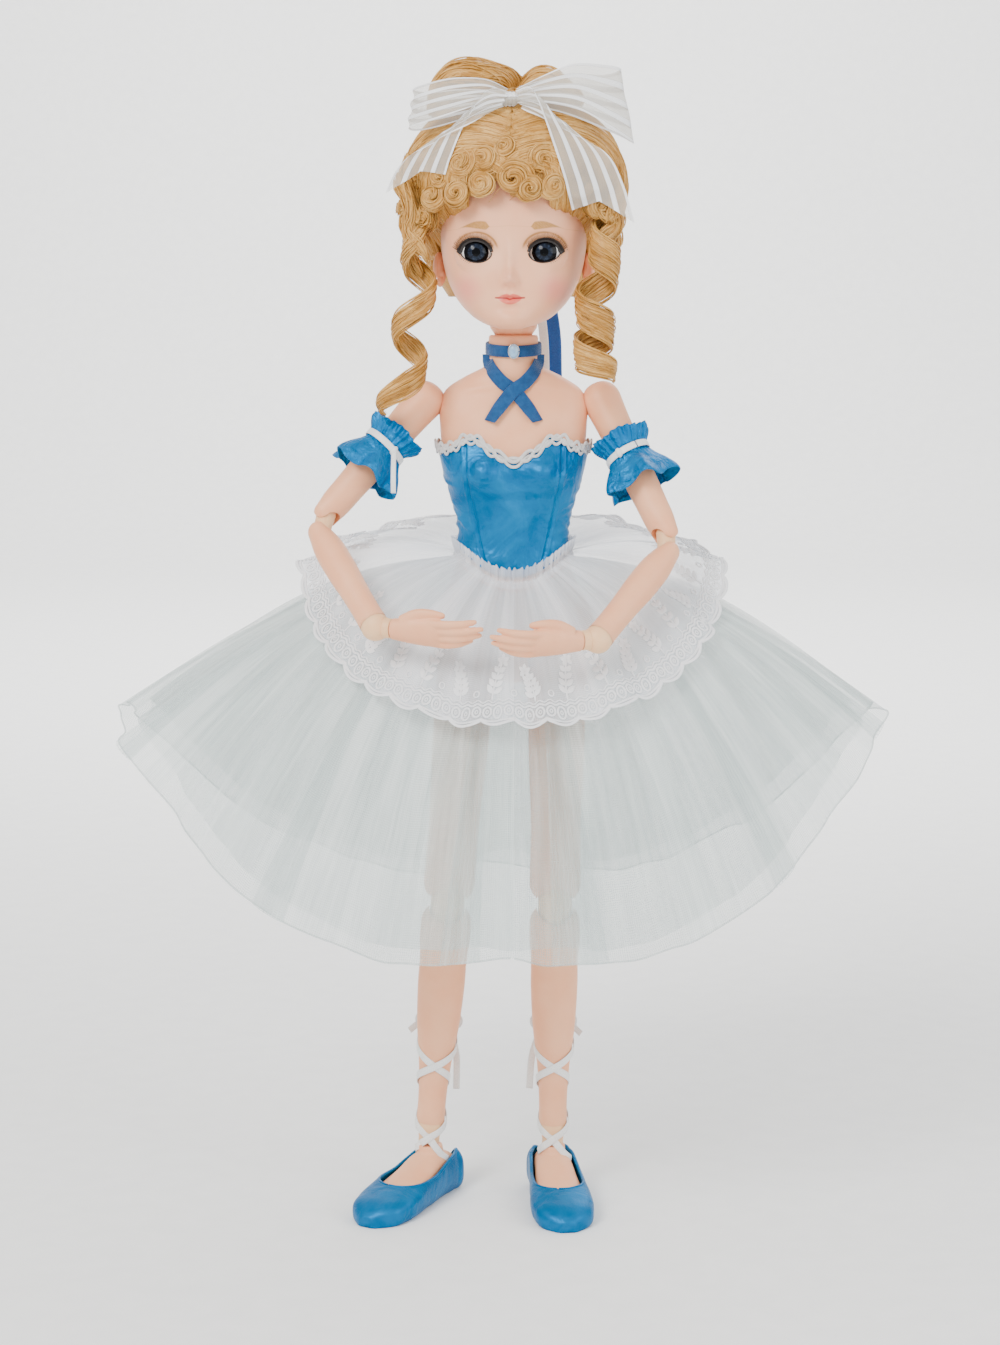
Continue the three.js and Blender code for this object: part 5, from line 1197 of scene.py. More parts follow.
def face_paint():
    paint = Paint("face_skin", **SKIN_LOOK)
    x, y, z = paint.local()
    ax = abs(x)
    colour = paint.ramp(paint.noise(0.06, 3), (0.3, rgb(243, 181, 143)), (0.7, rgb(239, 172, 133)))
    cheek = ((ax - 22).squared() + (z - 477.5).squared()).root()
    colour = paint.mix(cheek.smooth(11, 1) * 0.6, colour, rgb(236, 138, 128))
    nose = (x.squared() + (z - NOSE_Z).squared()).root()
    colour = paint.mix(nose.smooth(6, 0) * 0.16, colour, rgb(236, 160, 146))
    front = (y + 8).smooth(0, -10)
    dx, dz = ax - EYE["x"], z - EYE["z"]
    around_eye = ((dx / 10.4).squared() + ((dz - 0.9) / 8.7).squared()).root()
    shade = around_eye.smooth(1.32, 0.7) * (dz + dx * 0.1).smooth(-3, 4)
    colour = paint.mix(shade * front * 0.72, colour, rgb(186, 128, 74))
    fold = abs(around_eye - 1.03).smooth(0.085, 0.02) * dz.smooth(1.0, 4.5) * front
    colour = paint.mix(fold * 0.8, colour, rgb(168, 112, 52))
    t = (ax - 18.4) / 8.6
    arch = (1 - t * t).most(0.0)
    thick = (t + 1.0).smooth(0.0, 0.3) * (1.0 - t).smooth(0.0, 1.5) * 2.1
    brow = (thick - abs(z - (arch * 1.5 + BROW_Z - t * 0.5))).smooth(-0.3, 0.5) * front
    hairs = paint.noise(1.0, 1, 0.5, paint.vector(x * 1.1 + z * 1.6, 0.0, z * 0.5 - x * 0.4))
    colour = paint.mix(brow * (hairs * 0.7 + 0.55).least(1.0) * 0.95, colour, rgb(172, 122, 46))
    s = ax / 6.9
    bow = 1 - s * s
    upper = (bow * 2.5 - (1 - ax / 1.5).most(0.0) * 0.75 + MOUTH_Z - z).smooth(-0.15, 0.25)
    upper = upper * (z - 472.9).smooth(-0.1, 0.1)
    w = ax / 6.2
    lower = (z - (472.9 - (1 - w * w) * 2.9)).smooth(-0.3, 0.3)
    lower = lower * (MOUTH_Z - z).smooth(-0.1, 0.1) * (6.2 - ax).smooth(0, 0.8)
    lip = (upper * (6.9 - ax).smooth(0, 0.6)).most(lower) * front
    colour = paint.mix(lip * 0.9, colour, rgb(226, 98, 82))
    line = abs(z - MOUTH_Z - s * s * 0.3 + (1 - ax / 1.6).most(0.0) * 0.5).smooth(0.6, 0.22)
    colour = paint.mix(line * (7.8 - ax).smooth(0, 0.7) * front * 0.95, colour, rgb(158, 26, 26))
    paint.set(Base_Color=colour, Roughness=lip * -0.14 + 0.44 + paint.noise(0.5, 2) * 0.05)
    paint.relief((paint.noise(2.2, 2), 0.04))
    return paint.material


face_skin = face_paint()
dress(head_skin, face_skin, "head", ["head"])


def eye_paint():
    paint = Paint("eye", Roughness=0.1, Coat_Weight=0.12, Coat_Roughness=0.02, Specular_IOR_Level=0.06)
    x, y, z = paint.local()
    dx, dz = abs(x) - 16.9, z - EYE["z"] - 0.1
    r = (dx * dx + dz * dz).root()
    spokes = paint.noise(1.0, 2, 0.6, paint.vector(dx.angle(dz) * 3.2, r * 0.4))
    iris = paint.ramp(spokes, (0.3, rgb(14, 18, 28)), (0.55, rgb(28, 35, 48)), (0.75, rgb(50, 62, 80)))
    colour = paint.mix(r.smooth(3.6, 4.6), iris, rgb(3, 3, 5))
    colour = paint.mix(r.smooth(2.4, 1.9), colour, rgb(4, 5, 7))
    colour = paint.mix(r.smooth(6.15, 6.35), colour, rgb(*WHITE_OF_EYE))
    colour = paint.mix(y.smooth(-27, -24), colour, rgb(*WHITE_OF_EYE))
    paint.set(Base_Color=colour)
    return paint.material


eye_glass = eye_paint()
for name, side in SIDES.items():
    rings = []
    for a in np.linspace(0.02, math.pi - 0.02, 44):
        swell = 0.5 * math.exp(-((a / 0.42) ** 2))
        size = EYE["radius"] + swell
        r, y = size * math.sin(a), EYE["y"] - size * math.cos(a)
        rings.append([
            (side * EYE["x"] + r * math.cos(t), y, EYE["z"] + r * math.sin(t)) for t in circle(64)
        ])
    eye = grid("eyeball_" + name, rings, "head", caps=BOTH_ENDS)
    dress(eye, eye_glass, "head", ["eye_" + name])


liner = plain_paint("eyeliner", rgb(16, 12, 12), rgb(34, 24, 20), 1.5, Roughness=0.5)
lash = plain_paint("lashes", rgb(20, 13, 10), rgb(44, 28, 18), 1.5, Roughness=0.6)


def on_face(x, z, out):
    return np.column_stack([x, -face_depth(np.asarray(x, float), np.asarray(z, float)) - out, z])


LASHES, LOW_LASHES = 52, 9


def eyelash(side, a, up, out, reach):
    """One hair from the eye's edge, from its root through the places that reach gives."""
    ex, ez = (float(v) for v in eye_edge(np.array(a)))
    root = Vector(on_face([(ex + EYE["x"]) * side], [ez + EYE["z"] + up], out)[0])
    return [root] + [root + step for step in reach]


for name, side in SIDES.items():
    # The lid's line runs from a wing at the outer corner to the inner one
    ex, ez = eye_edge(np.linspace(-0.1, math.pi * 0.97, 46))
    wing_x, wing_z = [ALMOND["wide"] + 3.1, ALMOND["wide"] + 1.5], [1.6, 0.9]
    px = np.concatenate([wing_x, ex]) + EYE["x"]
    pz = np.concatenate([wing_z, ez + 0.25]) + EYE["z"]
    half = np.concatenate([[0.16, 0.95], 1.5 - 0.7 * np.linspace(0, 1, 46)])
    line = on_face(px * side, pz, 0.1)
    upper_line = cord("lid_line_" + name, line, half, 0.28, (0, -1, 0), "head", sides=8)
    ex, ez = eye_edge(np.linspace(math.pi * 0.99, 2 * math.pi * 1.01, 40))
    line = on_face((ex + EYE["x"]) * side, ez + EYE["z"] - 0.1, 0.05)
    lower_line = cord("low_line_" + name, line, 0.3, 0.2, (0, -1, 0), "head", sides=6)
    dress(join("eye_line_" + name, [upper_line, lower_line]), liner, "head")
    hairs = []
    for i in range(LASHES):
        share = i / (LASHES - 1)
        a = 0.05 + share * math.pi * 0.86
        fan = Vector((side * (math.cos(a) * 1.0 + 0.25), -0.5, 0.35 + math.sin(a) * 0.75)).normalized()
        length = 4.3 - 2.0 * share + rng.uniform(-0.5, 0.5)
        reach = fan * length * 0.5 + Vector((0, -0.35, -0.15)), fan * length + Vector((0, -0.5, 0.5))
        line, fine = along_curve(eyelash(side, a, 0.2, 0.2, reach), 6), np.linspace(0.22, 0.05, 6)
        hairs.append(cord("hair", line, fine, fine, (0, -1, 0.2), "head", sides=4))
    for i in range(LOW_LASHES):
        a = 2 * math.pi - 0.1 - i * 0.14
        reach = Vector((side * 0.9, -0.4, -1.1 + 0.03 * i))
        line = along_curve(eyelash(side, a, -0.2, 0.15, (reach / 2, reach)), 4)
        hairs.append(cord("hair", line, 0.08, 0.08, (0, -1, 0.2), "head", sides=4))
    dress(join("lashes_" + name, hairs), lash, "head")

    # Ear: rim, bowl and lobe melted together
    ear_frame = head @ shift(side * 36.6, 4, 488) @ spin((0, 0, 1), side * 24) @ spin((1, 0, 0), -8)
    t = np.linspace(-0.35, 1.22, 30) * math.pi
    rim_line = np.column_stack([
        side * 1.9 + 0.5 * side * np.sin(t), 4.9 * np.cos(t) + 0.6, 7.6 * np.sin(t)
    ])
    shapes = [("rim", swept(rim_line, 1.25, 1.25, (side, 0, 0), sides=12))]
    q = circle(24)
    for y, z, ry, rz, rx in (
        (0.5, 0.2, 4.4, 6.8, 1.4), (-0.8, -6.6, 2.5, 2.9, 1.7), (-1.2, -2.0, 1.7, 2.2, 2.0)
    ):
        shapes.append(("bowl", [
            np.column_stack([
                np.full(24, side * (0.4 + rx * math.sin(b))), y + ry * math.cos(b) * np.cos(q),
                z + rz * math.cos(b) * np.sin(q)
            ]) for b in np.linspace(-1.5, 1.5, 14)
        ]))
    parts = [grid(kind, rings, None, caps=BOTH_ENDS, frame_of=ear_frame) for kind, rings in shapes]
    ear = join("ear_" + name, parts)
    fuse_smooth(ear, 0.5, 3)
    relocal(ear, head)
    dress(ear, face_skin, "head")


# Hair
def hair_paint(
    name="hair", dark=rgb(112, 66, 18), mid=rgb(186, 131, 52), light=rgb(228, 185, 112), fine=2.6
):
    """Combed strands: u runs across a lock and v along it, in millimetres."""
    paint = Paint(name, Roughness=0.45, Specular_IOR_Level=0.35)
    u, v = paint.uv()
    paint.local()
    broad = paint.noise(0.07, 2, 0.5)
    strands = paint.noise(1.0, 4, 0.65, paint.vector(u * fine, v * 0.06, broad * 9))
    locks = paint.noise(1.0, 2, 0.5, paint.vector(u * 0.5, v * 0.03, broad * 5))
    # The ramp runs from a shadow tone through the hair's own tone to a highlight tone, over the fields that
    # the relief raises: the strands' tone varies of itself, and their grooves get painted shade and their
    # crests painted highlight
    tone = strands * 0.6 + locks * 0.3 + broad * 0.22
    paint.set(
        Base_Color=paint.ramp(tone, (0.34, dark), (0.5, mid), (0.7, light)),
        Roughness=strands * 0.25 + 0.3,
    )
    paint.relief((locks, 0.9), (strands, 0.35))
    return paint.material


hair = hair_paint()
# Height, half width, depth ahead and behind
WIG_ROWS = [
    (474, 37, -16, 46), (482, 42, -10, 50), (495, 46, 2, 54), (508, 51, 16, 56), (520, 55, 36, 57),
    (532, 56, 43, 56),
    (545, 53, 41, 53), (557, 45, 35, 46), (567, 33, 26, 34), (574, 18, 15, 20), (577, 2, 2, 2),
]


def wig_ring(z, sides=96, out=0.0):
    _, wide, front, back = lookup(WIG_ROWS, z)
    middle, deep = (back - front) / 2, (back + front) / 2 + out
    return ring(z, wide + out, deep, y=middle, square=2.1, sides=sides)


heights = np.concatenate([np.arange(474, 566, 1.6), 577 - 11 * np.linspace(1, 0, 14) ** 1.7])
wig_shape = grid(
    "wig_shape", [wig_ring(z, out=-1.2) for z in heights], None, caps=BOTH_ENDS, frame_of=Matrix.Identity(4)
)
tree = BVHTree.FromPolygons(
    [v.co / MM for v in wig_shape.data.vertices], [tuple(p.vertices) for p in wig_shape.data.polygons]
)
bpy.data.objects.remove(wig_shape)
CROWN = Vector((0, 6, 522))


def on_wig(direction, out=0.0):
    """The place where a ray from inside the wig leaves it, raised by out."""
    hit, normal, _, _ = tree.ray_cast(CROWN, Vector(direction).normalized())
    if hit is None:
        return CROWN + Vector(direction).normalized() * 40, Vector(direction).normalized()
    if normal.dot(Vector(direction)) < 0:
        normal = -normal
    return hit + normal * out, normal


def wig_line(waypoints, count, out):
    """A line on the wig through directions given by waypoints in space."""
    places = along_curve(waypoints, count)
    out = np.broadcast_to(out, count)
    found = [on_wig(Vector(p) - CROWN, o) for p, o in zip(places, out)]
    return np.array([f[0][:] for f in found]), np.array([f[1][:] for f in found])


base_rows = np.array([wig_ring(z, sides=120, out=-1.6) for z in heights])
wig_base = grid("wig_cap", base_rows, "head", caps=(False, True))
with editing(wig_base.data) as bm:
    window = []
    for f in bm.faces:
        c = to_own @ f.calc_center_median()
        if c.y < -6 and abs(c.x) < 40 and c.z < 531 - 7 * (c.x / 36) ** 2:
            window.append(f)
    bmesh.ops.delete(bm, geom=window, context="FACES")
thicken(wig_base, 1.5, -1)
dress(wig_base, hair, "head", ["wig"])

# Combed locks, from the parting on the crown round to the temples and the nape
LOCKS_A_SIDE = 22
combed, fine = [], []
for side in (-1, 1):
    for i in range(LOCKS_A_SIDE):
        s = i / (LOCKS_A_SIDE - 1)
        crown = min(s * 1.5, 1)
        start_y = -60 if s < 0.66 else -60 + 190 * (s - 0.66)
        back = 35 + 145 * s ** 0.9 + rng.uniform(-3, 3)
        a = math.radians(back)
        end = Vector((side * 60 * math.sin(a), -60 * math.cos(a) + 4, 484 - 4 * s + rng.uniform(-3, 3)))
        if s < 0.35:
            end.z += 34 * (0.35 - s) / 0.35
        start_x, start_y = side * 0.9 + 1.0 - 2.2 * (1 - crown), start_y * (1 - 0.75 * max(s - 0.55, 0))
        start = Vector((start_x, start_y, 541 + 34 * crown + 8 * s))
        b = math.radians(back * 0.62)
        middle = Vector((side * 62 * math.sin(b), -56 * math.cos(b) + 6, 552 - 10 * (1 - s) + 12 * s))
        high, low = start * 0.55 + middle * 0.45 + Vector((0, 0, 5)), middle * 0.4 + end * 0.6
        line, normals = wig_line([start, high, middle, low, end], 40, 0.2)
        t = np.linspace(0, 1, 40)
        wide = 0.35 + 0.65 * np.sin(np.pi * np.clip(t * 0.9 + 0.09, 0, 1)) ** 0.6
        wide = (6.0 + 2.0 * math.sin(i * 2.3)) * wide
        uneven = math.sin(i * 1.7)
        combed.append(cord("lock", line, wide, 1.8 + 0.5 * uneven, normals, "head", sides=16, square=2.4))
        fine.append(bundle(
            line, normals, wide * 1.02, 2.0 + 0.6 * uneven, 15, 0.42, frizz=0.28, twist=0.25, arc=math.pi,
            ends=0.05
        ))
combed.append(tubes_object("fine", np.concatenate(fine), "head"))
dress(join("combed_hair", combed), hair, "head")
# A dark tube along the parting: painted shadow in the gap between the combed locks
line, normals = wig_line([(-1.6, -52, 541), (-0.2, -56, 556), (1.4, -40, 572), (1.6, -10, 577)], 40, 0.55)
line[:, 0] += 0.7 * np.sin(np.linspace(0, 9, 40))
parting = cord("hair_parting_shadow", line, np.linspace(0.5, 1.0, 40), 0.5, normals, "head", sides=8)
dress(parting, hair_paint("hair_shadow", rgb(70, 42, 14), rgb(96, 60, 22), rgb(120, 80, 34)), "head")


def coil(centre, normal, turn_from, turns, outer, inner, lift, wide, thick, start_angle=0.0, count=52):
    """A curled lock: a spiral of fine strands that winds inwards and rises off the head."""
    normal = Vector(normal).normalized()
    level = normal.orthogonal() if abs(normal.z) > 0.95 else Vector((0, 0, 1)).cross(normal)
    across = level.normalized()
    up = normal.cross(across).normalized()
    t = np.linspace(0, 1, count)
    angle = start_angle + turn_from * t * turns * 2 * math.pi
    radius = (outer + (inner - outer) * t**0.8) * (1 + 0.07 * np.sin(t * 11 + start_angle))
    line = [
        centre + across * (r * math.cos(a)) + up * (r * 0.92 * math.sin(a))
        + normal * (lift * q + 0.5 * math.sin(a * 1.7))
        for r, a, q in zip(radius, angle, t)
    ]
    line = np.array([p[:] for p in line])
    taper = np.minimum(1, np.minimum(t * 6 + 0.25, (1 - t) * 5 + 0.3))
    fluff.append(bundle(
        line, [normal[:]] * count, wide * taper, thick * taper, 15, 0.36, frizz=0.42, twist=0.9
    ))
    return cord(
        "curl", line, wide * 0.8 * taper, thick * 0.8 * taper, [normal[:]] * count, "head", square=2.2
    )


# The fringe: puffed curls along the hairline
# x, height, size and the way it turns
FRINGE_CURLS = [
    (2, 531, 9.6, 1), (-12, 540, 7.4, -1), (-23, 538, 7.6, -1), (-26, 524, 7, 1), (-39, 523, 7.2, -1),
    (-33, 532, 6.2, 1),
    (15, 540, 7, 1), (27, 536, 7.6, -1), (36, 528, 7, 1), (-3, 546, 6.2, -1), (10, 527, 5.4, -1),
    (-14, 529, 5.6, 1),
    (43, 519, 6.4, -1), (-46, 532, 6.8, 1), (47, 530, 6.6, 1), (21, 528, 5.4, 1),
]
curls, fluff = [], []
for x, z, size, way in FRINGE_CURLS:
    target = Vector((x, -43 * math.sqrt(max(1 - (x / 58) ** 2, 0.05)) + 4, z))
    hit, normal = on_wig(target - CROWN, 1.0)
    if z < 530:
        hit = Vector((x, -41.5 * math.sqrt(max(1 - (x / 52) ** 2, 0.02)) - 3.2, z))
        normal = Vector((x / 50, -1, 0.25)).normalized()
    tilt = Vector((rng.uniform(-0.35, 0.35), -0.2, rng.uniform(-0.5, 0.25)))
    start = rng.uniform(0, 6.28)
    for k in range(2):
        curls.append(coil(
            hit - normal * (1.5 + k * 1.2), normal + tilt * 0.8, way, 1.75 - 0.35 * k,
            size * (1 - 0.12 * k), size * 0.22, 3.4 - 1.5 * k, 2.9 - 0.3 * k, 1.7, start + 2.2 * k
        ))
curls.append(tubes_object("fluff", np.concatenate(fluff), "head"))
fringe = join("fringe_curls", curls)
dress(fringe, hair, "head", ["fringe"])

# Side hair: wavy locks from the temples down to the ringlets
waves, fine = [], []
for side, roots in (
    (-1, [(52, 545), (56, 535), (54, 524), (50, 540), (47, 516), (57, 518)]),
    (1, [(52, 540), (56, 530), (53, 520), (48, 536), (50, 512), (46, 514)])
):
    for i, (x, z) in enumerate(roots):
        low = 492 + 7 * i if side > 0 else 484 + 7 * i
        t = np.linspace(0, 1, 44)
        sway = np.sin(t * 3.2 * math.pi + i * 1.3) * 2.6 * (0.3 + t)
        px = side * (x - 4.5 * t + sway - 5.5 * (i % 2) * t)
        py = -20 - 7 * math.sin(i * 2.1) + 6 * t + np.cos(t * 3.0 * math.pi + i) * 1.6
        pz = z + (low - z) * t
        taper = np.minimum(1, np.minimum(t * 5 + 0.3, (1 - t) * 4 + 0.25))
        line = np.column_stack([px, py, pz])
        waves.append(cord(
            "wave", line, 4.0 * taper, 2.0 * taper, (side, -0.7, 0), "head", sides=12, square=2.3
        ))
        fine.append(bundle(line, (side, -0.7, 0), 5.0 * taper, 2.7 * taper, 20, 0.4, frizz=0.6, twist=1.2))
waves.append(tubes_object("fine", np.concatenate(fine), "head"))
dress(join("side_hair", waves), hair, "head")


# Ringlets: wide locks in loose falling turns, split into strands
RINGLET_RADIUS = 8.0


def ringlet(name, axis_points, half_turns):
    """half_turns tells, by share of the way down, how many half turns the lock has made."""
    count = 150
    t = np.linspace(0, 1, count)
    axis = along_curve(axis_points, count)
    angle = SIDES[name] * math.pi * lookup(half_turns, t)[:, 1]
    radius = (1.0 + RINGLET_RADIUS * np.minimum(t * 3.2, 1)) * (0.86 + 0.2 * t)
    pieces, fine = [], []
    for k in range(3):
        swing = angle + (k - 1) * 0.22
        out = np.column_stack([np.cos(swing), np.sin(swing), np.zeros(count)])
        line = axis + out * (radius + 0.5 * (k - 1))[:, None] + np.column_stack([
            np.zeros(count), np.zeros(count), (k - 1) * 2.6 + 0.8 * np.sin(t * 13 + k * 2.1)
        ])
        half = np.minimum(1, np.minimum(t * 4 + 0.35, (1 - t) * 6 + 0.2))
        pieces.append(cord("core", line, 3.4 * half, 0.7, out, "head", sides=12, square=2.2))
        fine.append(bundle(line, out, 4.6 * half, 1.2 * half, 20, 0.34, frizz=0.5, twist=0.5, ends=0.06))
    pieces.append(tubes_object("fine", np.concatenate(fine), "head"))
    obj = join("curl_" + name, pieces)
    return dress(obj, hair, "head", ["ringlet_" + name])


ringlet(
    "left", [(49, -16.4, 519.6), (45, -24, 492), (41.5, -28, 460), (43, -31, 434)],
    [(0, 0.2), (0.2, 1), (0.39, 2), (0.587, 3), (0.745, 4), (0.86, 5), (0.97, 6), (1.0, 6.2)]
)
ringlet(
    "right", [(-48, -14.6, 518.4), (-47, -20, 492), (-50.5, -23, 452), (-58, -27, 417)],
    [(0, -0.1), (0.23, 1), (0.415, 2), (0.6, 3), (0.785, 4), (0.97, 5), (1.0, 5.2)]
)

# Bun: plump rolls side by side on the crown, wound with strands along them
rolls, fine = [], []
for points, fat in (
    ([(-39, 2, 565), (-34, -5, 575), (-22, -8, 583), (-9, -6, 578), (-3, -2, 568)], 9.6),
    ([(-36, 12, 568), (-24, 4, 583), (-8, 4, 583), (3, 8, 573)], 9.0),
    ([(3, 2, 567), (9, -3, 575), (21, -5, 578), (33, 0, 568)], 8.4),
    ([(0, 13, 570), (15, 11, 580), (32, 10, 569)], 8.6),
    ([(-24, 22, 568), (-4, 24, 578), (20, 22, 570)], 9.6),
):
    line = along_curve(points, 46)
    t = np.linspace(0, 1, 46)
    line = line + np.column_stack([np.zeros(46), 1.6 * np.sin(t * 9), 1.0 * np.sin(t * 13 + fat)])
    fatness = fat * (0.4 + 0.6 * np.sin(np.pi * np.clip(t, 0.03, 0.97)) ** 0.6)
    groove = 1 + 0.05 * np.sin(np.arange(26)[None, :] * 2.4 + t[:, None] * 5)
    rings = swept(line, fatness * 0.95, fatness * 0.95, (0, -0.2, 1), sides=26)
    rings = line[:, None] + (rings - line[:, None]) * groove[..., None]
    rolls.append(grid("roll", rings, "head", caps=BOTH_ENDS))
    fine.append(bundle(line, (0, -0.2, 1), fatness, fatness, 64, 0.42, frizz=0.55, twist=1.6, ends=0.04))
rolls.append(tubes_object("fine", np.concatenate(fine), "head"))
dress(join("bun_rolls", rolls), hair, "head", ["bun"])

# Fine loose strands that break the outline
LOOSE_STRANDS = 170
strands = []
for i in range(LOOSE_STRANDS):
    a = rng.uniform(0, 2 * math.pi)
    z = rng.uniform(505, 572)
    d = Vector((math.cos(a) * 50, math.sin(a) * 50, z - 522))
    if d.y < -20 and z < 536:
        continue
    points = []
    for k in range(5):
        way = d + Vector((-d.y, d.x, 0)) * 0.13 * k * math.copysign(1, d.x) * -1 + Vector((0, 0, -5.5 * k))
        p, _ = on_wig(way, 1.6 + 1.5 * math.sin(k * 0.9 + i) * rng.random())
        points.append(p[:])
    line = along_curve(points, 14)
    strands.append(cord("strand", line, 0.14, 0.14, (0, 0, 1), "head", sides=4))
dress(join("loose_strands", strands), hair, "head")


# Cloth: bodice, trim, choker
def torso_front(x, z, out=0.0):
    """Places before the torso, by x and height."""
    row = lookup(TORSO_ROWS, np.asarray(z, float))
    wide, front, square = row[..., 1], row[..., 2], row[..., 4]
    share = np.clip(np.abs(x) / (wide + 0.01), 0, 0.995)
    return -front * (1 - share**square) ** (1 / square) - out


def bodice_top(a):
    x, ahead = np.cos(a), np.maximum(-np.sin(a), 0)
    return 397 + 7.5 * bump(np.abs(x), 0.5, 0.24) * ahead + 2 * (1 - ahead) - 4.5 * bump(x, 0, 0.2) * ahead


def waistline(ahead):
    return 347 - 14 * np.maximum(ahead, 0) ** 3


def bodice_rows(count=110):
    a = circle(440)
    low, high = waistline(-np.sin(a)), bodice_top(a)
    # Each crease: at which side, how far round, its height, slope, depth, breadth and reach
    creases = [
        (
            rng.choice((0, math.pi)), rng.uniform(-17, 13), rng.uniform(344, 381), rng.uniform(-0.4, 0.4),
            rng.uniform(0.3, 0.85), rng.uniform(0.9, 1.9), rng.uniform(6, 13),
        ) for _ in range(34)
    ]
    rows = [torso_point(a, low - 0.1, 0.5), torso_point(a, low - 0.35, 1.35)]
    ahead = np.sin(a) < 0.2
    for t in np.linspace(0, 1, count):
        z = low + (high - low) * t
        x = torso_point(a, z)[..., 0]
        seam = 14 + 8.5 * np.clip((z - 340) / 42, 0, 1.1)
        # A groove along each dart's seam with a soft rise beside it
        groove = 0.75 * bump(np.abs(x), seam, 0.55) * ahead
        off = 1.9 - groove + 0.3 * bump(np.abs(np.abs(x) - seam), 1.5, 0.7) * ahead
        for side, u0, z0, slope, deep, wide, reach in creases:
            turn = (a - side + math.pi) % (2 * math.pi) - math.pi
            u = 30 * turn * (1 if side else -1)
            h = z - z0 - slope * (u - u0)
            near = bump(u, u0, reach)
            off = off + deep * near * (bump(h, 0, wide) - 0.6 * bump(h, -1.9 * wide, wide * 1.3))
        # The fold under the bust
        off = off + 0.55 * bump(z, 376 + 0.05 * x, 2.2) * bump(x, 0, 24) * ahead
        off = off - 0.45 * bump(z, 371.5 + 0.05 * x, 1.6) * bump(x, 2, 20) * ahead
        rows.append(torso_point(a, z, np.maximum(off, 0.9)))
    return rows + [torso_point(a, high + 0.35, 1.35), torso_point(a, high + 0.1, 0.5)]


bodice = dress(
    grid("bodice_cloth", bodice_rows(), "chest"), bodice_satin, "chest", ["bodice"]
)

TRIM_WAVES = 25
a = np.linspace(0, 2 * math.pi, 640)
parts = []
for drop, phase, out, half in ((-0.4, 0, 3.1, 0.95), (0.9, math.pi, 2.9, 0.95), (2.2, 0, 2.8, 0.8)):
    z = bodice_top(a) - drop + 1.55 * np.sin(TRIM_WAVES * a + phase)
    line = torso_point(a, z, out)
    up = torso_point(a, z, out + 1) - line
    parts.append(cord("trim", line, half, 0.55, up, "chest", looped=True))
a = np.linspace(0, 2 * math.pi, 320)
line = torso_point(a, waistline(-np.sin(a)) + 0.2, 2.0)
piping = dress(
    cord("bodice_piping", line, 0.75, 0.75, (0, 0, 1), "chest", looped=True), bodice_satin, "chest"
)
trim = dress(join("bodice_rickrack", parts), white_edging, "chest", ["bodice_trim"])

a = circle(200)
tilt = 1.5 * np.sin(a)
profile = [(445, 0.4), (445, 1.3), (445.5, 1.75), (448, 1.9), (450.4, 1.75), (450.9, 1.3), (450.9, 0.4)]
parts = [grid("band", [torso_point(a, z + tilt, out) for z, out in profile], "chest")]
for side in (1, -1):
    rows = along_curve(
        [
            (-12.9, 445, 0), (-12.2, 439, 0.5), (-6.4, 431.6, 1), (0, 426.8, 1), (6, 420, 1),
            (12.2, 411.5, 0.5)
        ],
        46
    )
    out = 1.5 + (0.9 if side < 0 else 0) * rows[:, 2]
    line = np.column_stack([side * rows[:, 0], torso_front(rows[:, 0], rows[:, 1], out), rows[:, 1]])
    ahead = np.column_stack([line[:, 0] * 0.05, np.full(len(line), -1.0), 0.1 * np.ones(len(line))])
    rings = swept(line, 3.5, 0.4, ahead, sides=20, square=4)
    slant = np.clip((np.arange(46) - 37) / 8, 0, 1)[:, None]
    rings[..., 2] += (rings[..., 0] - line[:, None, 0]) * side * slant * -0.35
    parts.append(grid("velvet_end", rings, "chest", caps=BOTH_ENDS))
choker = dress(join("velvet_choker", parts), velvet, "chest", ["choker"])

gem_glass = Paint("gem", Roughness=0.06, Coat_Weight=1.0, IOR=1.6)
height = gem_glass.local()[2]
# The stone's colour clouds at random and lightens towards its top, a painted highlight
gem_glass.set(Base_Color=gem_glass.ramp(
    gem_glass.noise(0.35, 2) * 0.7 + height * 0.03 - 13.2, (0.2, rgb(70, 140, 200)),
    (0.8, rgb(180, 220, 245))
))
GEM_Y, GEM_Z = -12.6 - 2.6, 446.6
rings = ball_rings((0, GEM_Y, GEM_Z), 2.4, 1.5, 3.4, np.linspace(-1.5, 1.5, 21), 28)
dress(grid("gem_stone", rings, "chest", caps=BOTH_ENDS), gem_glass.material, "chest", ["choker_gem"])
metal = plain_paint(
    "gem_setting", rgb(190, 192, 196), rgb(226, 228, 232), 2.0, None, 2, Metallic=1.0, Roughness=0.25
)
b = np.linspace(0, 2 * math.pi, 61)
line = np.column_stack([2.6 * np.cos(b), np.full(61, GEM_Y + 0.3), GEM_Z + 3.6 * np.sin(b)])
dress(cord("gem_rim", line, 0.4, 0.4, (0, -1, 0), "chest", looped=True), metal, "chest")


# Skirts
def net_paint(name, thin, thick, opacity, pitch):
    """Fine net: crossing threads between see-through holes; u and v are in millimetres."""
    paint = Paint(name, Roughness=0.85, Sheen_Weight=0.4, Specular_IOR_Level=0.2)
    u, v = paint.uv()
    warp = paint.noise(0.08, 2)
    across = ((u + warp * 2) * (math.pi / pitch)).sin()
    down = ((v + warp * 2) * (math.pi / pitch)).sin()
    threads = (across * across).most(down * down).smooth(0.75, 0.98)
    streaks = paint.noise(1.0, 3, 0.6, paint.vector(u * 0.25, v * 0.015))
    broad = paint.noise(1.0, 2, 0.5, paint.vector(u * 0.034, v * 0.003))
    tone = streaks * 0.45 + broad * 0.55
    paint.set(Base_Color=paint.ramp(tone, (0.36, thin), (0.62, thick)))
    paint.relief((streaks, 0.8))
    paint.sheer((
        threads * 0.22 + streaks * 0.2 + broad.smooth(0.4, 0.62) * 0.22 + (opacity - 0.28)
    ).least(1.0))
    return paint.material


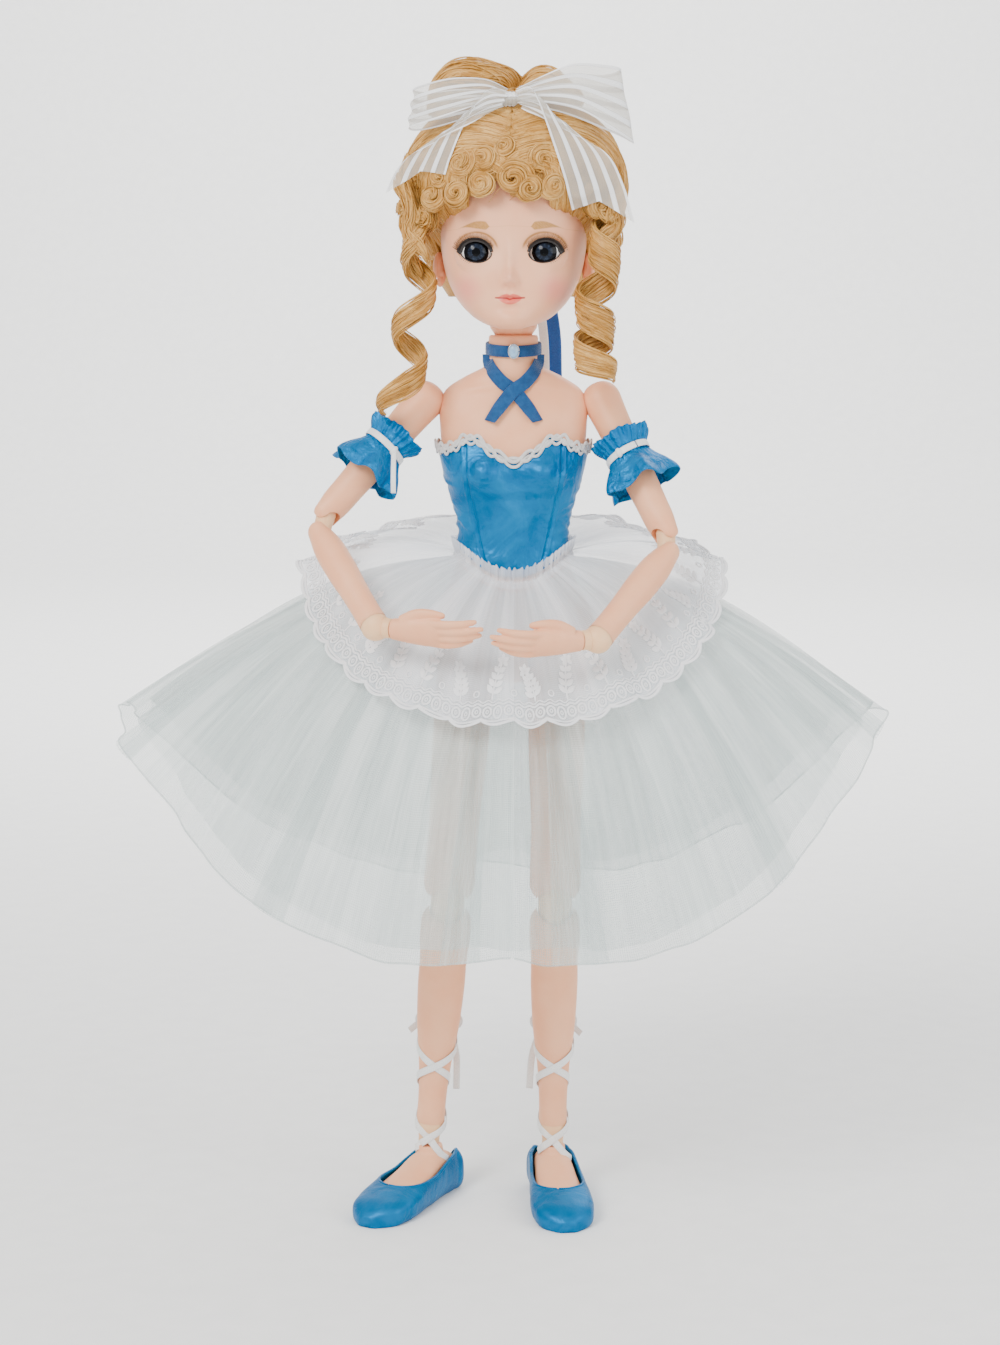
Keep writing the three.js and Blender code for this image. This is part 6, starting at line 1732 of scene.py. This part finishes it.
tulle = net_paint("tulle", rgb(150, 172, 172), rgb(222, 232, 230), 0.4, 1.1)
white_tulle = net_paint("lace_net", rgb(222, 229, 238), rgb(240, 243, 248), 0.62, 0.9)
lace = plain_paint(
    "lace", rgb(232, 234, 238), rgb(245, 246, 248), 2.2, 0.25, rough=0.6, Roughness=0.75, Sheen_Weight=0.2
)


# Half widths, depths and hem heights of the skirts, and what the hems rise by
UNDER_LEFT, UNDER_RIGHT, UNDER_DEEP, UNDER_HEM, UNDER_RISE = 191, 205, 112, 153, 113
OVER_WIDE, OVER_DEEP, OVER_HEM, OVER_RISE, OVER_BACK = 107, 84, 268, 69, 20
PUFF_AHEAD, PUFF_BEHIND = 10, 34


def skirt_start(ahead, drop):
    waist = waistline(ahead) - drop
    row = lookup(TORSO_ROWS, waist)
    return waist, row[..., 1] + 1.9, np.where(ahead > 0, row[..., 2], row[..., 3]) + 1.9


def under_place(angle, down, phase=0.0, scale=1.0, lower=0.0):
    """The wide underskirt: angle 0 is ahead, a quarter turn is the doll's left."""
    angle, down = np.broadcast_arrays(np.asarray(angle, float), np.asarray(down, float))
    across, ahead = np.sin(angle), np.cos(angle)
    waist, start_x, start_y = skirt_start(ahead, 7.6)
    reach_x = np.where(across > 0, UNDER_LEFT, UNDER_RIGHT) * scale - start_x
    reach_y = UNDER_DEEP * scale - start_y
    hem = UNDER_HEM + UNDER_RISE * np.abs(across) ** 3.2 + lower
    out = down**0.82
    w = 0.55 * np.cos(10 * angle) + 0.26 * np.cos(17 * angle + 1.1 + phase)
    w = w + 0.22 * np.cos(27 * angle + 0.6 + 0.9 * np.sin(3 * angle) + phase)
    w = w + 0.1 * np.cos(46 * angle + phase * 2) * down
    fold = 0.045 * w * down**1.1
    puff = np.where(ahead < 0, -PUFF_BEHIND * ahead, PUFF_AHEAD * ahead)
    puff = puff * np.sin(down * math.pi) * (1 - down * 0.5)
    gather = 0.7 * np.sin(90 * angle + phase) * np.clip(1 - down * 7, 0, 1)
    return np.stack([
        across * (start_x + gather + reach_x * (out + fold * out)),
        -ahead * (start_y + gather + reach_y * (out + fold * out)),
        waist + (hem - waist) * down**1.25 + puff + 4.4 * w * down,
    ], axis=-1)


def over_place(angle, down):
    """The overskirt, gathered at the waist, longest ahead."""
    angle, down = np.broadcast_arrays(np.asarray(angle, float), np.asarray(down, float))
    across, ahead = np.sin(angle), np.cos(angle)
    waist, start_x, start_y = skirt_start(ahead, 3)
    reach_y = OVER_DEEP - start_y
    front = OVER_HEM + OVER_RISE * (1 - np.clip(ahead, 0, 1)) ** 1.1
    back = OVER_HEM + OVER_RISE + OVER_BACK * np.clip(-ahead, 0, 1) ** 1.5
    hem = np.where(ahead > 0, front, back)
    w = 0.6 * np.cos(12 * angle) + 0.4 * np.cos(21 * angle + 1.9)
    w = w + 0.3 * np.cos(33 * angle + 0.7 + 0.6 * np.sin(5 * angle))
    gather = 0.9 * np.sin(64 * angle + np.sin(9 * angle))
    gather = gather * np.clip(1 - down * 2.2, 0, 1) ** 0.7 * np.clip(down * 12, 0.4, 1)
    puff = 7 * np.sin(np.clip(down, 0, 1) * math.pi)
    return np.stack([
        across * (start_x + gather * 0.5 + (OVER_WIDE - start_x) * down * (1 + 0.018 * w * down)),
        -ahead * (start_y + gather * 0.5 + reach_y * down * (1 + 0.02 * w * down)),
        waist + (hem - waist) * down + puff + (2.0 * w + gather * 0.6) * np.clip(down, 0.25, 1),
    ], axis=-1)


turn = circle(720)
layers = []
for phase, scale, lower, reach in ((0.0, 1.0, 0.0, 1.0), (2.1, 0.955, -2.0, 0.97)):
    downs = np.linspace(0, reach, 64)[:, None]
    rows = under_place(turn[None, :], downs, phase, scale, lower)
    layers.append(grid("underskirt_layer", rows, "pelvis", uv=ring_uv(rows)))
for centre, half in (
    (-0.13, 0.05), (0.17, 0.075), (-0.62, 0.04), (0.78, 0.05), (-1.2, 0.035), (1.3, 0.035)
):
    t = np.linspace(-1, 1, 13)[None, :]
    downs = np.linspace(0.02, 1.0, 64)[:, None]
    rows = under_place(centre + t * half * (0.25 + 0.75 * downs), downs)
    lift = 0.9 + 1.2 * (1 - t**2) * downs
    rows = rows + unit(rows * (1, 1, 0)) * lift[..., None]
    layers.append(grid("underskirt_panel", rows, "pelvis", closed=False, uv=strip_uv(rows)))
hem_line = under_place(turn, 1.0)
layers.append(cord(
    "underskirt_hem", np.vstack([hem_line, hem_line[:1]]), 0.45, 0.45, (0, 0, 1), "pelvis", sides=6,
    looped=True
))
underskirt = dress(join("underskirt_net", layers), tulle, "pelvis", ["underskirt"])

fine_turn = np.linspace(0, 2 * math.pi, 2881)
hem_points = over_place(fine_turn, 1.0)
hem_run = run_along(hem_points)
hem_length = hem_run[-1]
falls = over_place(fine_turn[::8, None], np.linspace(0, 1, 30)[None, :])
drop_lengths = np.linalg.norm(np.diff(falls, axis=1), axis=2).sum(1)
SCALLOP_WIDE, SCALLOP_DEEP, SPRIG_APART = 16.5, 3.2, 21
scallops = round(hem_length / SCALLOP_WIDE)
pitch = hem_length / scallops


def on_skirt(x, y, lift=0.0):
    """Places on the overskirt, x along its hem and y up from it, in millimetres."""
    x, y = np.broadcast_arrays(np.asarray(x, float), np.asarray(y, float))

    def spot(x, y):
        angle = np.interp(x % hem_length, hem_run, fine_turn)
        return over_place(angle, 1 - y / np.interp(angle, fine_turn[::8], drop_lengths))

    here = spot(x, y)
    face = unit(np.cross(spot(x + 0.4, y) - here, spot(x, y + 0.4) - here))
    face = face * np.sign(face[..., 2:3] + 1e-6)
    return here + face * np.asarray(lift)[..., None], face


run = hem_length * np.arange(scallops * 16) / (scallops * 16)
edge = SCALLOP_DEEP * np.abs(np.sin(math.pi * run / pitch)) ** 0.8
angles = np.interp(run, hem_run, fine_turn)
reach = 1 + edge / np.interp(angles, fine_turn[::8], drop_lengths)
downs = np.linspace(0, 1, 46)[:, None]
rows = over_place(angles[None, :], downs * reach[None, :])
over_net = grid("overskirt_net", rows, "pelvis", uv=ring_uv(rows))
dress(over_net, white_tulle, "pelvis", ["overskirt"])

heading_turn = circle(900)
ahead = np.cos(heading_turn)
gathers = 0.6 * np.sin(62 * heading_turn + np.sin(9 * heading_turn)) + 0.4 * np.sin(97 * heading_turn + 1)
heading = []
for t in np.linspace(0, 1, 14):
    rise = -6.5 + t * (10.5 + 1.2 * gathers)
    waist = waistline(ahead) + rise
    row = lookup(TORSO_ROWS, waist)
    out = 2.9 + 1.9 * t**1.5 + (0.35 + 0.9 * t) * gathers - 0.9 * bump(rise, -2.5, 1.6)
    deep = np.where(ahead > 0, row[..., 2], row[..., 3]) + out
    heading.append(np.stack([np.sin(heading_turn) * (row[..., 1] + out), -ahead * deep, waist], axis=-1))
heading = grid("overskirt_heading", heading, "pelvis", uv=ring_uv(heading))
dress(heading, white_tulle, "pelvis")

# Lace: threads along the hem, rings, leaves and sprigs, each laid on the overskirt
parts = []


def thread(x, y, wide):
    line, face = on_skirt(x, y, 0.3)
    parts.append(cord("thread", line, wide, 0.3, face, "pelvis", sides=6))


def loop_thread(centre_x, centre_y, radius_x, radius_y, wide, count=14):
    b = np.linspace(0, 2 * math.pi, count + 1)
    line, face = on_skirt(centre_x + radius_x * np.cos(b), centre_y + radius_y * np.sin(b), 0.35)
    across = unit(line - line.mean(0))
    c = circle(6)[:, None]
    parts.append(grid("ring", [
        p + w * wide * np.cos(c) + f * 0.28 * np.sin(c) for p, w, f in zip(line, across, face)
    ], "pelvis"))


def leaf(x, y, angle, length, wide):
    c, s = math.cos(angle), math.sin(angle)
    rows = []
    for k in np.linspace(0.02, 0.98, 6):
        half = wide * math.sin(math.pi * k) ** 0.8 / 2
        rows.append([
            on_skirt(x + c * length * k - s * w * half, y + s * length * k + c * w * half, 0.2 + h)[0]
            for w, h in ((-1, 0.1), (-0.5, 0.4), (0, 0.25), (0.5, 0.4), (1, 0.1))
        ])
    parts.append(grid("leaf", rows, "pelvis", closed=False))


ring_pitch = pitch / 3
whole_run = np.linspace(0, hem_length, scallops * 20 + 1)
bow_edge = np.abs(np.sin(math.pi * whole_run / pitch)) ** 0.8
ripple = np.cos(2 * math.pi * whole_run / ring_pitch)
thread(whole_run, -SCALLOP_DEEP * bow_edge, 0.85)
thread(whole_run, 0.6 - 1.9 * bow_edge, 0.6)
thread(whole_run, 7.1 - 0.5 * ripple, 0.6)
thread(whole_run, 8.6 - 0.6 * ripple, 0.4)
for i in range(scallops * 3):
    low = -1.0 if i % 3 == 1 else 0.0
    loop_thread((i + 0.5) * ring_pitch, 3.7 + low * 0.5, 2.1, 2.3 - low * 0.6, 0.6)
    loop_thread((i + 0.5) * ring_pitch, 3.7 + low * 0.5, 0.7, 0.8, 0.4, 8)
sprigs = round(hem_length / SPRIG_APART)
for i in range(sprigs):
    x0 = hem_length * (i + 0.5) / sprigs
    lean = 1 if i % 2 else -1
    tall = 15 + 4 * (i % 3)
    t = np.linspace(0, 1, 12)
    sx, sy = x0 + lean * 5 * t**2 - lean * 1.5, 9 + tall * t
    thread(sx, sy, 0.5)
    for k in (0.2, 0.4, 0.6, 0.78):
        j = int(k * 11)
        for way in (-1, 1):
            leaf(sx[j], sy[j], math.pi / 2 - lean * 0.25 + way * 0.95, 6.4 - 2.4 * k, 2.9)
    for k in range(5):
        leaf(sx[-1], sy[-1] + 0.4, math.pi / 2 + (k - 2) * 1.15, 4.2, 2.6)
    loop_thread(x0 + hem_length / sprigs / 2, 12.2, 1.5, 1.5, 0.45, 10)
lace_work = dress(join("overskirt_lace", parts), lace, "pelvis")


# Arm bands: ruffled satin tied round the middle with white ribbon
BAND_Z, TIE_RADIUS = -34, 11.7
# Height, how far it stands off the arm and how much it waves
RUFFLE = [
    (-16.5, 8.4, 2.9), (-15.5, 8.3, 2.9), (-9, 6.0, 2.0), (-2.5, 2.6, 0.8), (2, 1.1, 0.15), (5.5, 2.0, 0.5),
    (9, 4.2, 0.9), (11.8, 5.3, 1.2), (12.6, 5.4, 1.2)
]
for name, side in SIDES.items():
    body = name + "_upper_arm"
    phase = 1.3 * side
    a = circle(300)
    low_waves = 0.85 * np.cos(5 * a + phase) + 0.3 * np.cos(9 * a + 2.2 * phase)
    pleats = 0.8 * np.cos(21 * a + phase * 3 + 0.6 * np.sin(2 * a)) + 0.3 * np.cos(9 * a)
    rows = []
    for h, out, wave in lookup(RUFFLE, np.linspace(RUFFLE[0][0], RUFFLE[-1][0], 48)):
        w = pleats if h > 2 else low_waves
        r = 9.5 + out + wave * w + 0.3 * np.sin(30 * a) * bump(h, 2, 4)
        rows.append(np.column_stack([
            r * np.cos(a), r * np.sin(a), BAND_Z + h + 0.5 * wave * np.cos(5 * a + phase + 1)
        ]))
    band = grid("arm_ruffle_" + name, rows, body)
    thicken(band, 0.6, -1)
    dress(band, band_satin, body, ["arm_band_" + name])
    a = np.linspace(0, 2 * math.pi, 91)
    line = np.column_stack([
        TIE_RADIUS * np.cos(a), TIE_RADIUS * np.sin(a), BAND_Z + 2 + 0.8 * np.sin(a + side * 0.4)
    ])
    out = line * (1, 1, 0)
    parts = [cord("tie", line, 1.8, 0.35, out, body, sides=12, square=3, looped=True)]
    down = frames[body].to_3x3().inverted() @ Vector((0, 0, -1))
    forward = frames[body].to_3x3().inverted() @ Vector((0, -1, 0))
    # The knot sits where the tie is farthest ahead and down
    low = max(range(90), key=lambda k: Vector(line[k]).dot(forward) + 0.5 * Vector(line[k]).dot(down))
    start = Vector(line[low])
    if side < 0:
        fall = ((0, 0), (6, 5), (14, 8.5), (21, 8))
        path = along_curve([(start + down * a + forward * b)[:] for a, b in fall], 24)
        parts.append(cord("tie_tail", path, 1.3, 0.3, forward[:], body, square=3))
    knot = ball_rings(line[low], 1.9, 1.7, 2.6, np.linspace(-1.5, 1.5, 9), 16)
    parts.append(grid("tie_knot", knot, body, caps=BOTH_ENDS))
    ribbon = dress(join("arm_ribbon_" + name, parts), white_ribbon, body)


# Lacing: two ribbons from the slipper, crossed up the leg and tied behind
def tree_of(objects, matrix):
    """A ray target from pieces, in a body's frame."""
    points, faces = [], []
    graph = bpy.context.evaluated_depsgraph_get()
    for obj in objects:
        mesh = obj.evaluated_get(graph).to_mesh()
        co = np.zeros(len(mesh.vertices) * 3)
        mesh.vertices.foreach_get("co", co)
        base = len(points)
        points.extend(move(matrix.inverted(), co.reshape(-1, 3) / MM).tolist())
        faces.extend([base + v for v in p.vertices] for p in mesh.polygons)
    return BVHTree.FromPolygons(points, faces)


things = bpy.data.objects
for name, side in SIDES.items():
    body = name + "_shin"
    target = tree_of(
        [things["shin_skin_" + name], things["foot_skin_" + name], things["ankle_" + name]], frames[body]
    )

    def on_leg(h, theta, lift):
        """A place on the leg; h is over the ankle joint, theta is 0 in front."""
        out = Vector((math.sin(theta), -math.cos(theta), 0))
        axis = Vector((0, 1.5, -110.5 + h))
        hit = target.ray_cast(axis + out * 40, -out)[0]
        place = hit if hit else axis + out * 9
        return np.array(place + out * lift)

    parts = []
    for way in (-1, 1):
        theta = np.linspace(math.radians(-75), math.radians(535), 150)
        h = -6 + 40 * theta / (2 * math.pi) + (-4 if way < 0 else 0) * np.clip(-theta, 0, 1)
        centres = np.array([on_leg(k, way * t, 0.5 + 0.55 * (way > 0)) for k, t in zip(h, theta)])
        for _ in range(6):
            centres[1:-1] = centres[1:-1] * 0.5 + (centres[:-2] + centres[2:]) * 0.25
        out = unit((centres - (0, 1.5, 0)) * (1, 1, 0))
        parts.append(cord("lace_ribbon", centres, 1.9, 0.28, out, body, sides=12, square=3))
    knot = on_leg(52.5, math.pi, 1.2)
    rings = ball_rings(knot + (0, 0.6, 0), 2.8, 1.7, 2.4, np.linspace(-1.5, 1.5, 9), 18)
    parts.append(grid("lace_knot", rings, body, caps=BOTH_ENDS))
    for way, half, points in (
        (side, 1.8, [(0, 0.6, 0), (5, 2.6, -1), (11, 1.2, -3), (15, -1, -6)]),
        (-side, 1.8, [(0, 0.6, 0), (6, 2.4, -5), (11, 0.5, -18), (12.5, -2, -36)]),
        (1, 1.6, [
            (0, 0.8, 0.5), (6, 3.2, 2.6), (11, 3.2, 1.8), (10.6, 2.2, -2.2), (5, 1.6, -1.6), (0, 0.8, -0.4)
        ]),
        (-1, 1.6, [
            (0, 0.8, 0.5), (6, 3.2, 2.2), (10.6, 3.2, 1.2), (10, 2.2, -2.6), (5, 1.6, -1.8), (0, 0.8, -0.4)
        ]),
    ):
        line = along_curve([knot + (way * x, y, z) for x, y, z in points], 40)
        parts.append(cord("lace_end", line, half, 0.28, (0.1, 1, 0.2), body, square=3))
    lacing = dress(
        join("lacing_ribbon_" + name, parts), white_ribbon, body, ["lacing_" + name]
    )


# Hair bow of wide striped ribbon, and the ribbons behind the neck
BOW_RIBBON = 32


def bow_paint():
    paint = Paint("sheer_ribbon", Roughness=0.55, Sheen_Weight=0.3, Specular_IOR_Level=0.4)
    u, v = paint.uv()
    lanes = (u * (4 / BOW_RIBBON) + 0.5).fract() - 0.5
    stripe = 1 - abs(lanes).smooth(0.165, 0.2)
    ribs = paint.noise(1.0, 2, 0.5, paint.vector(u * 2, v * 3))
    paint.set(
        Base_Color=paint.mix(
            stripe, paint.ramp(ribs, (0.3, rgb(196, 190, 178)), (0.7, rgb(216, 212, 202))),
            paint.ramp(ribs, (0.3, rgb(228, 229, 230)), (0.7, rgb(246, 246, 247)))
        ),
        Roughness=0.7 - stripe * 0.35,
    )
    paint.relief((stripe, 0.25), (ribs, 0.05))
    paint.sheer((stripe * 0.5 + ribs * 0.1 + 0.42).least(1.0))
    return paint.material


sheer_ribbon = bow_paint()
hair_front = tree_of([things["combed_hair"], things["wig_cap"], things["fringe_curls"]], head)


def bow_strip(points, notch=0.0, gap=1.0, flutter=0.8):
    """A ribbon laid over the hair, from rows of its place, half width and the way across it."""
    count, columns = 44, 17
    data = along_curve(points, count)
    line, half, across = data[:, :3], data[:, 3], unit(data[:, 4:7])
    height = line[:, 2]
    lower = 3 * (line[:, 0] > 0) * np.clip((556 - height) / 30, 0, 1)
    line[:, 2] = height - (5.2 * np.clip((height - 530) / 30, 0, 1) + lower)
    t = np.linspace(-1, 1, columns)
    rows = line[:, None] + across[:, None] * (half[:, None] * t)[..., None]
    along = unit(np.gradient(line, axis=0))
    face = unit(np.cross(along, across))
    run = run_along(line)
    tight = 1 - np.clip(half / (BOW_RIBBON / 2), 0, 1)
    wave = np.sin(t[None, :] * (5 + 9 * tight[:, None]) + run[:, None] * 0.05)
    wave = wave * (0.5 * flutter + 1.5 * tight[:, None])
    rows = rows + face[:, None] * wave[..., None]
    if notch:
        left = run[-1] - run
        cut = notch * np.clip(1 - left / (2 * notch), 0, 1)[:, None] * (1 - np.abs(t))[None]
        rows = rows - along[:, None] * cut[..., None]
    # Laid in front of the hair and then drawn smooth
    raised = rows[..., 1].copy()
    for i in range(count):
        for j in range(columns):
            x, _, z = rows[i, j]
            hit = hair_front.ray_cast(Vector((x, -150, z)), Vector((0, 1, 0)))[0]
            if hit and hit.y - gap < raised[i, j]:
                raised[i, j] = hit.y - gap
    soft = raised.copy()
    for _ in range(10):
        padded = np.pad(soft, 1, mode="edge")
        soft = (padded[:-2, 1:-1] + padded[2:, 1:-1] + padded[1:-1, :-2] + padded[1:-1, 2:]) / 4
        soft = np.minimum(soft, raised)
    rows[..., 1] = soft
    return grid(
        "bow_ribbon", rows, "head", closed=False, uv=uv_grid(np.linspace(0, BOW_RIBBON, columns), run)
    )


# Two tails and two loops; each row is x, y, z, half width and the way across the ribbon
bow_parts = [
    bow_strip([
        (-3, -32, 575, 4.5, 0.5, 0, 1), (-12, -36, 573, 8.5, 0.55, -0.1, 1),
        (-24, -37, 566, 12.5, 0.75, -0.1, 0.75), (-36, -35, 555, 15, 0.9, 0, 0.5),
        (-43, -31, 541, 15.5, 1, 0.15, 0.35), (-47, -28, 529, 16, 1, 0.2, 0.3),
    ], notch=7),
    bow_strip([
        (4, -32, 575, 4.5, -0.5, 0, 1), (13, -36, 573, 9, -0.5, -0.1, 1),
        (24, -37, 566, 14, -0.8, -0.1, 0.7), (34, -35, 552, 15.5, -0.95, 0, 0.35),
        (41, -32, 534, 15.5, -1, 0.1, 0.2), (46, -30, 516, 16, -1, 0.15, 0.2),
    ], notch=8),
    bow_strip([
        (-2, -30, 577, 3.5, 0.1, 0, 1), (-13, -34, 579, 6, 0.1, 0, 1), (-29, -37, 576.5, 9, 0.15, 0, 1),
        (-43, -35, 573, 10, 0.2, -0.2, 1),
        (-49.5, -30, 571, 10, 0.2, -0.4, 1), (-44, -25, 570, 9.5, 0.2, -0.2, 1),
        (-26, -24, 573, 8, 0.1, 0, 1), (-3, -27, 576, 4, 0.1, 0, 1),
    ], flutter=0.3, gap=0.4),
    bow_strip([
        (3, -30, 577, 3.5, -0.1, 0, 1), (15, -33, 580, 6, -0.1, 0, 1), (32, -35, 581, 11, -0.15, 0, 1),
        (48, -33, 576, 16, -0.2, -0.1, 1),
        (57.5, -27, 572, 19, -0.2, -0.3, 1), (50, -22, 573, 15, -0.2, -0.1, 1),
        (28, -21, 578, 10, -0.1, 0, 1), (4, -26, 578, 4, -0.1, 0, 1),
    ], flutter=0.5, gap=0.4),
]
x = np.linspace(-3.6, 3.6, 21)
b = circle(60)
rows = []
for k in x:
    f = max(1 - (abs(k) / 3.9) ** 4, 0.02) ** 0.3
    r = f * (1 + 0.05 * np.cos(k * 3.2))
    rows.append(np.column_stack([
        np.full(60, k) + 0.5 * np.cos(b * 2), -30 + 3.2 * r * np.cos(b), 570.5 + 3.6 * r * np.sin(b)
    ]))
bow_parts.append(grid("bow_knot", rows, "head", caps=BOTH_ENDS))
bow = dress(join("hair_bow_ribbon", bow_parts), sheer_ribbon, "head", ["hair_bow"])

parts = []
for x, bottom in ((19, 398), (-9, 404)):
    line = along_curve(
        [
            (x * 0.5, 57.5, 482), (x * 0.8, 59, 474), (x, 55, 455), (x * 1.05, 50.5, 432),
            (x * 1.1, 47, bottom)
        ],
        50
    )
    parts.append(cord("ribbon_tail", line, 3.5, 0.4, (0.1, 1, 0.2), "head", sides=12, square=4))
knot = ball_rings((0, 55.5, 484), 15, 3.4, 5, np.linspace(-1.5, 1.5, 15), 36)
parts.append(grid("ribbon_knot", knot, "head", caps=BOTH_ENDS))
back_ribbon = dress(join("hair_ribbon_blue", parts), blue_ribbon, "head", ["hair_ribbon"])
line = along_curve([(8, 56.2, 480), (11, 57, 470), (13.6, 53, 452), (14.5, 48.5, 430), (15, 46, 404)], 50)
white_tail = dress(
    cord("hair_ribbon_white", line, 2.4, 0.35, (0.1, 1, 0.2), "head", sides=12, square=4), white_ribbon,
    "head"
)

low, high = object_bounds()
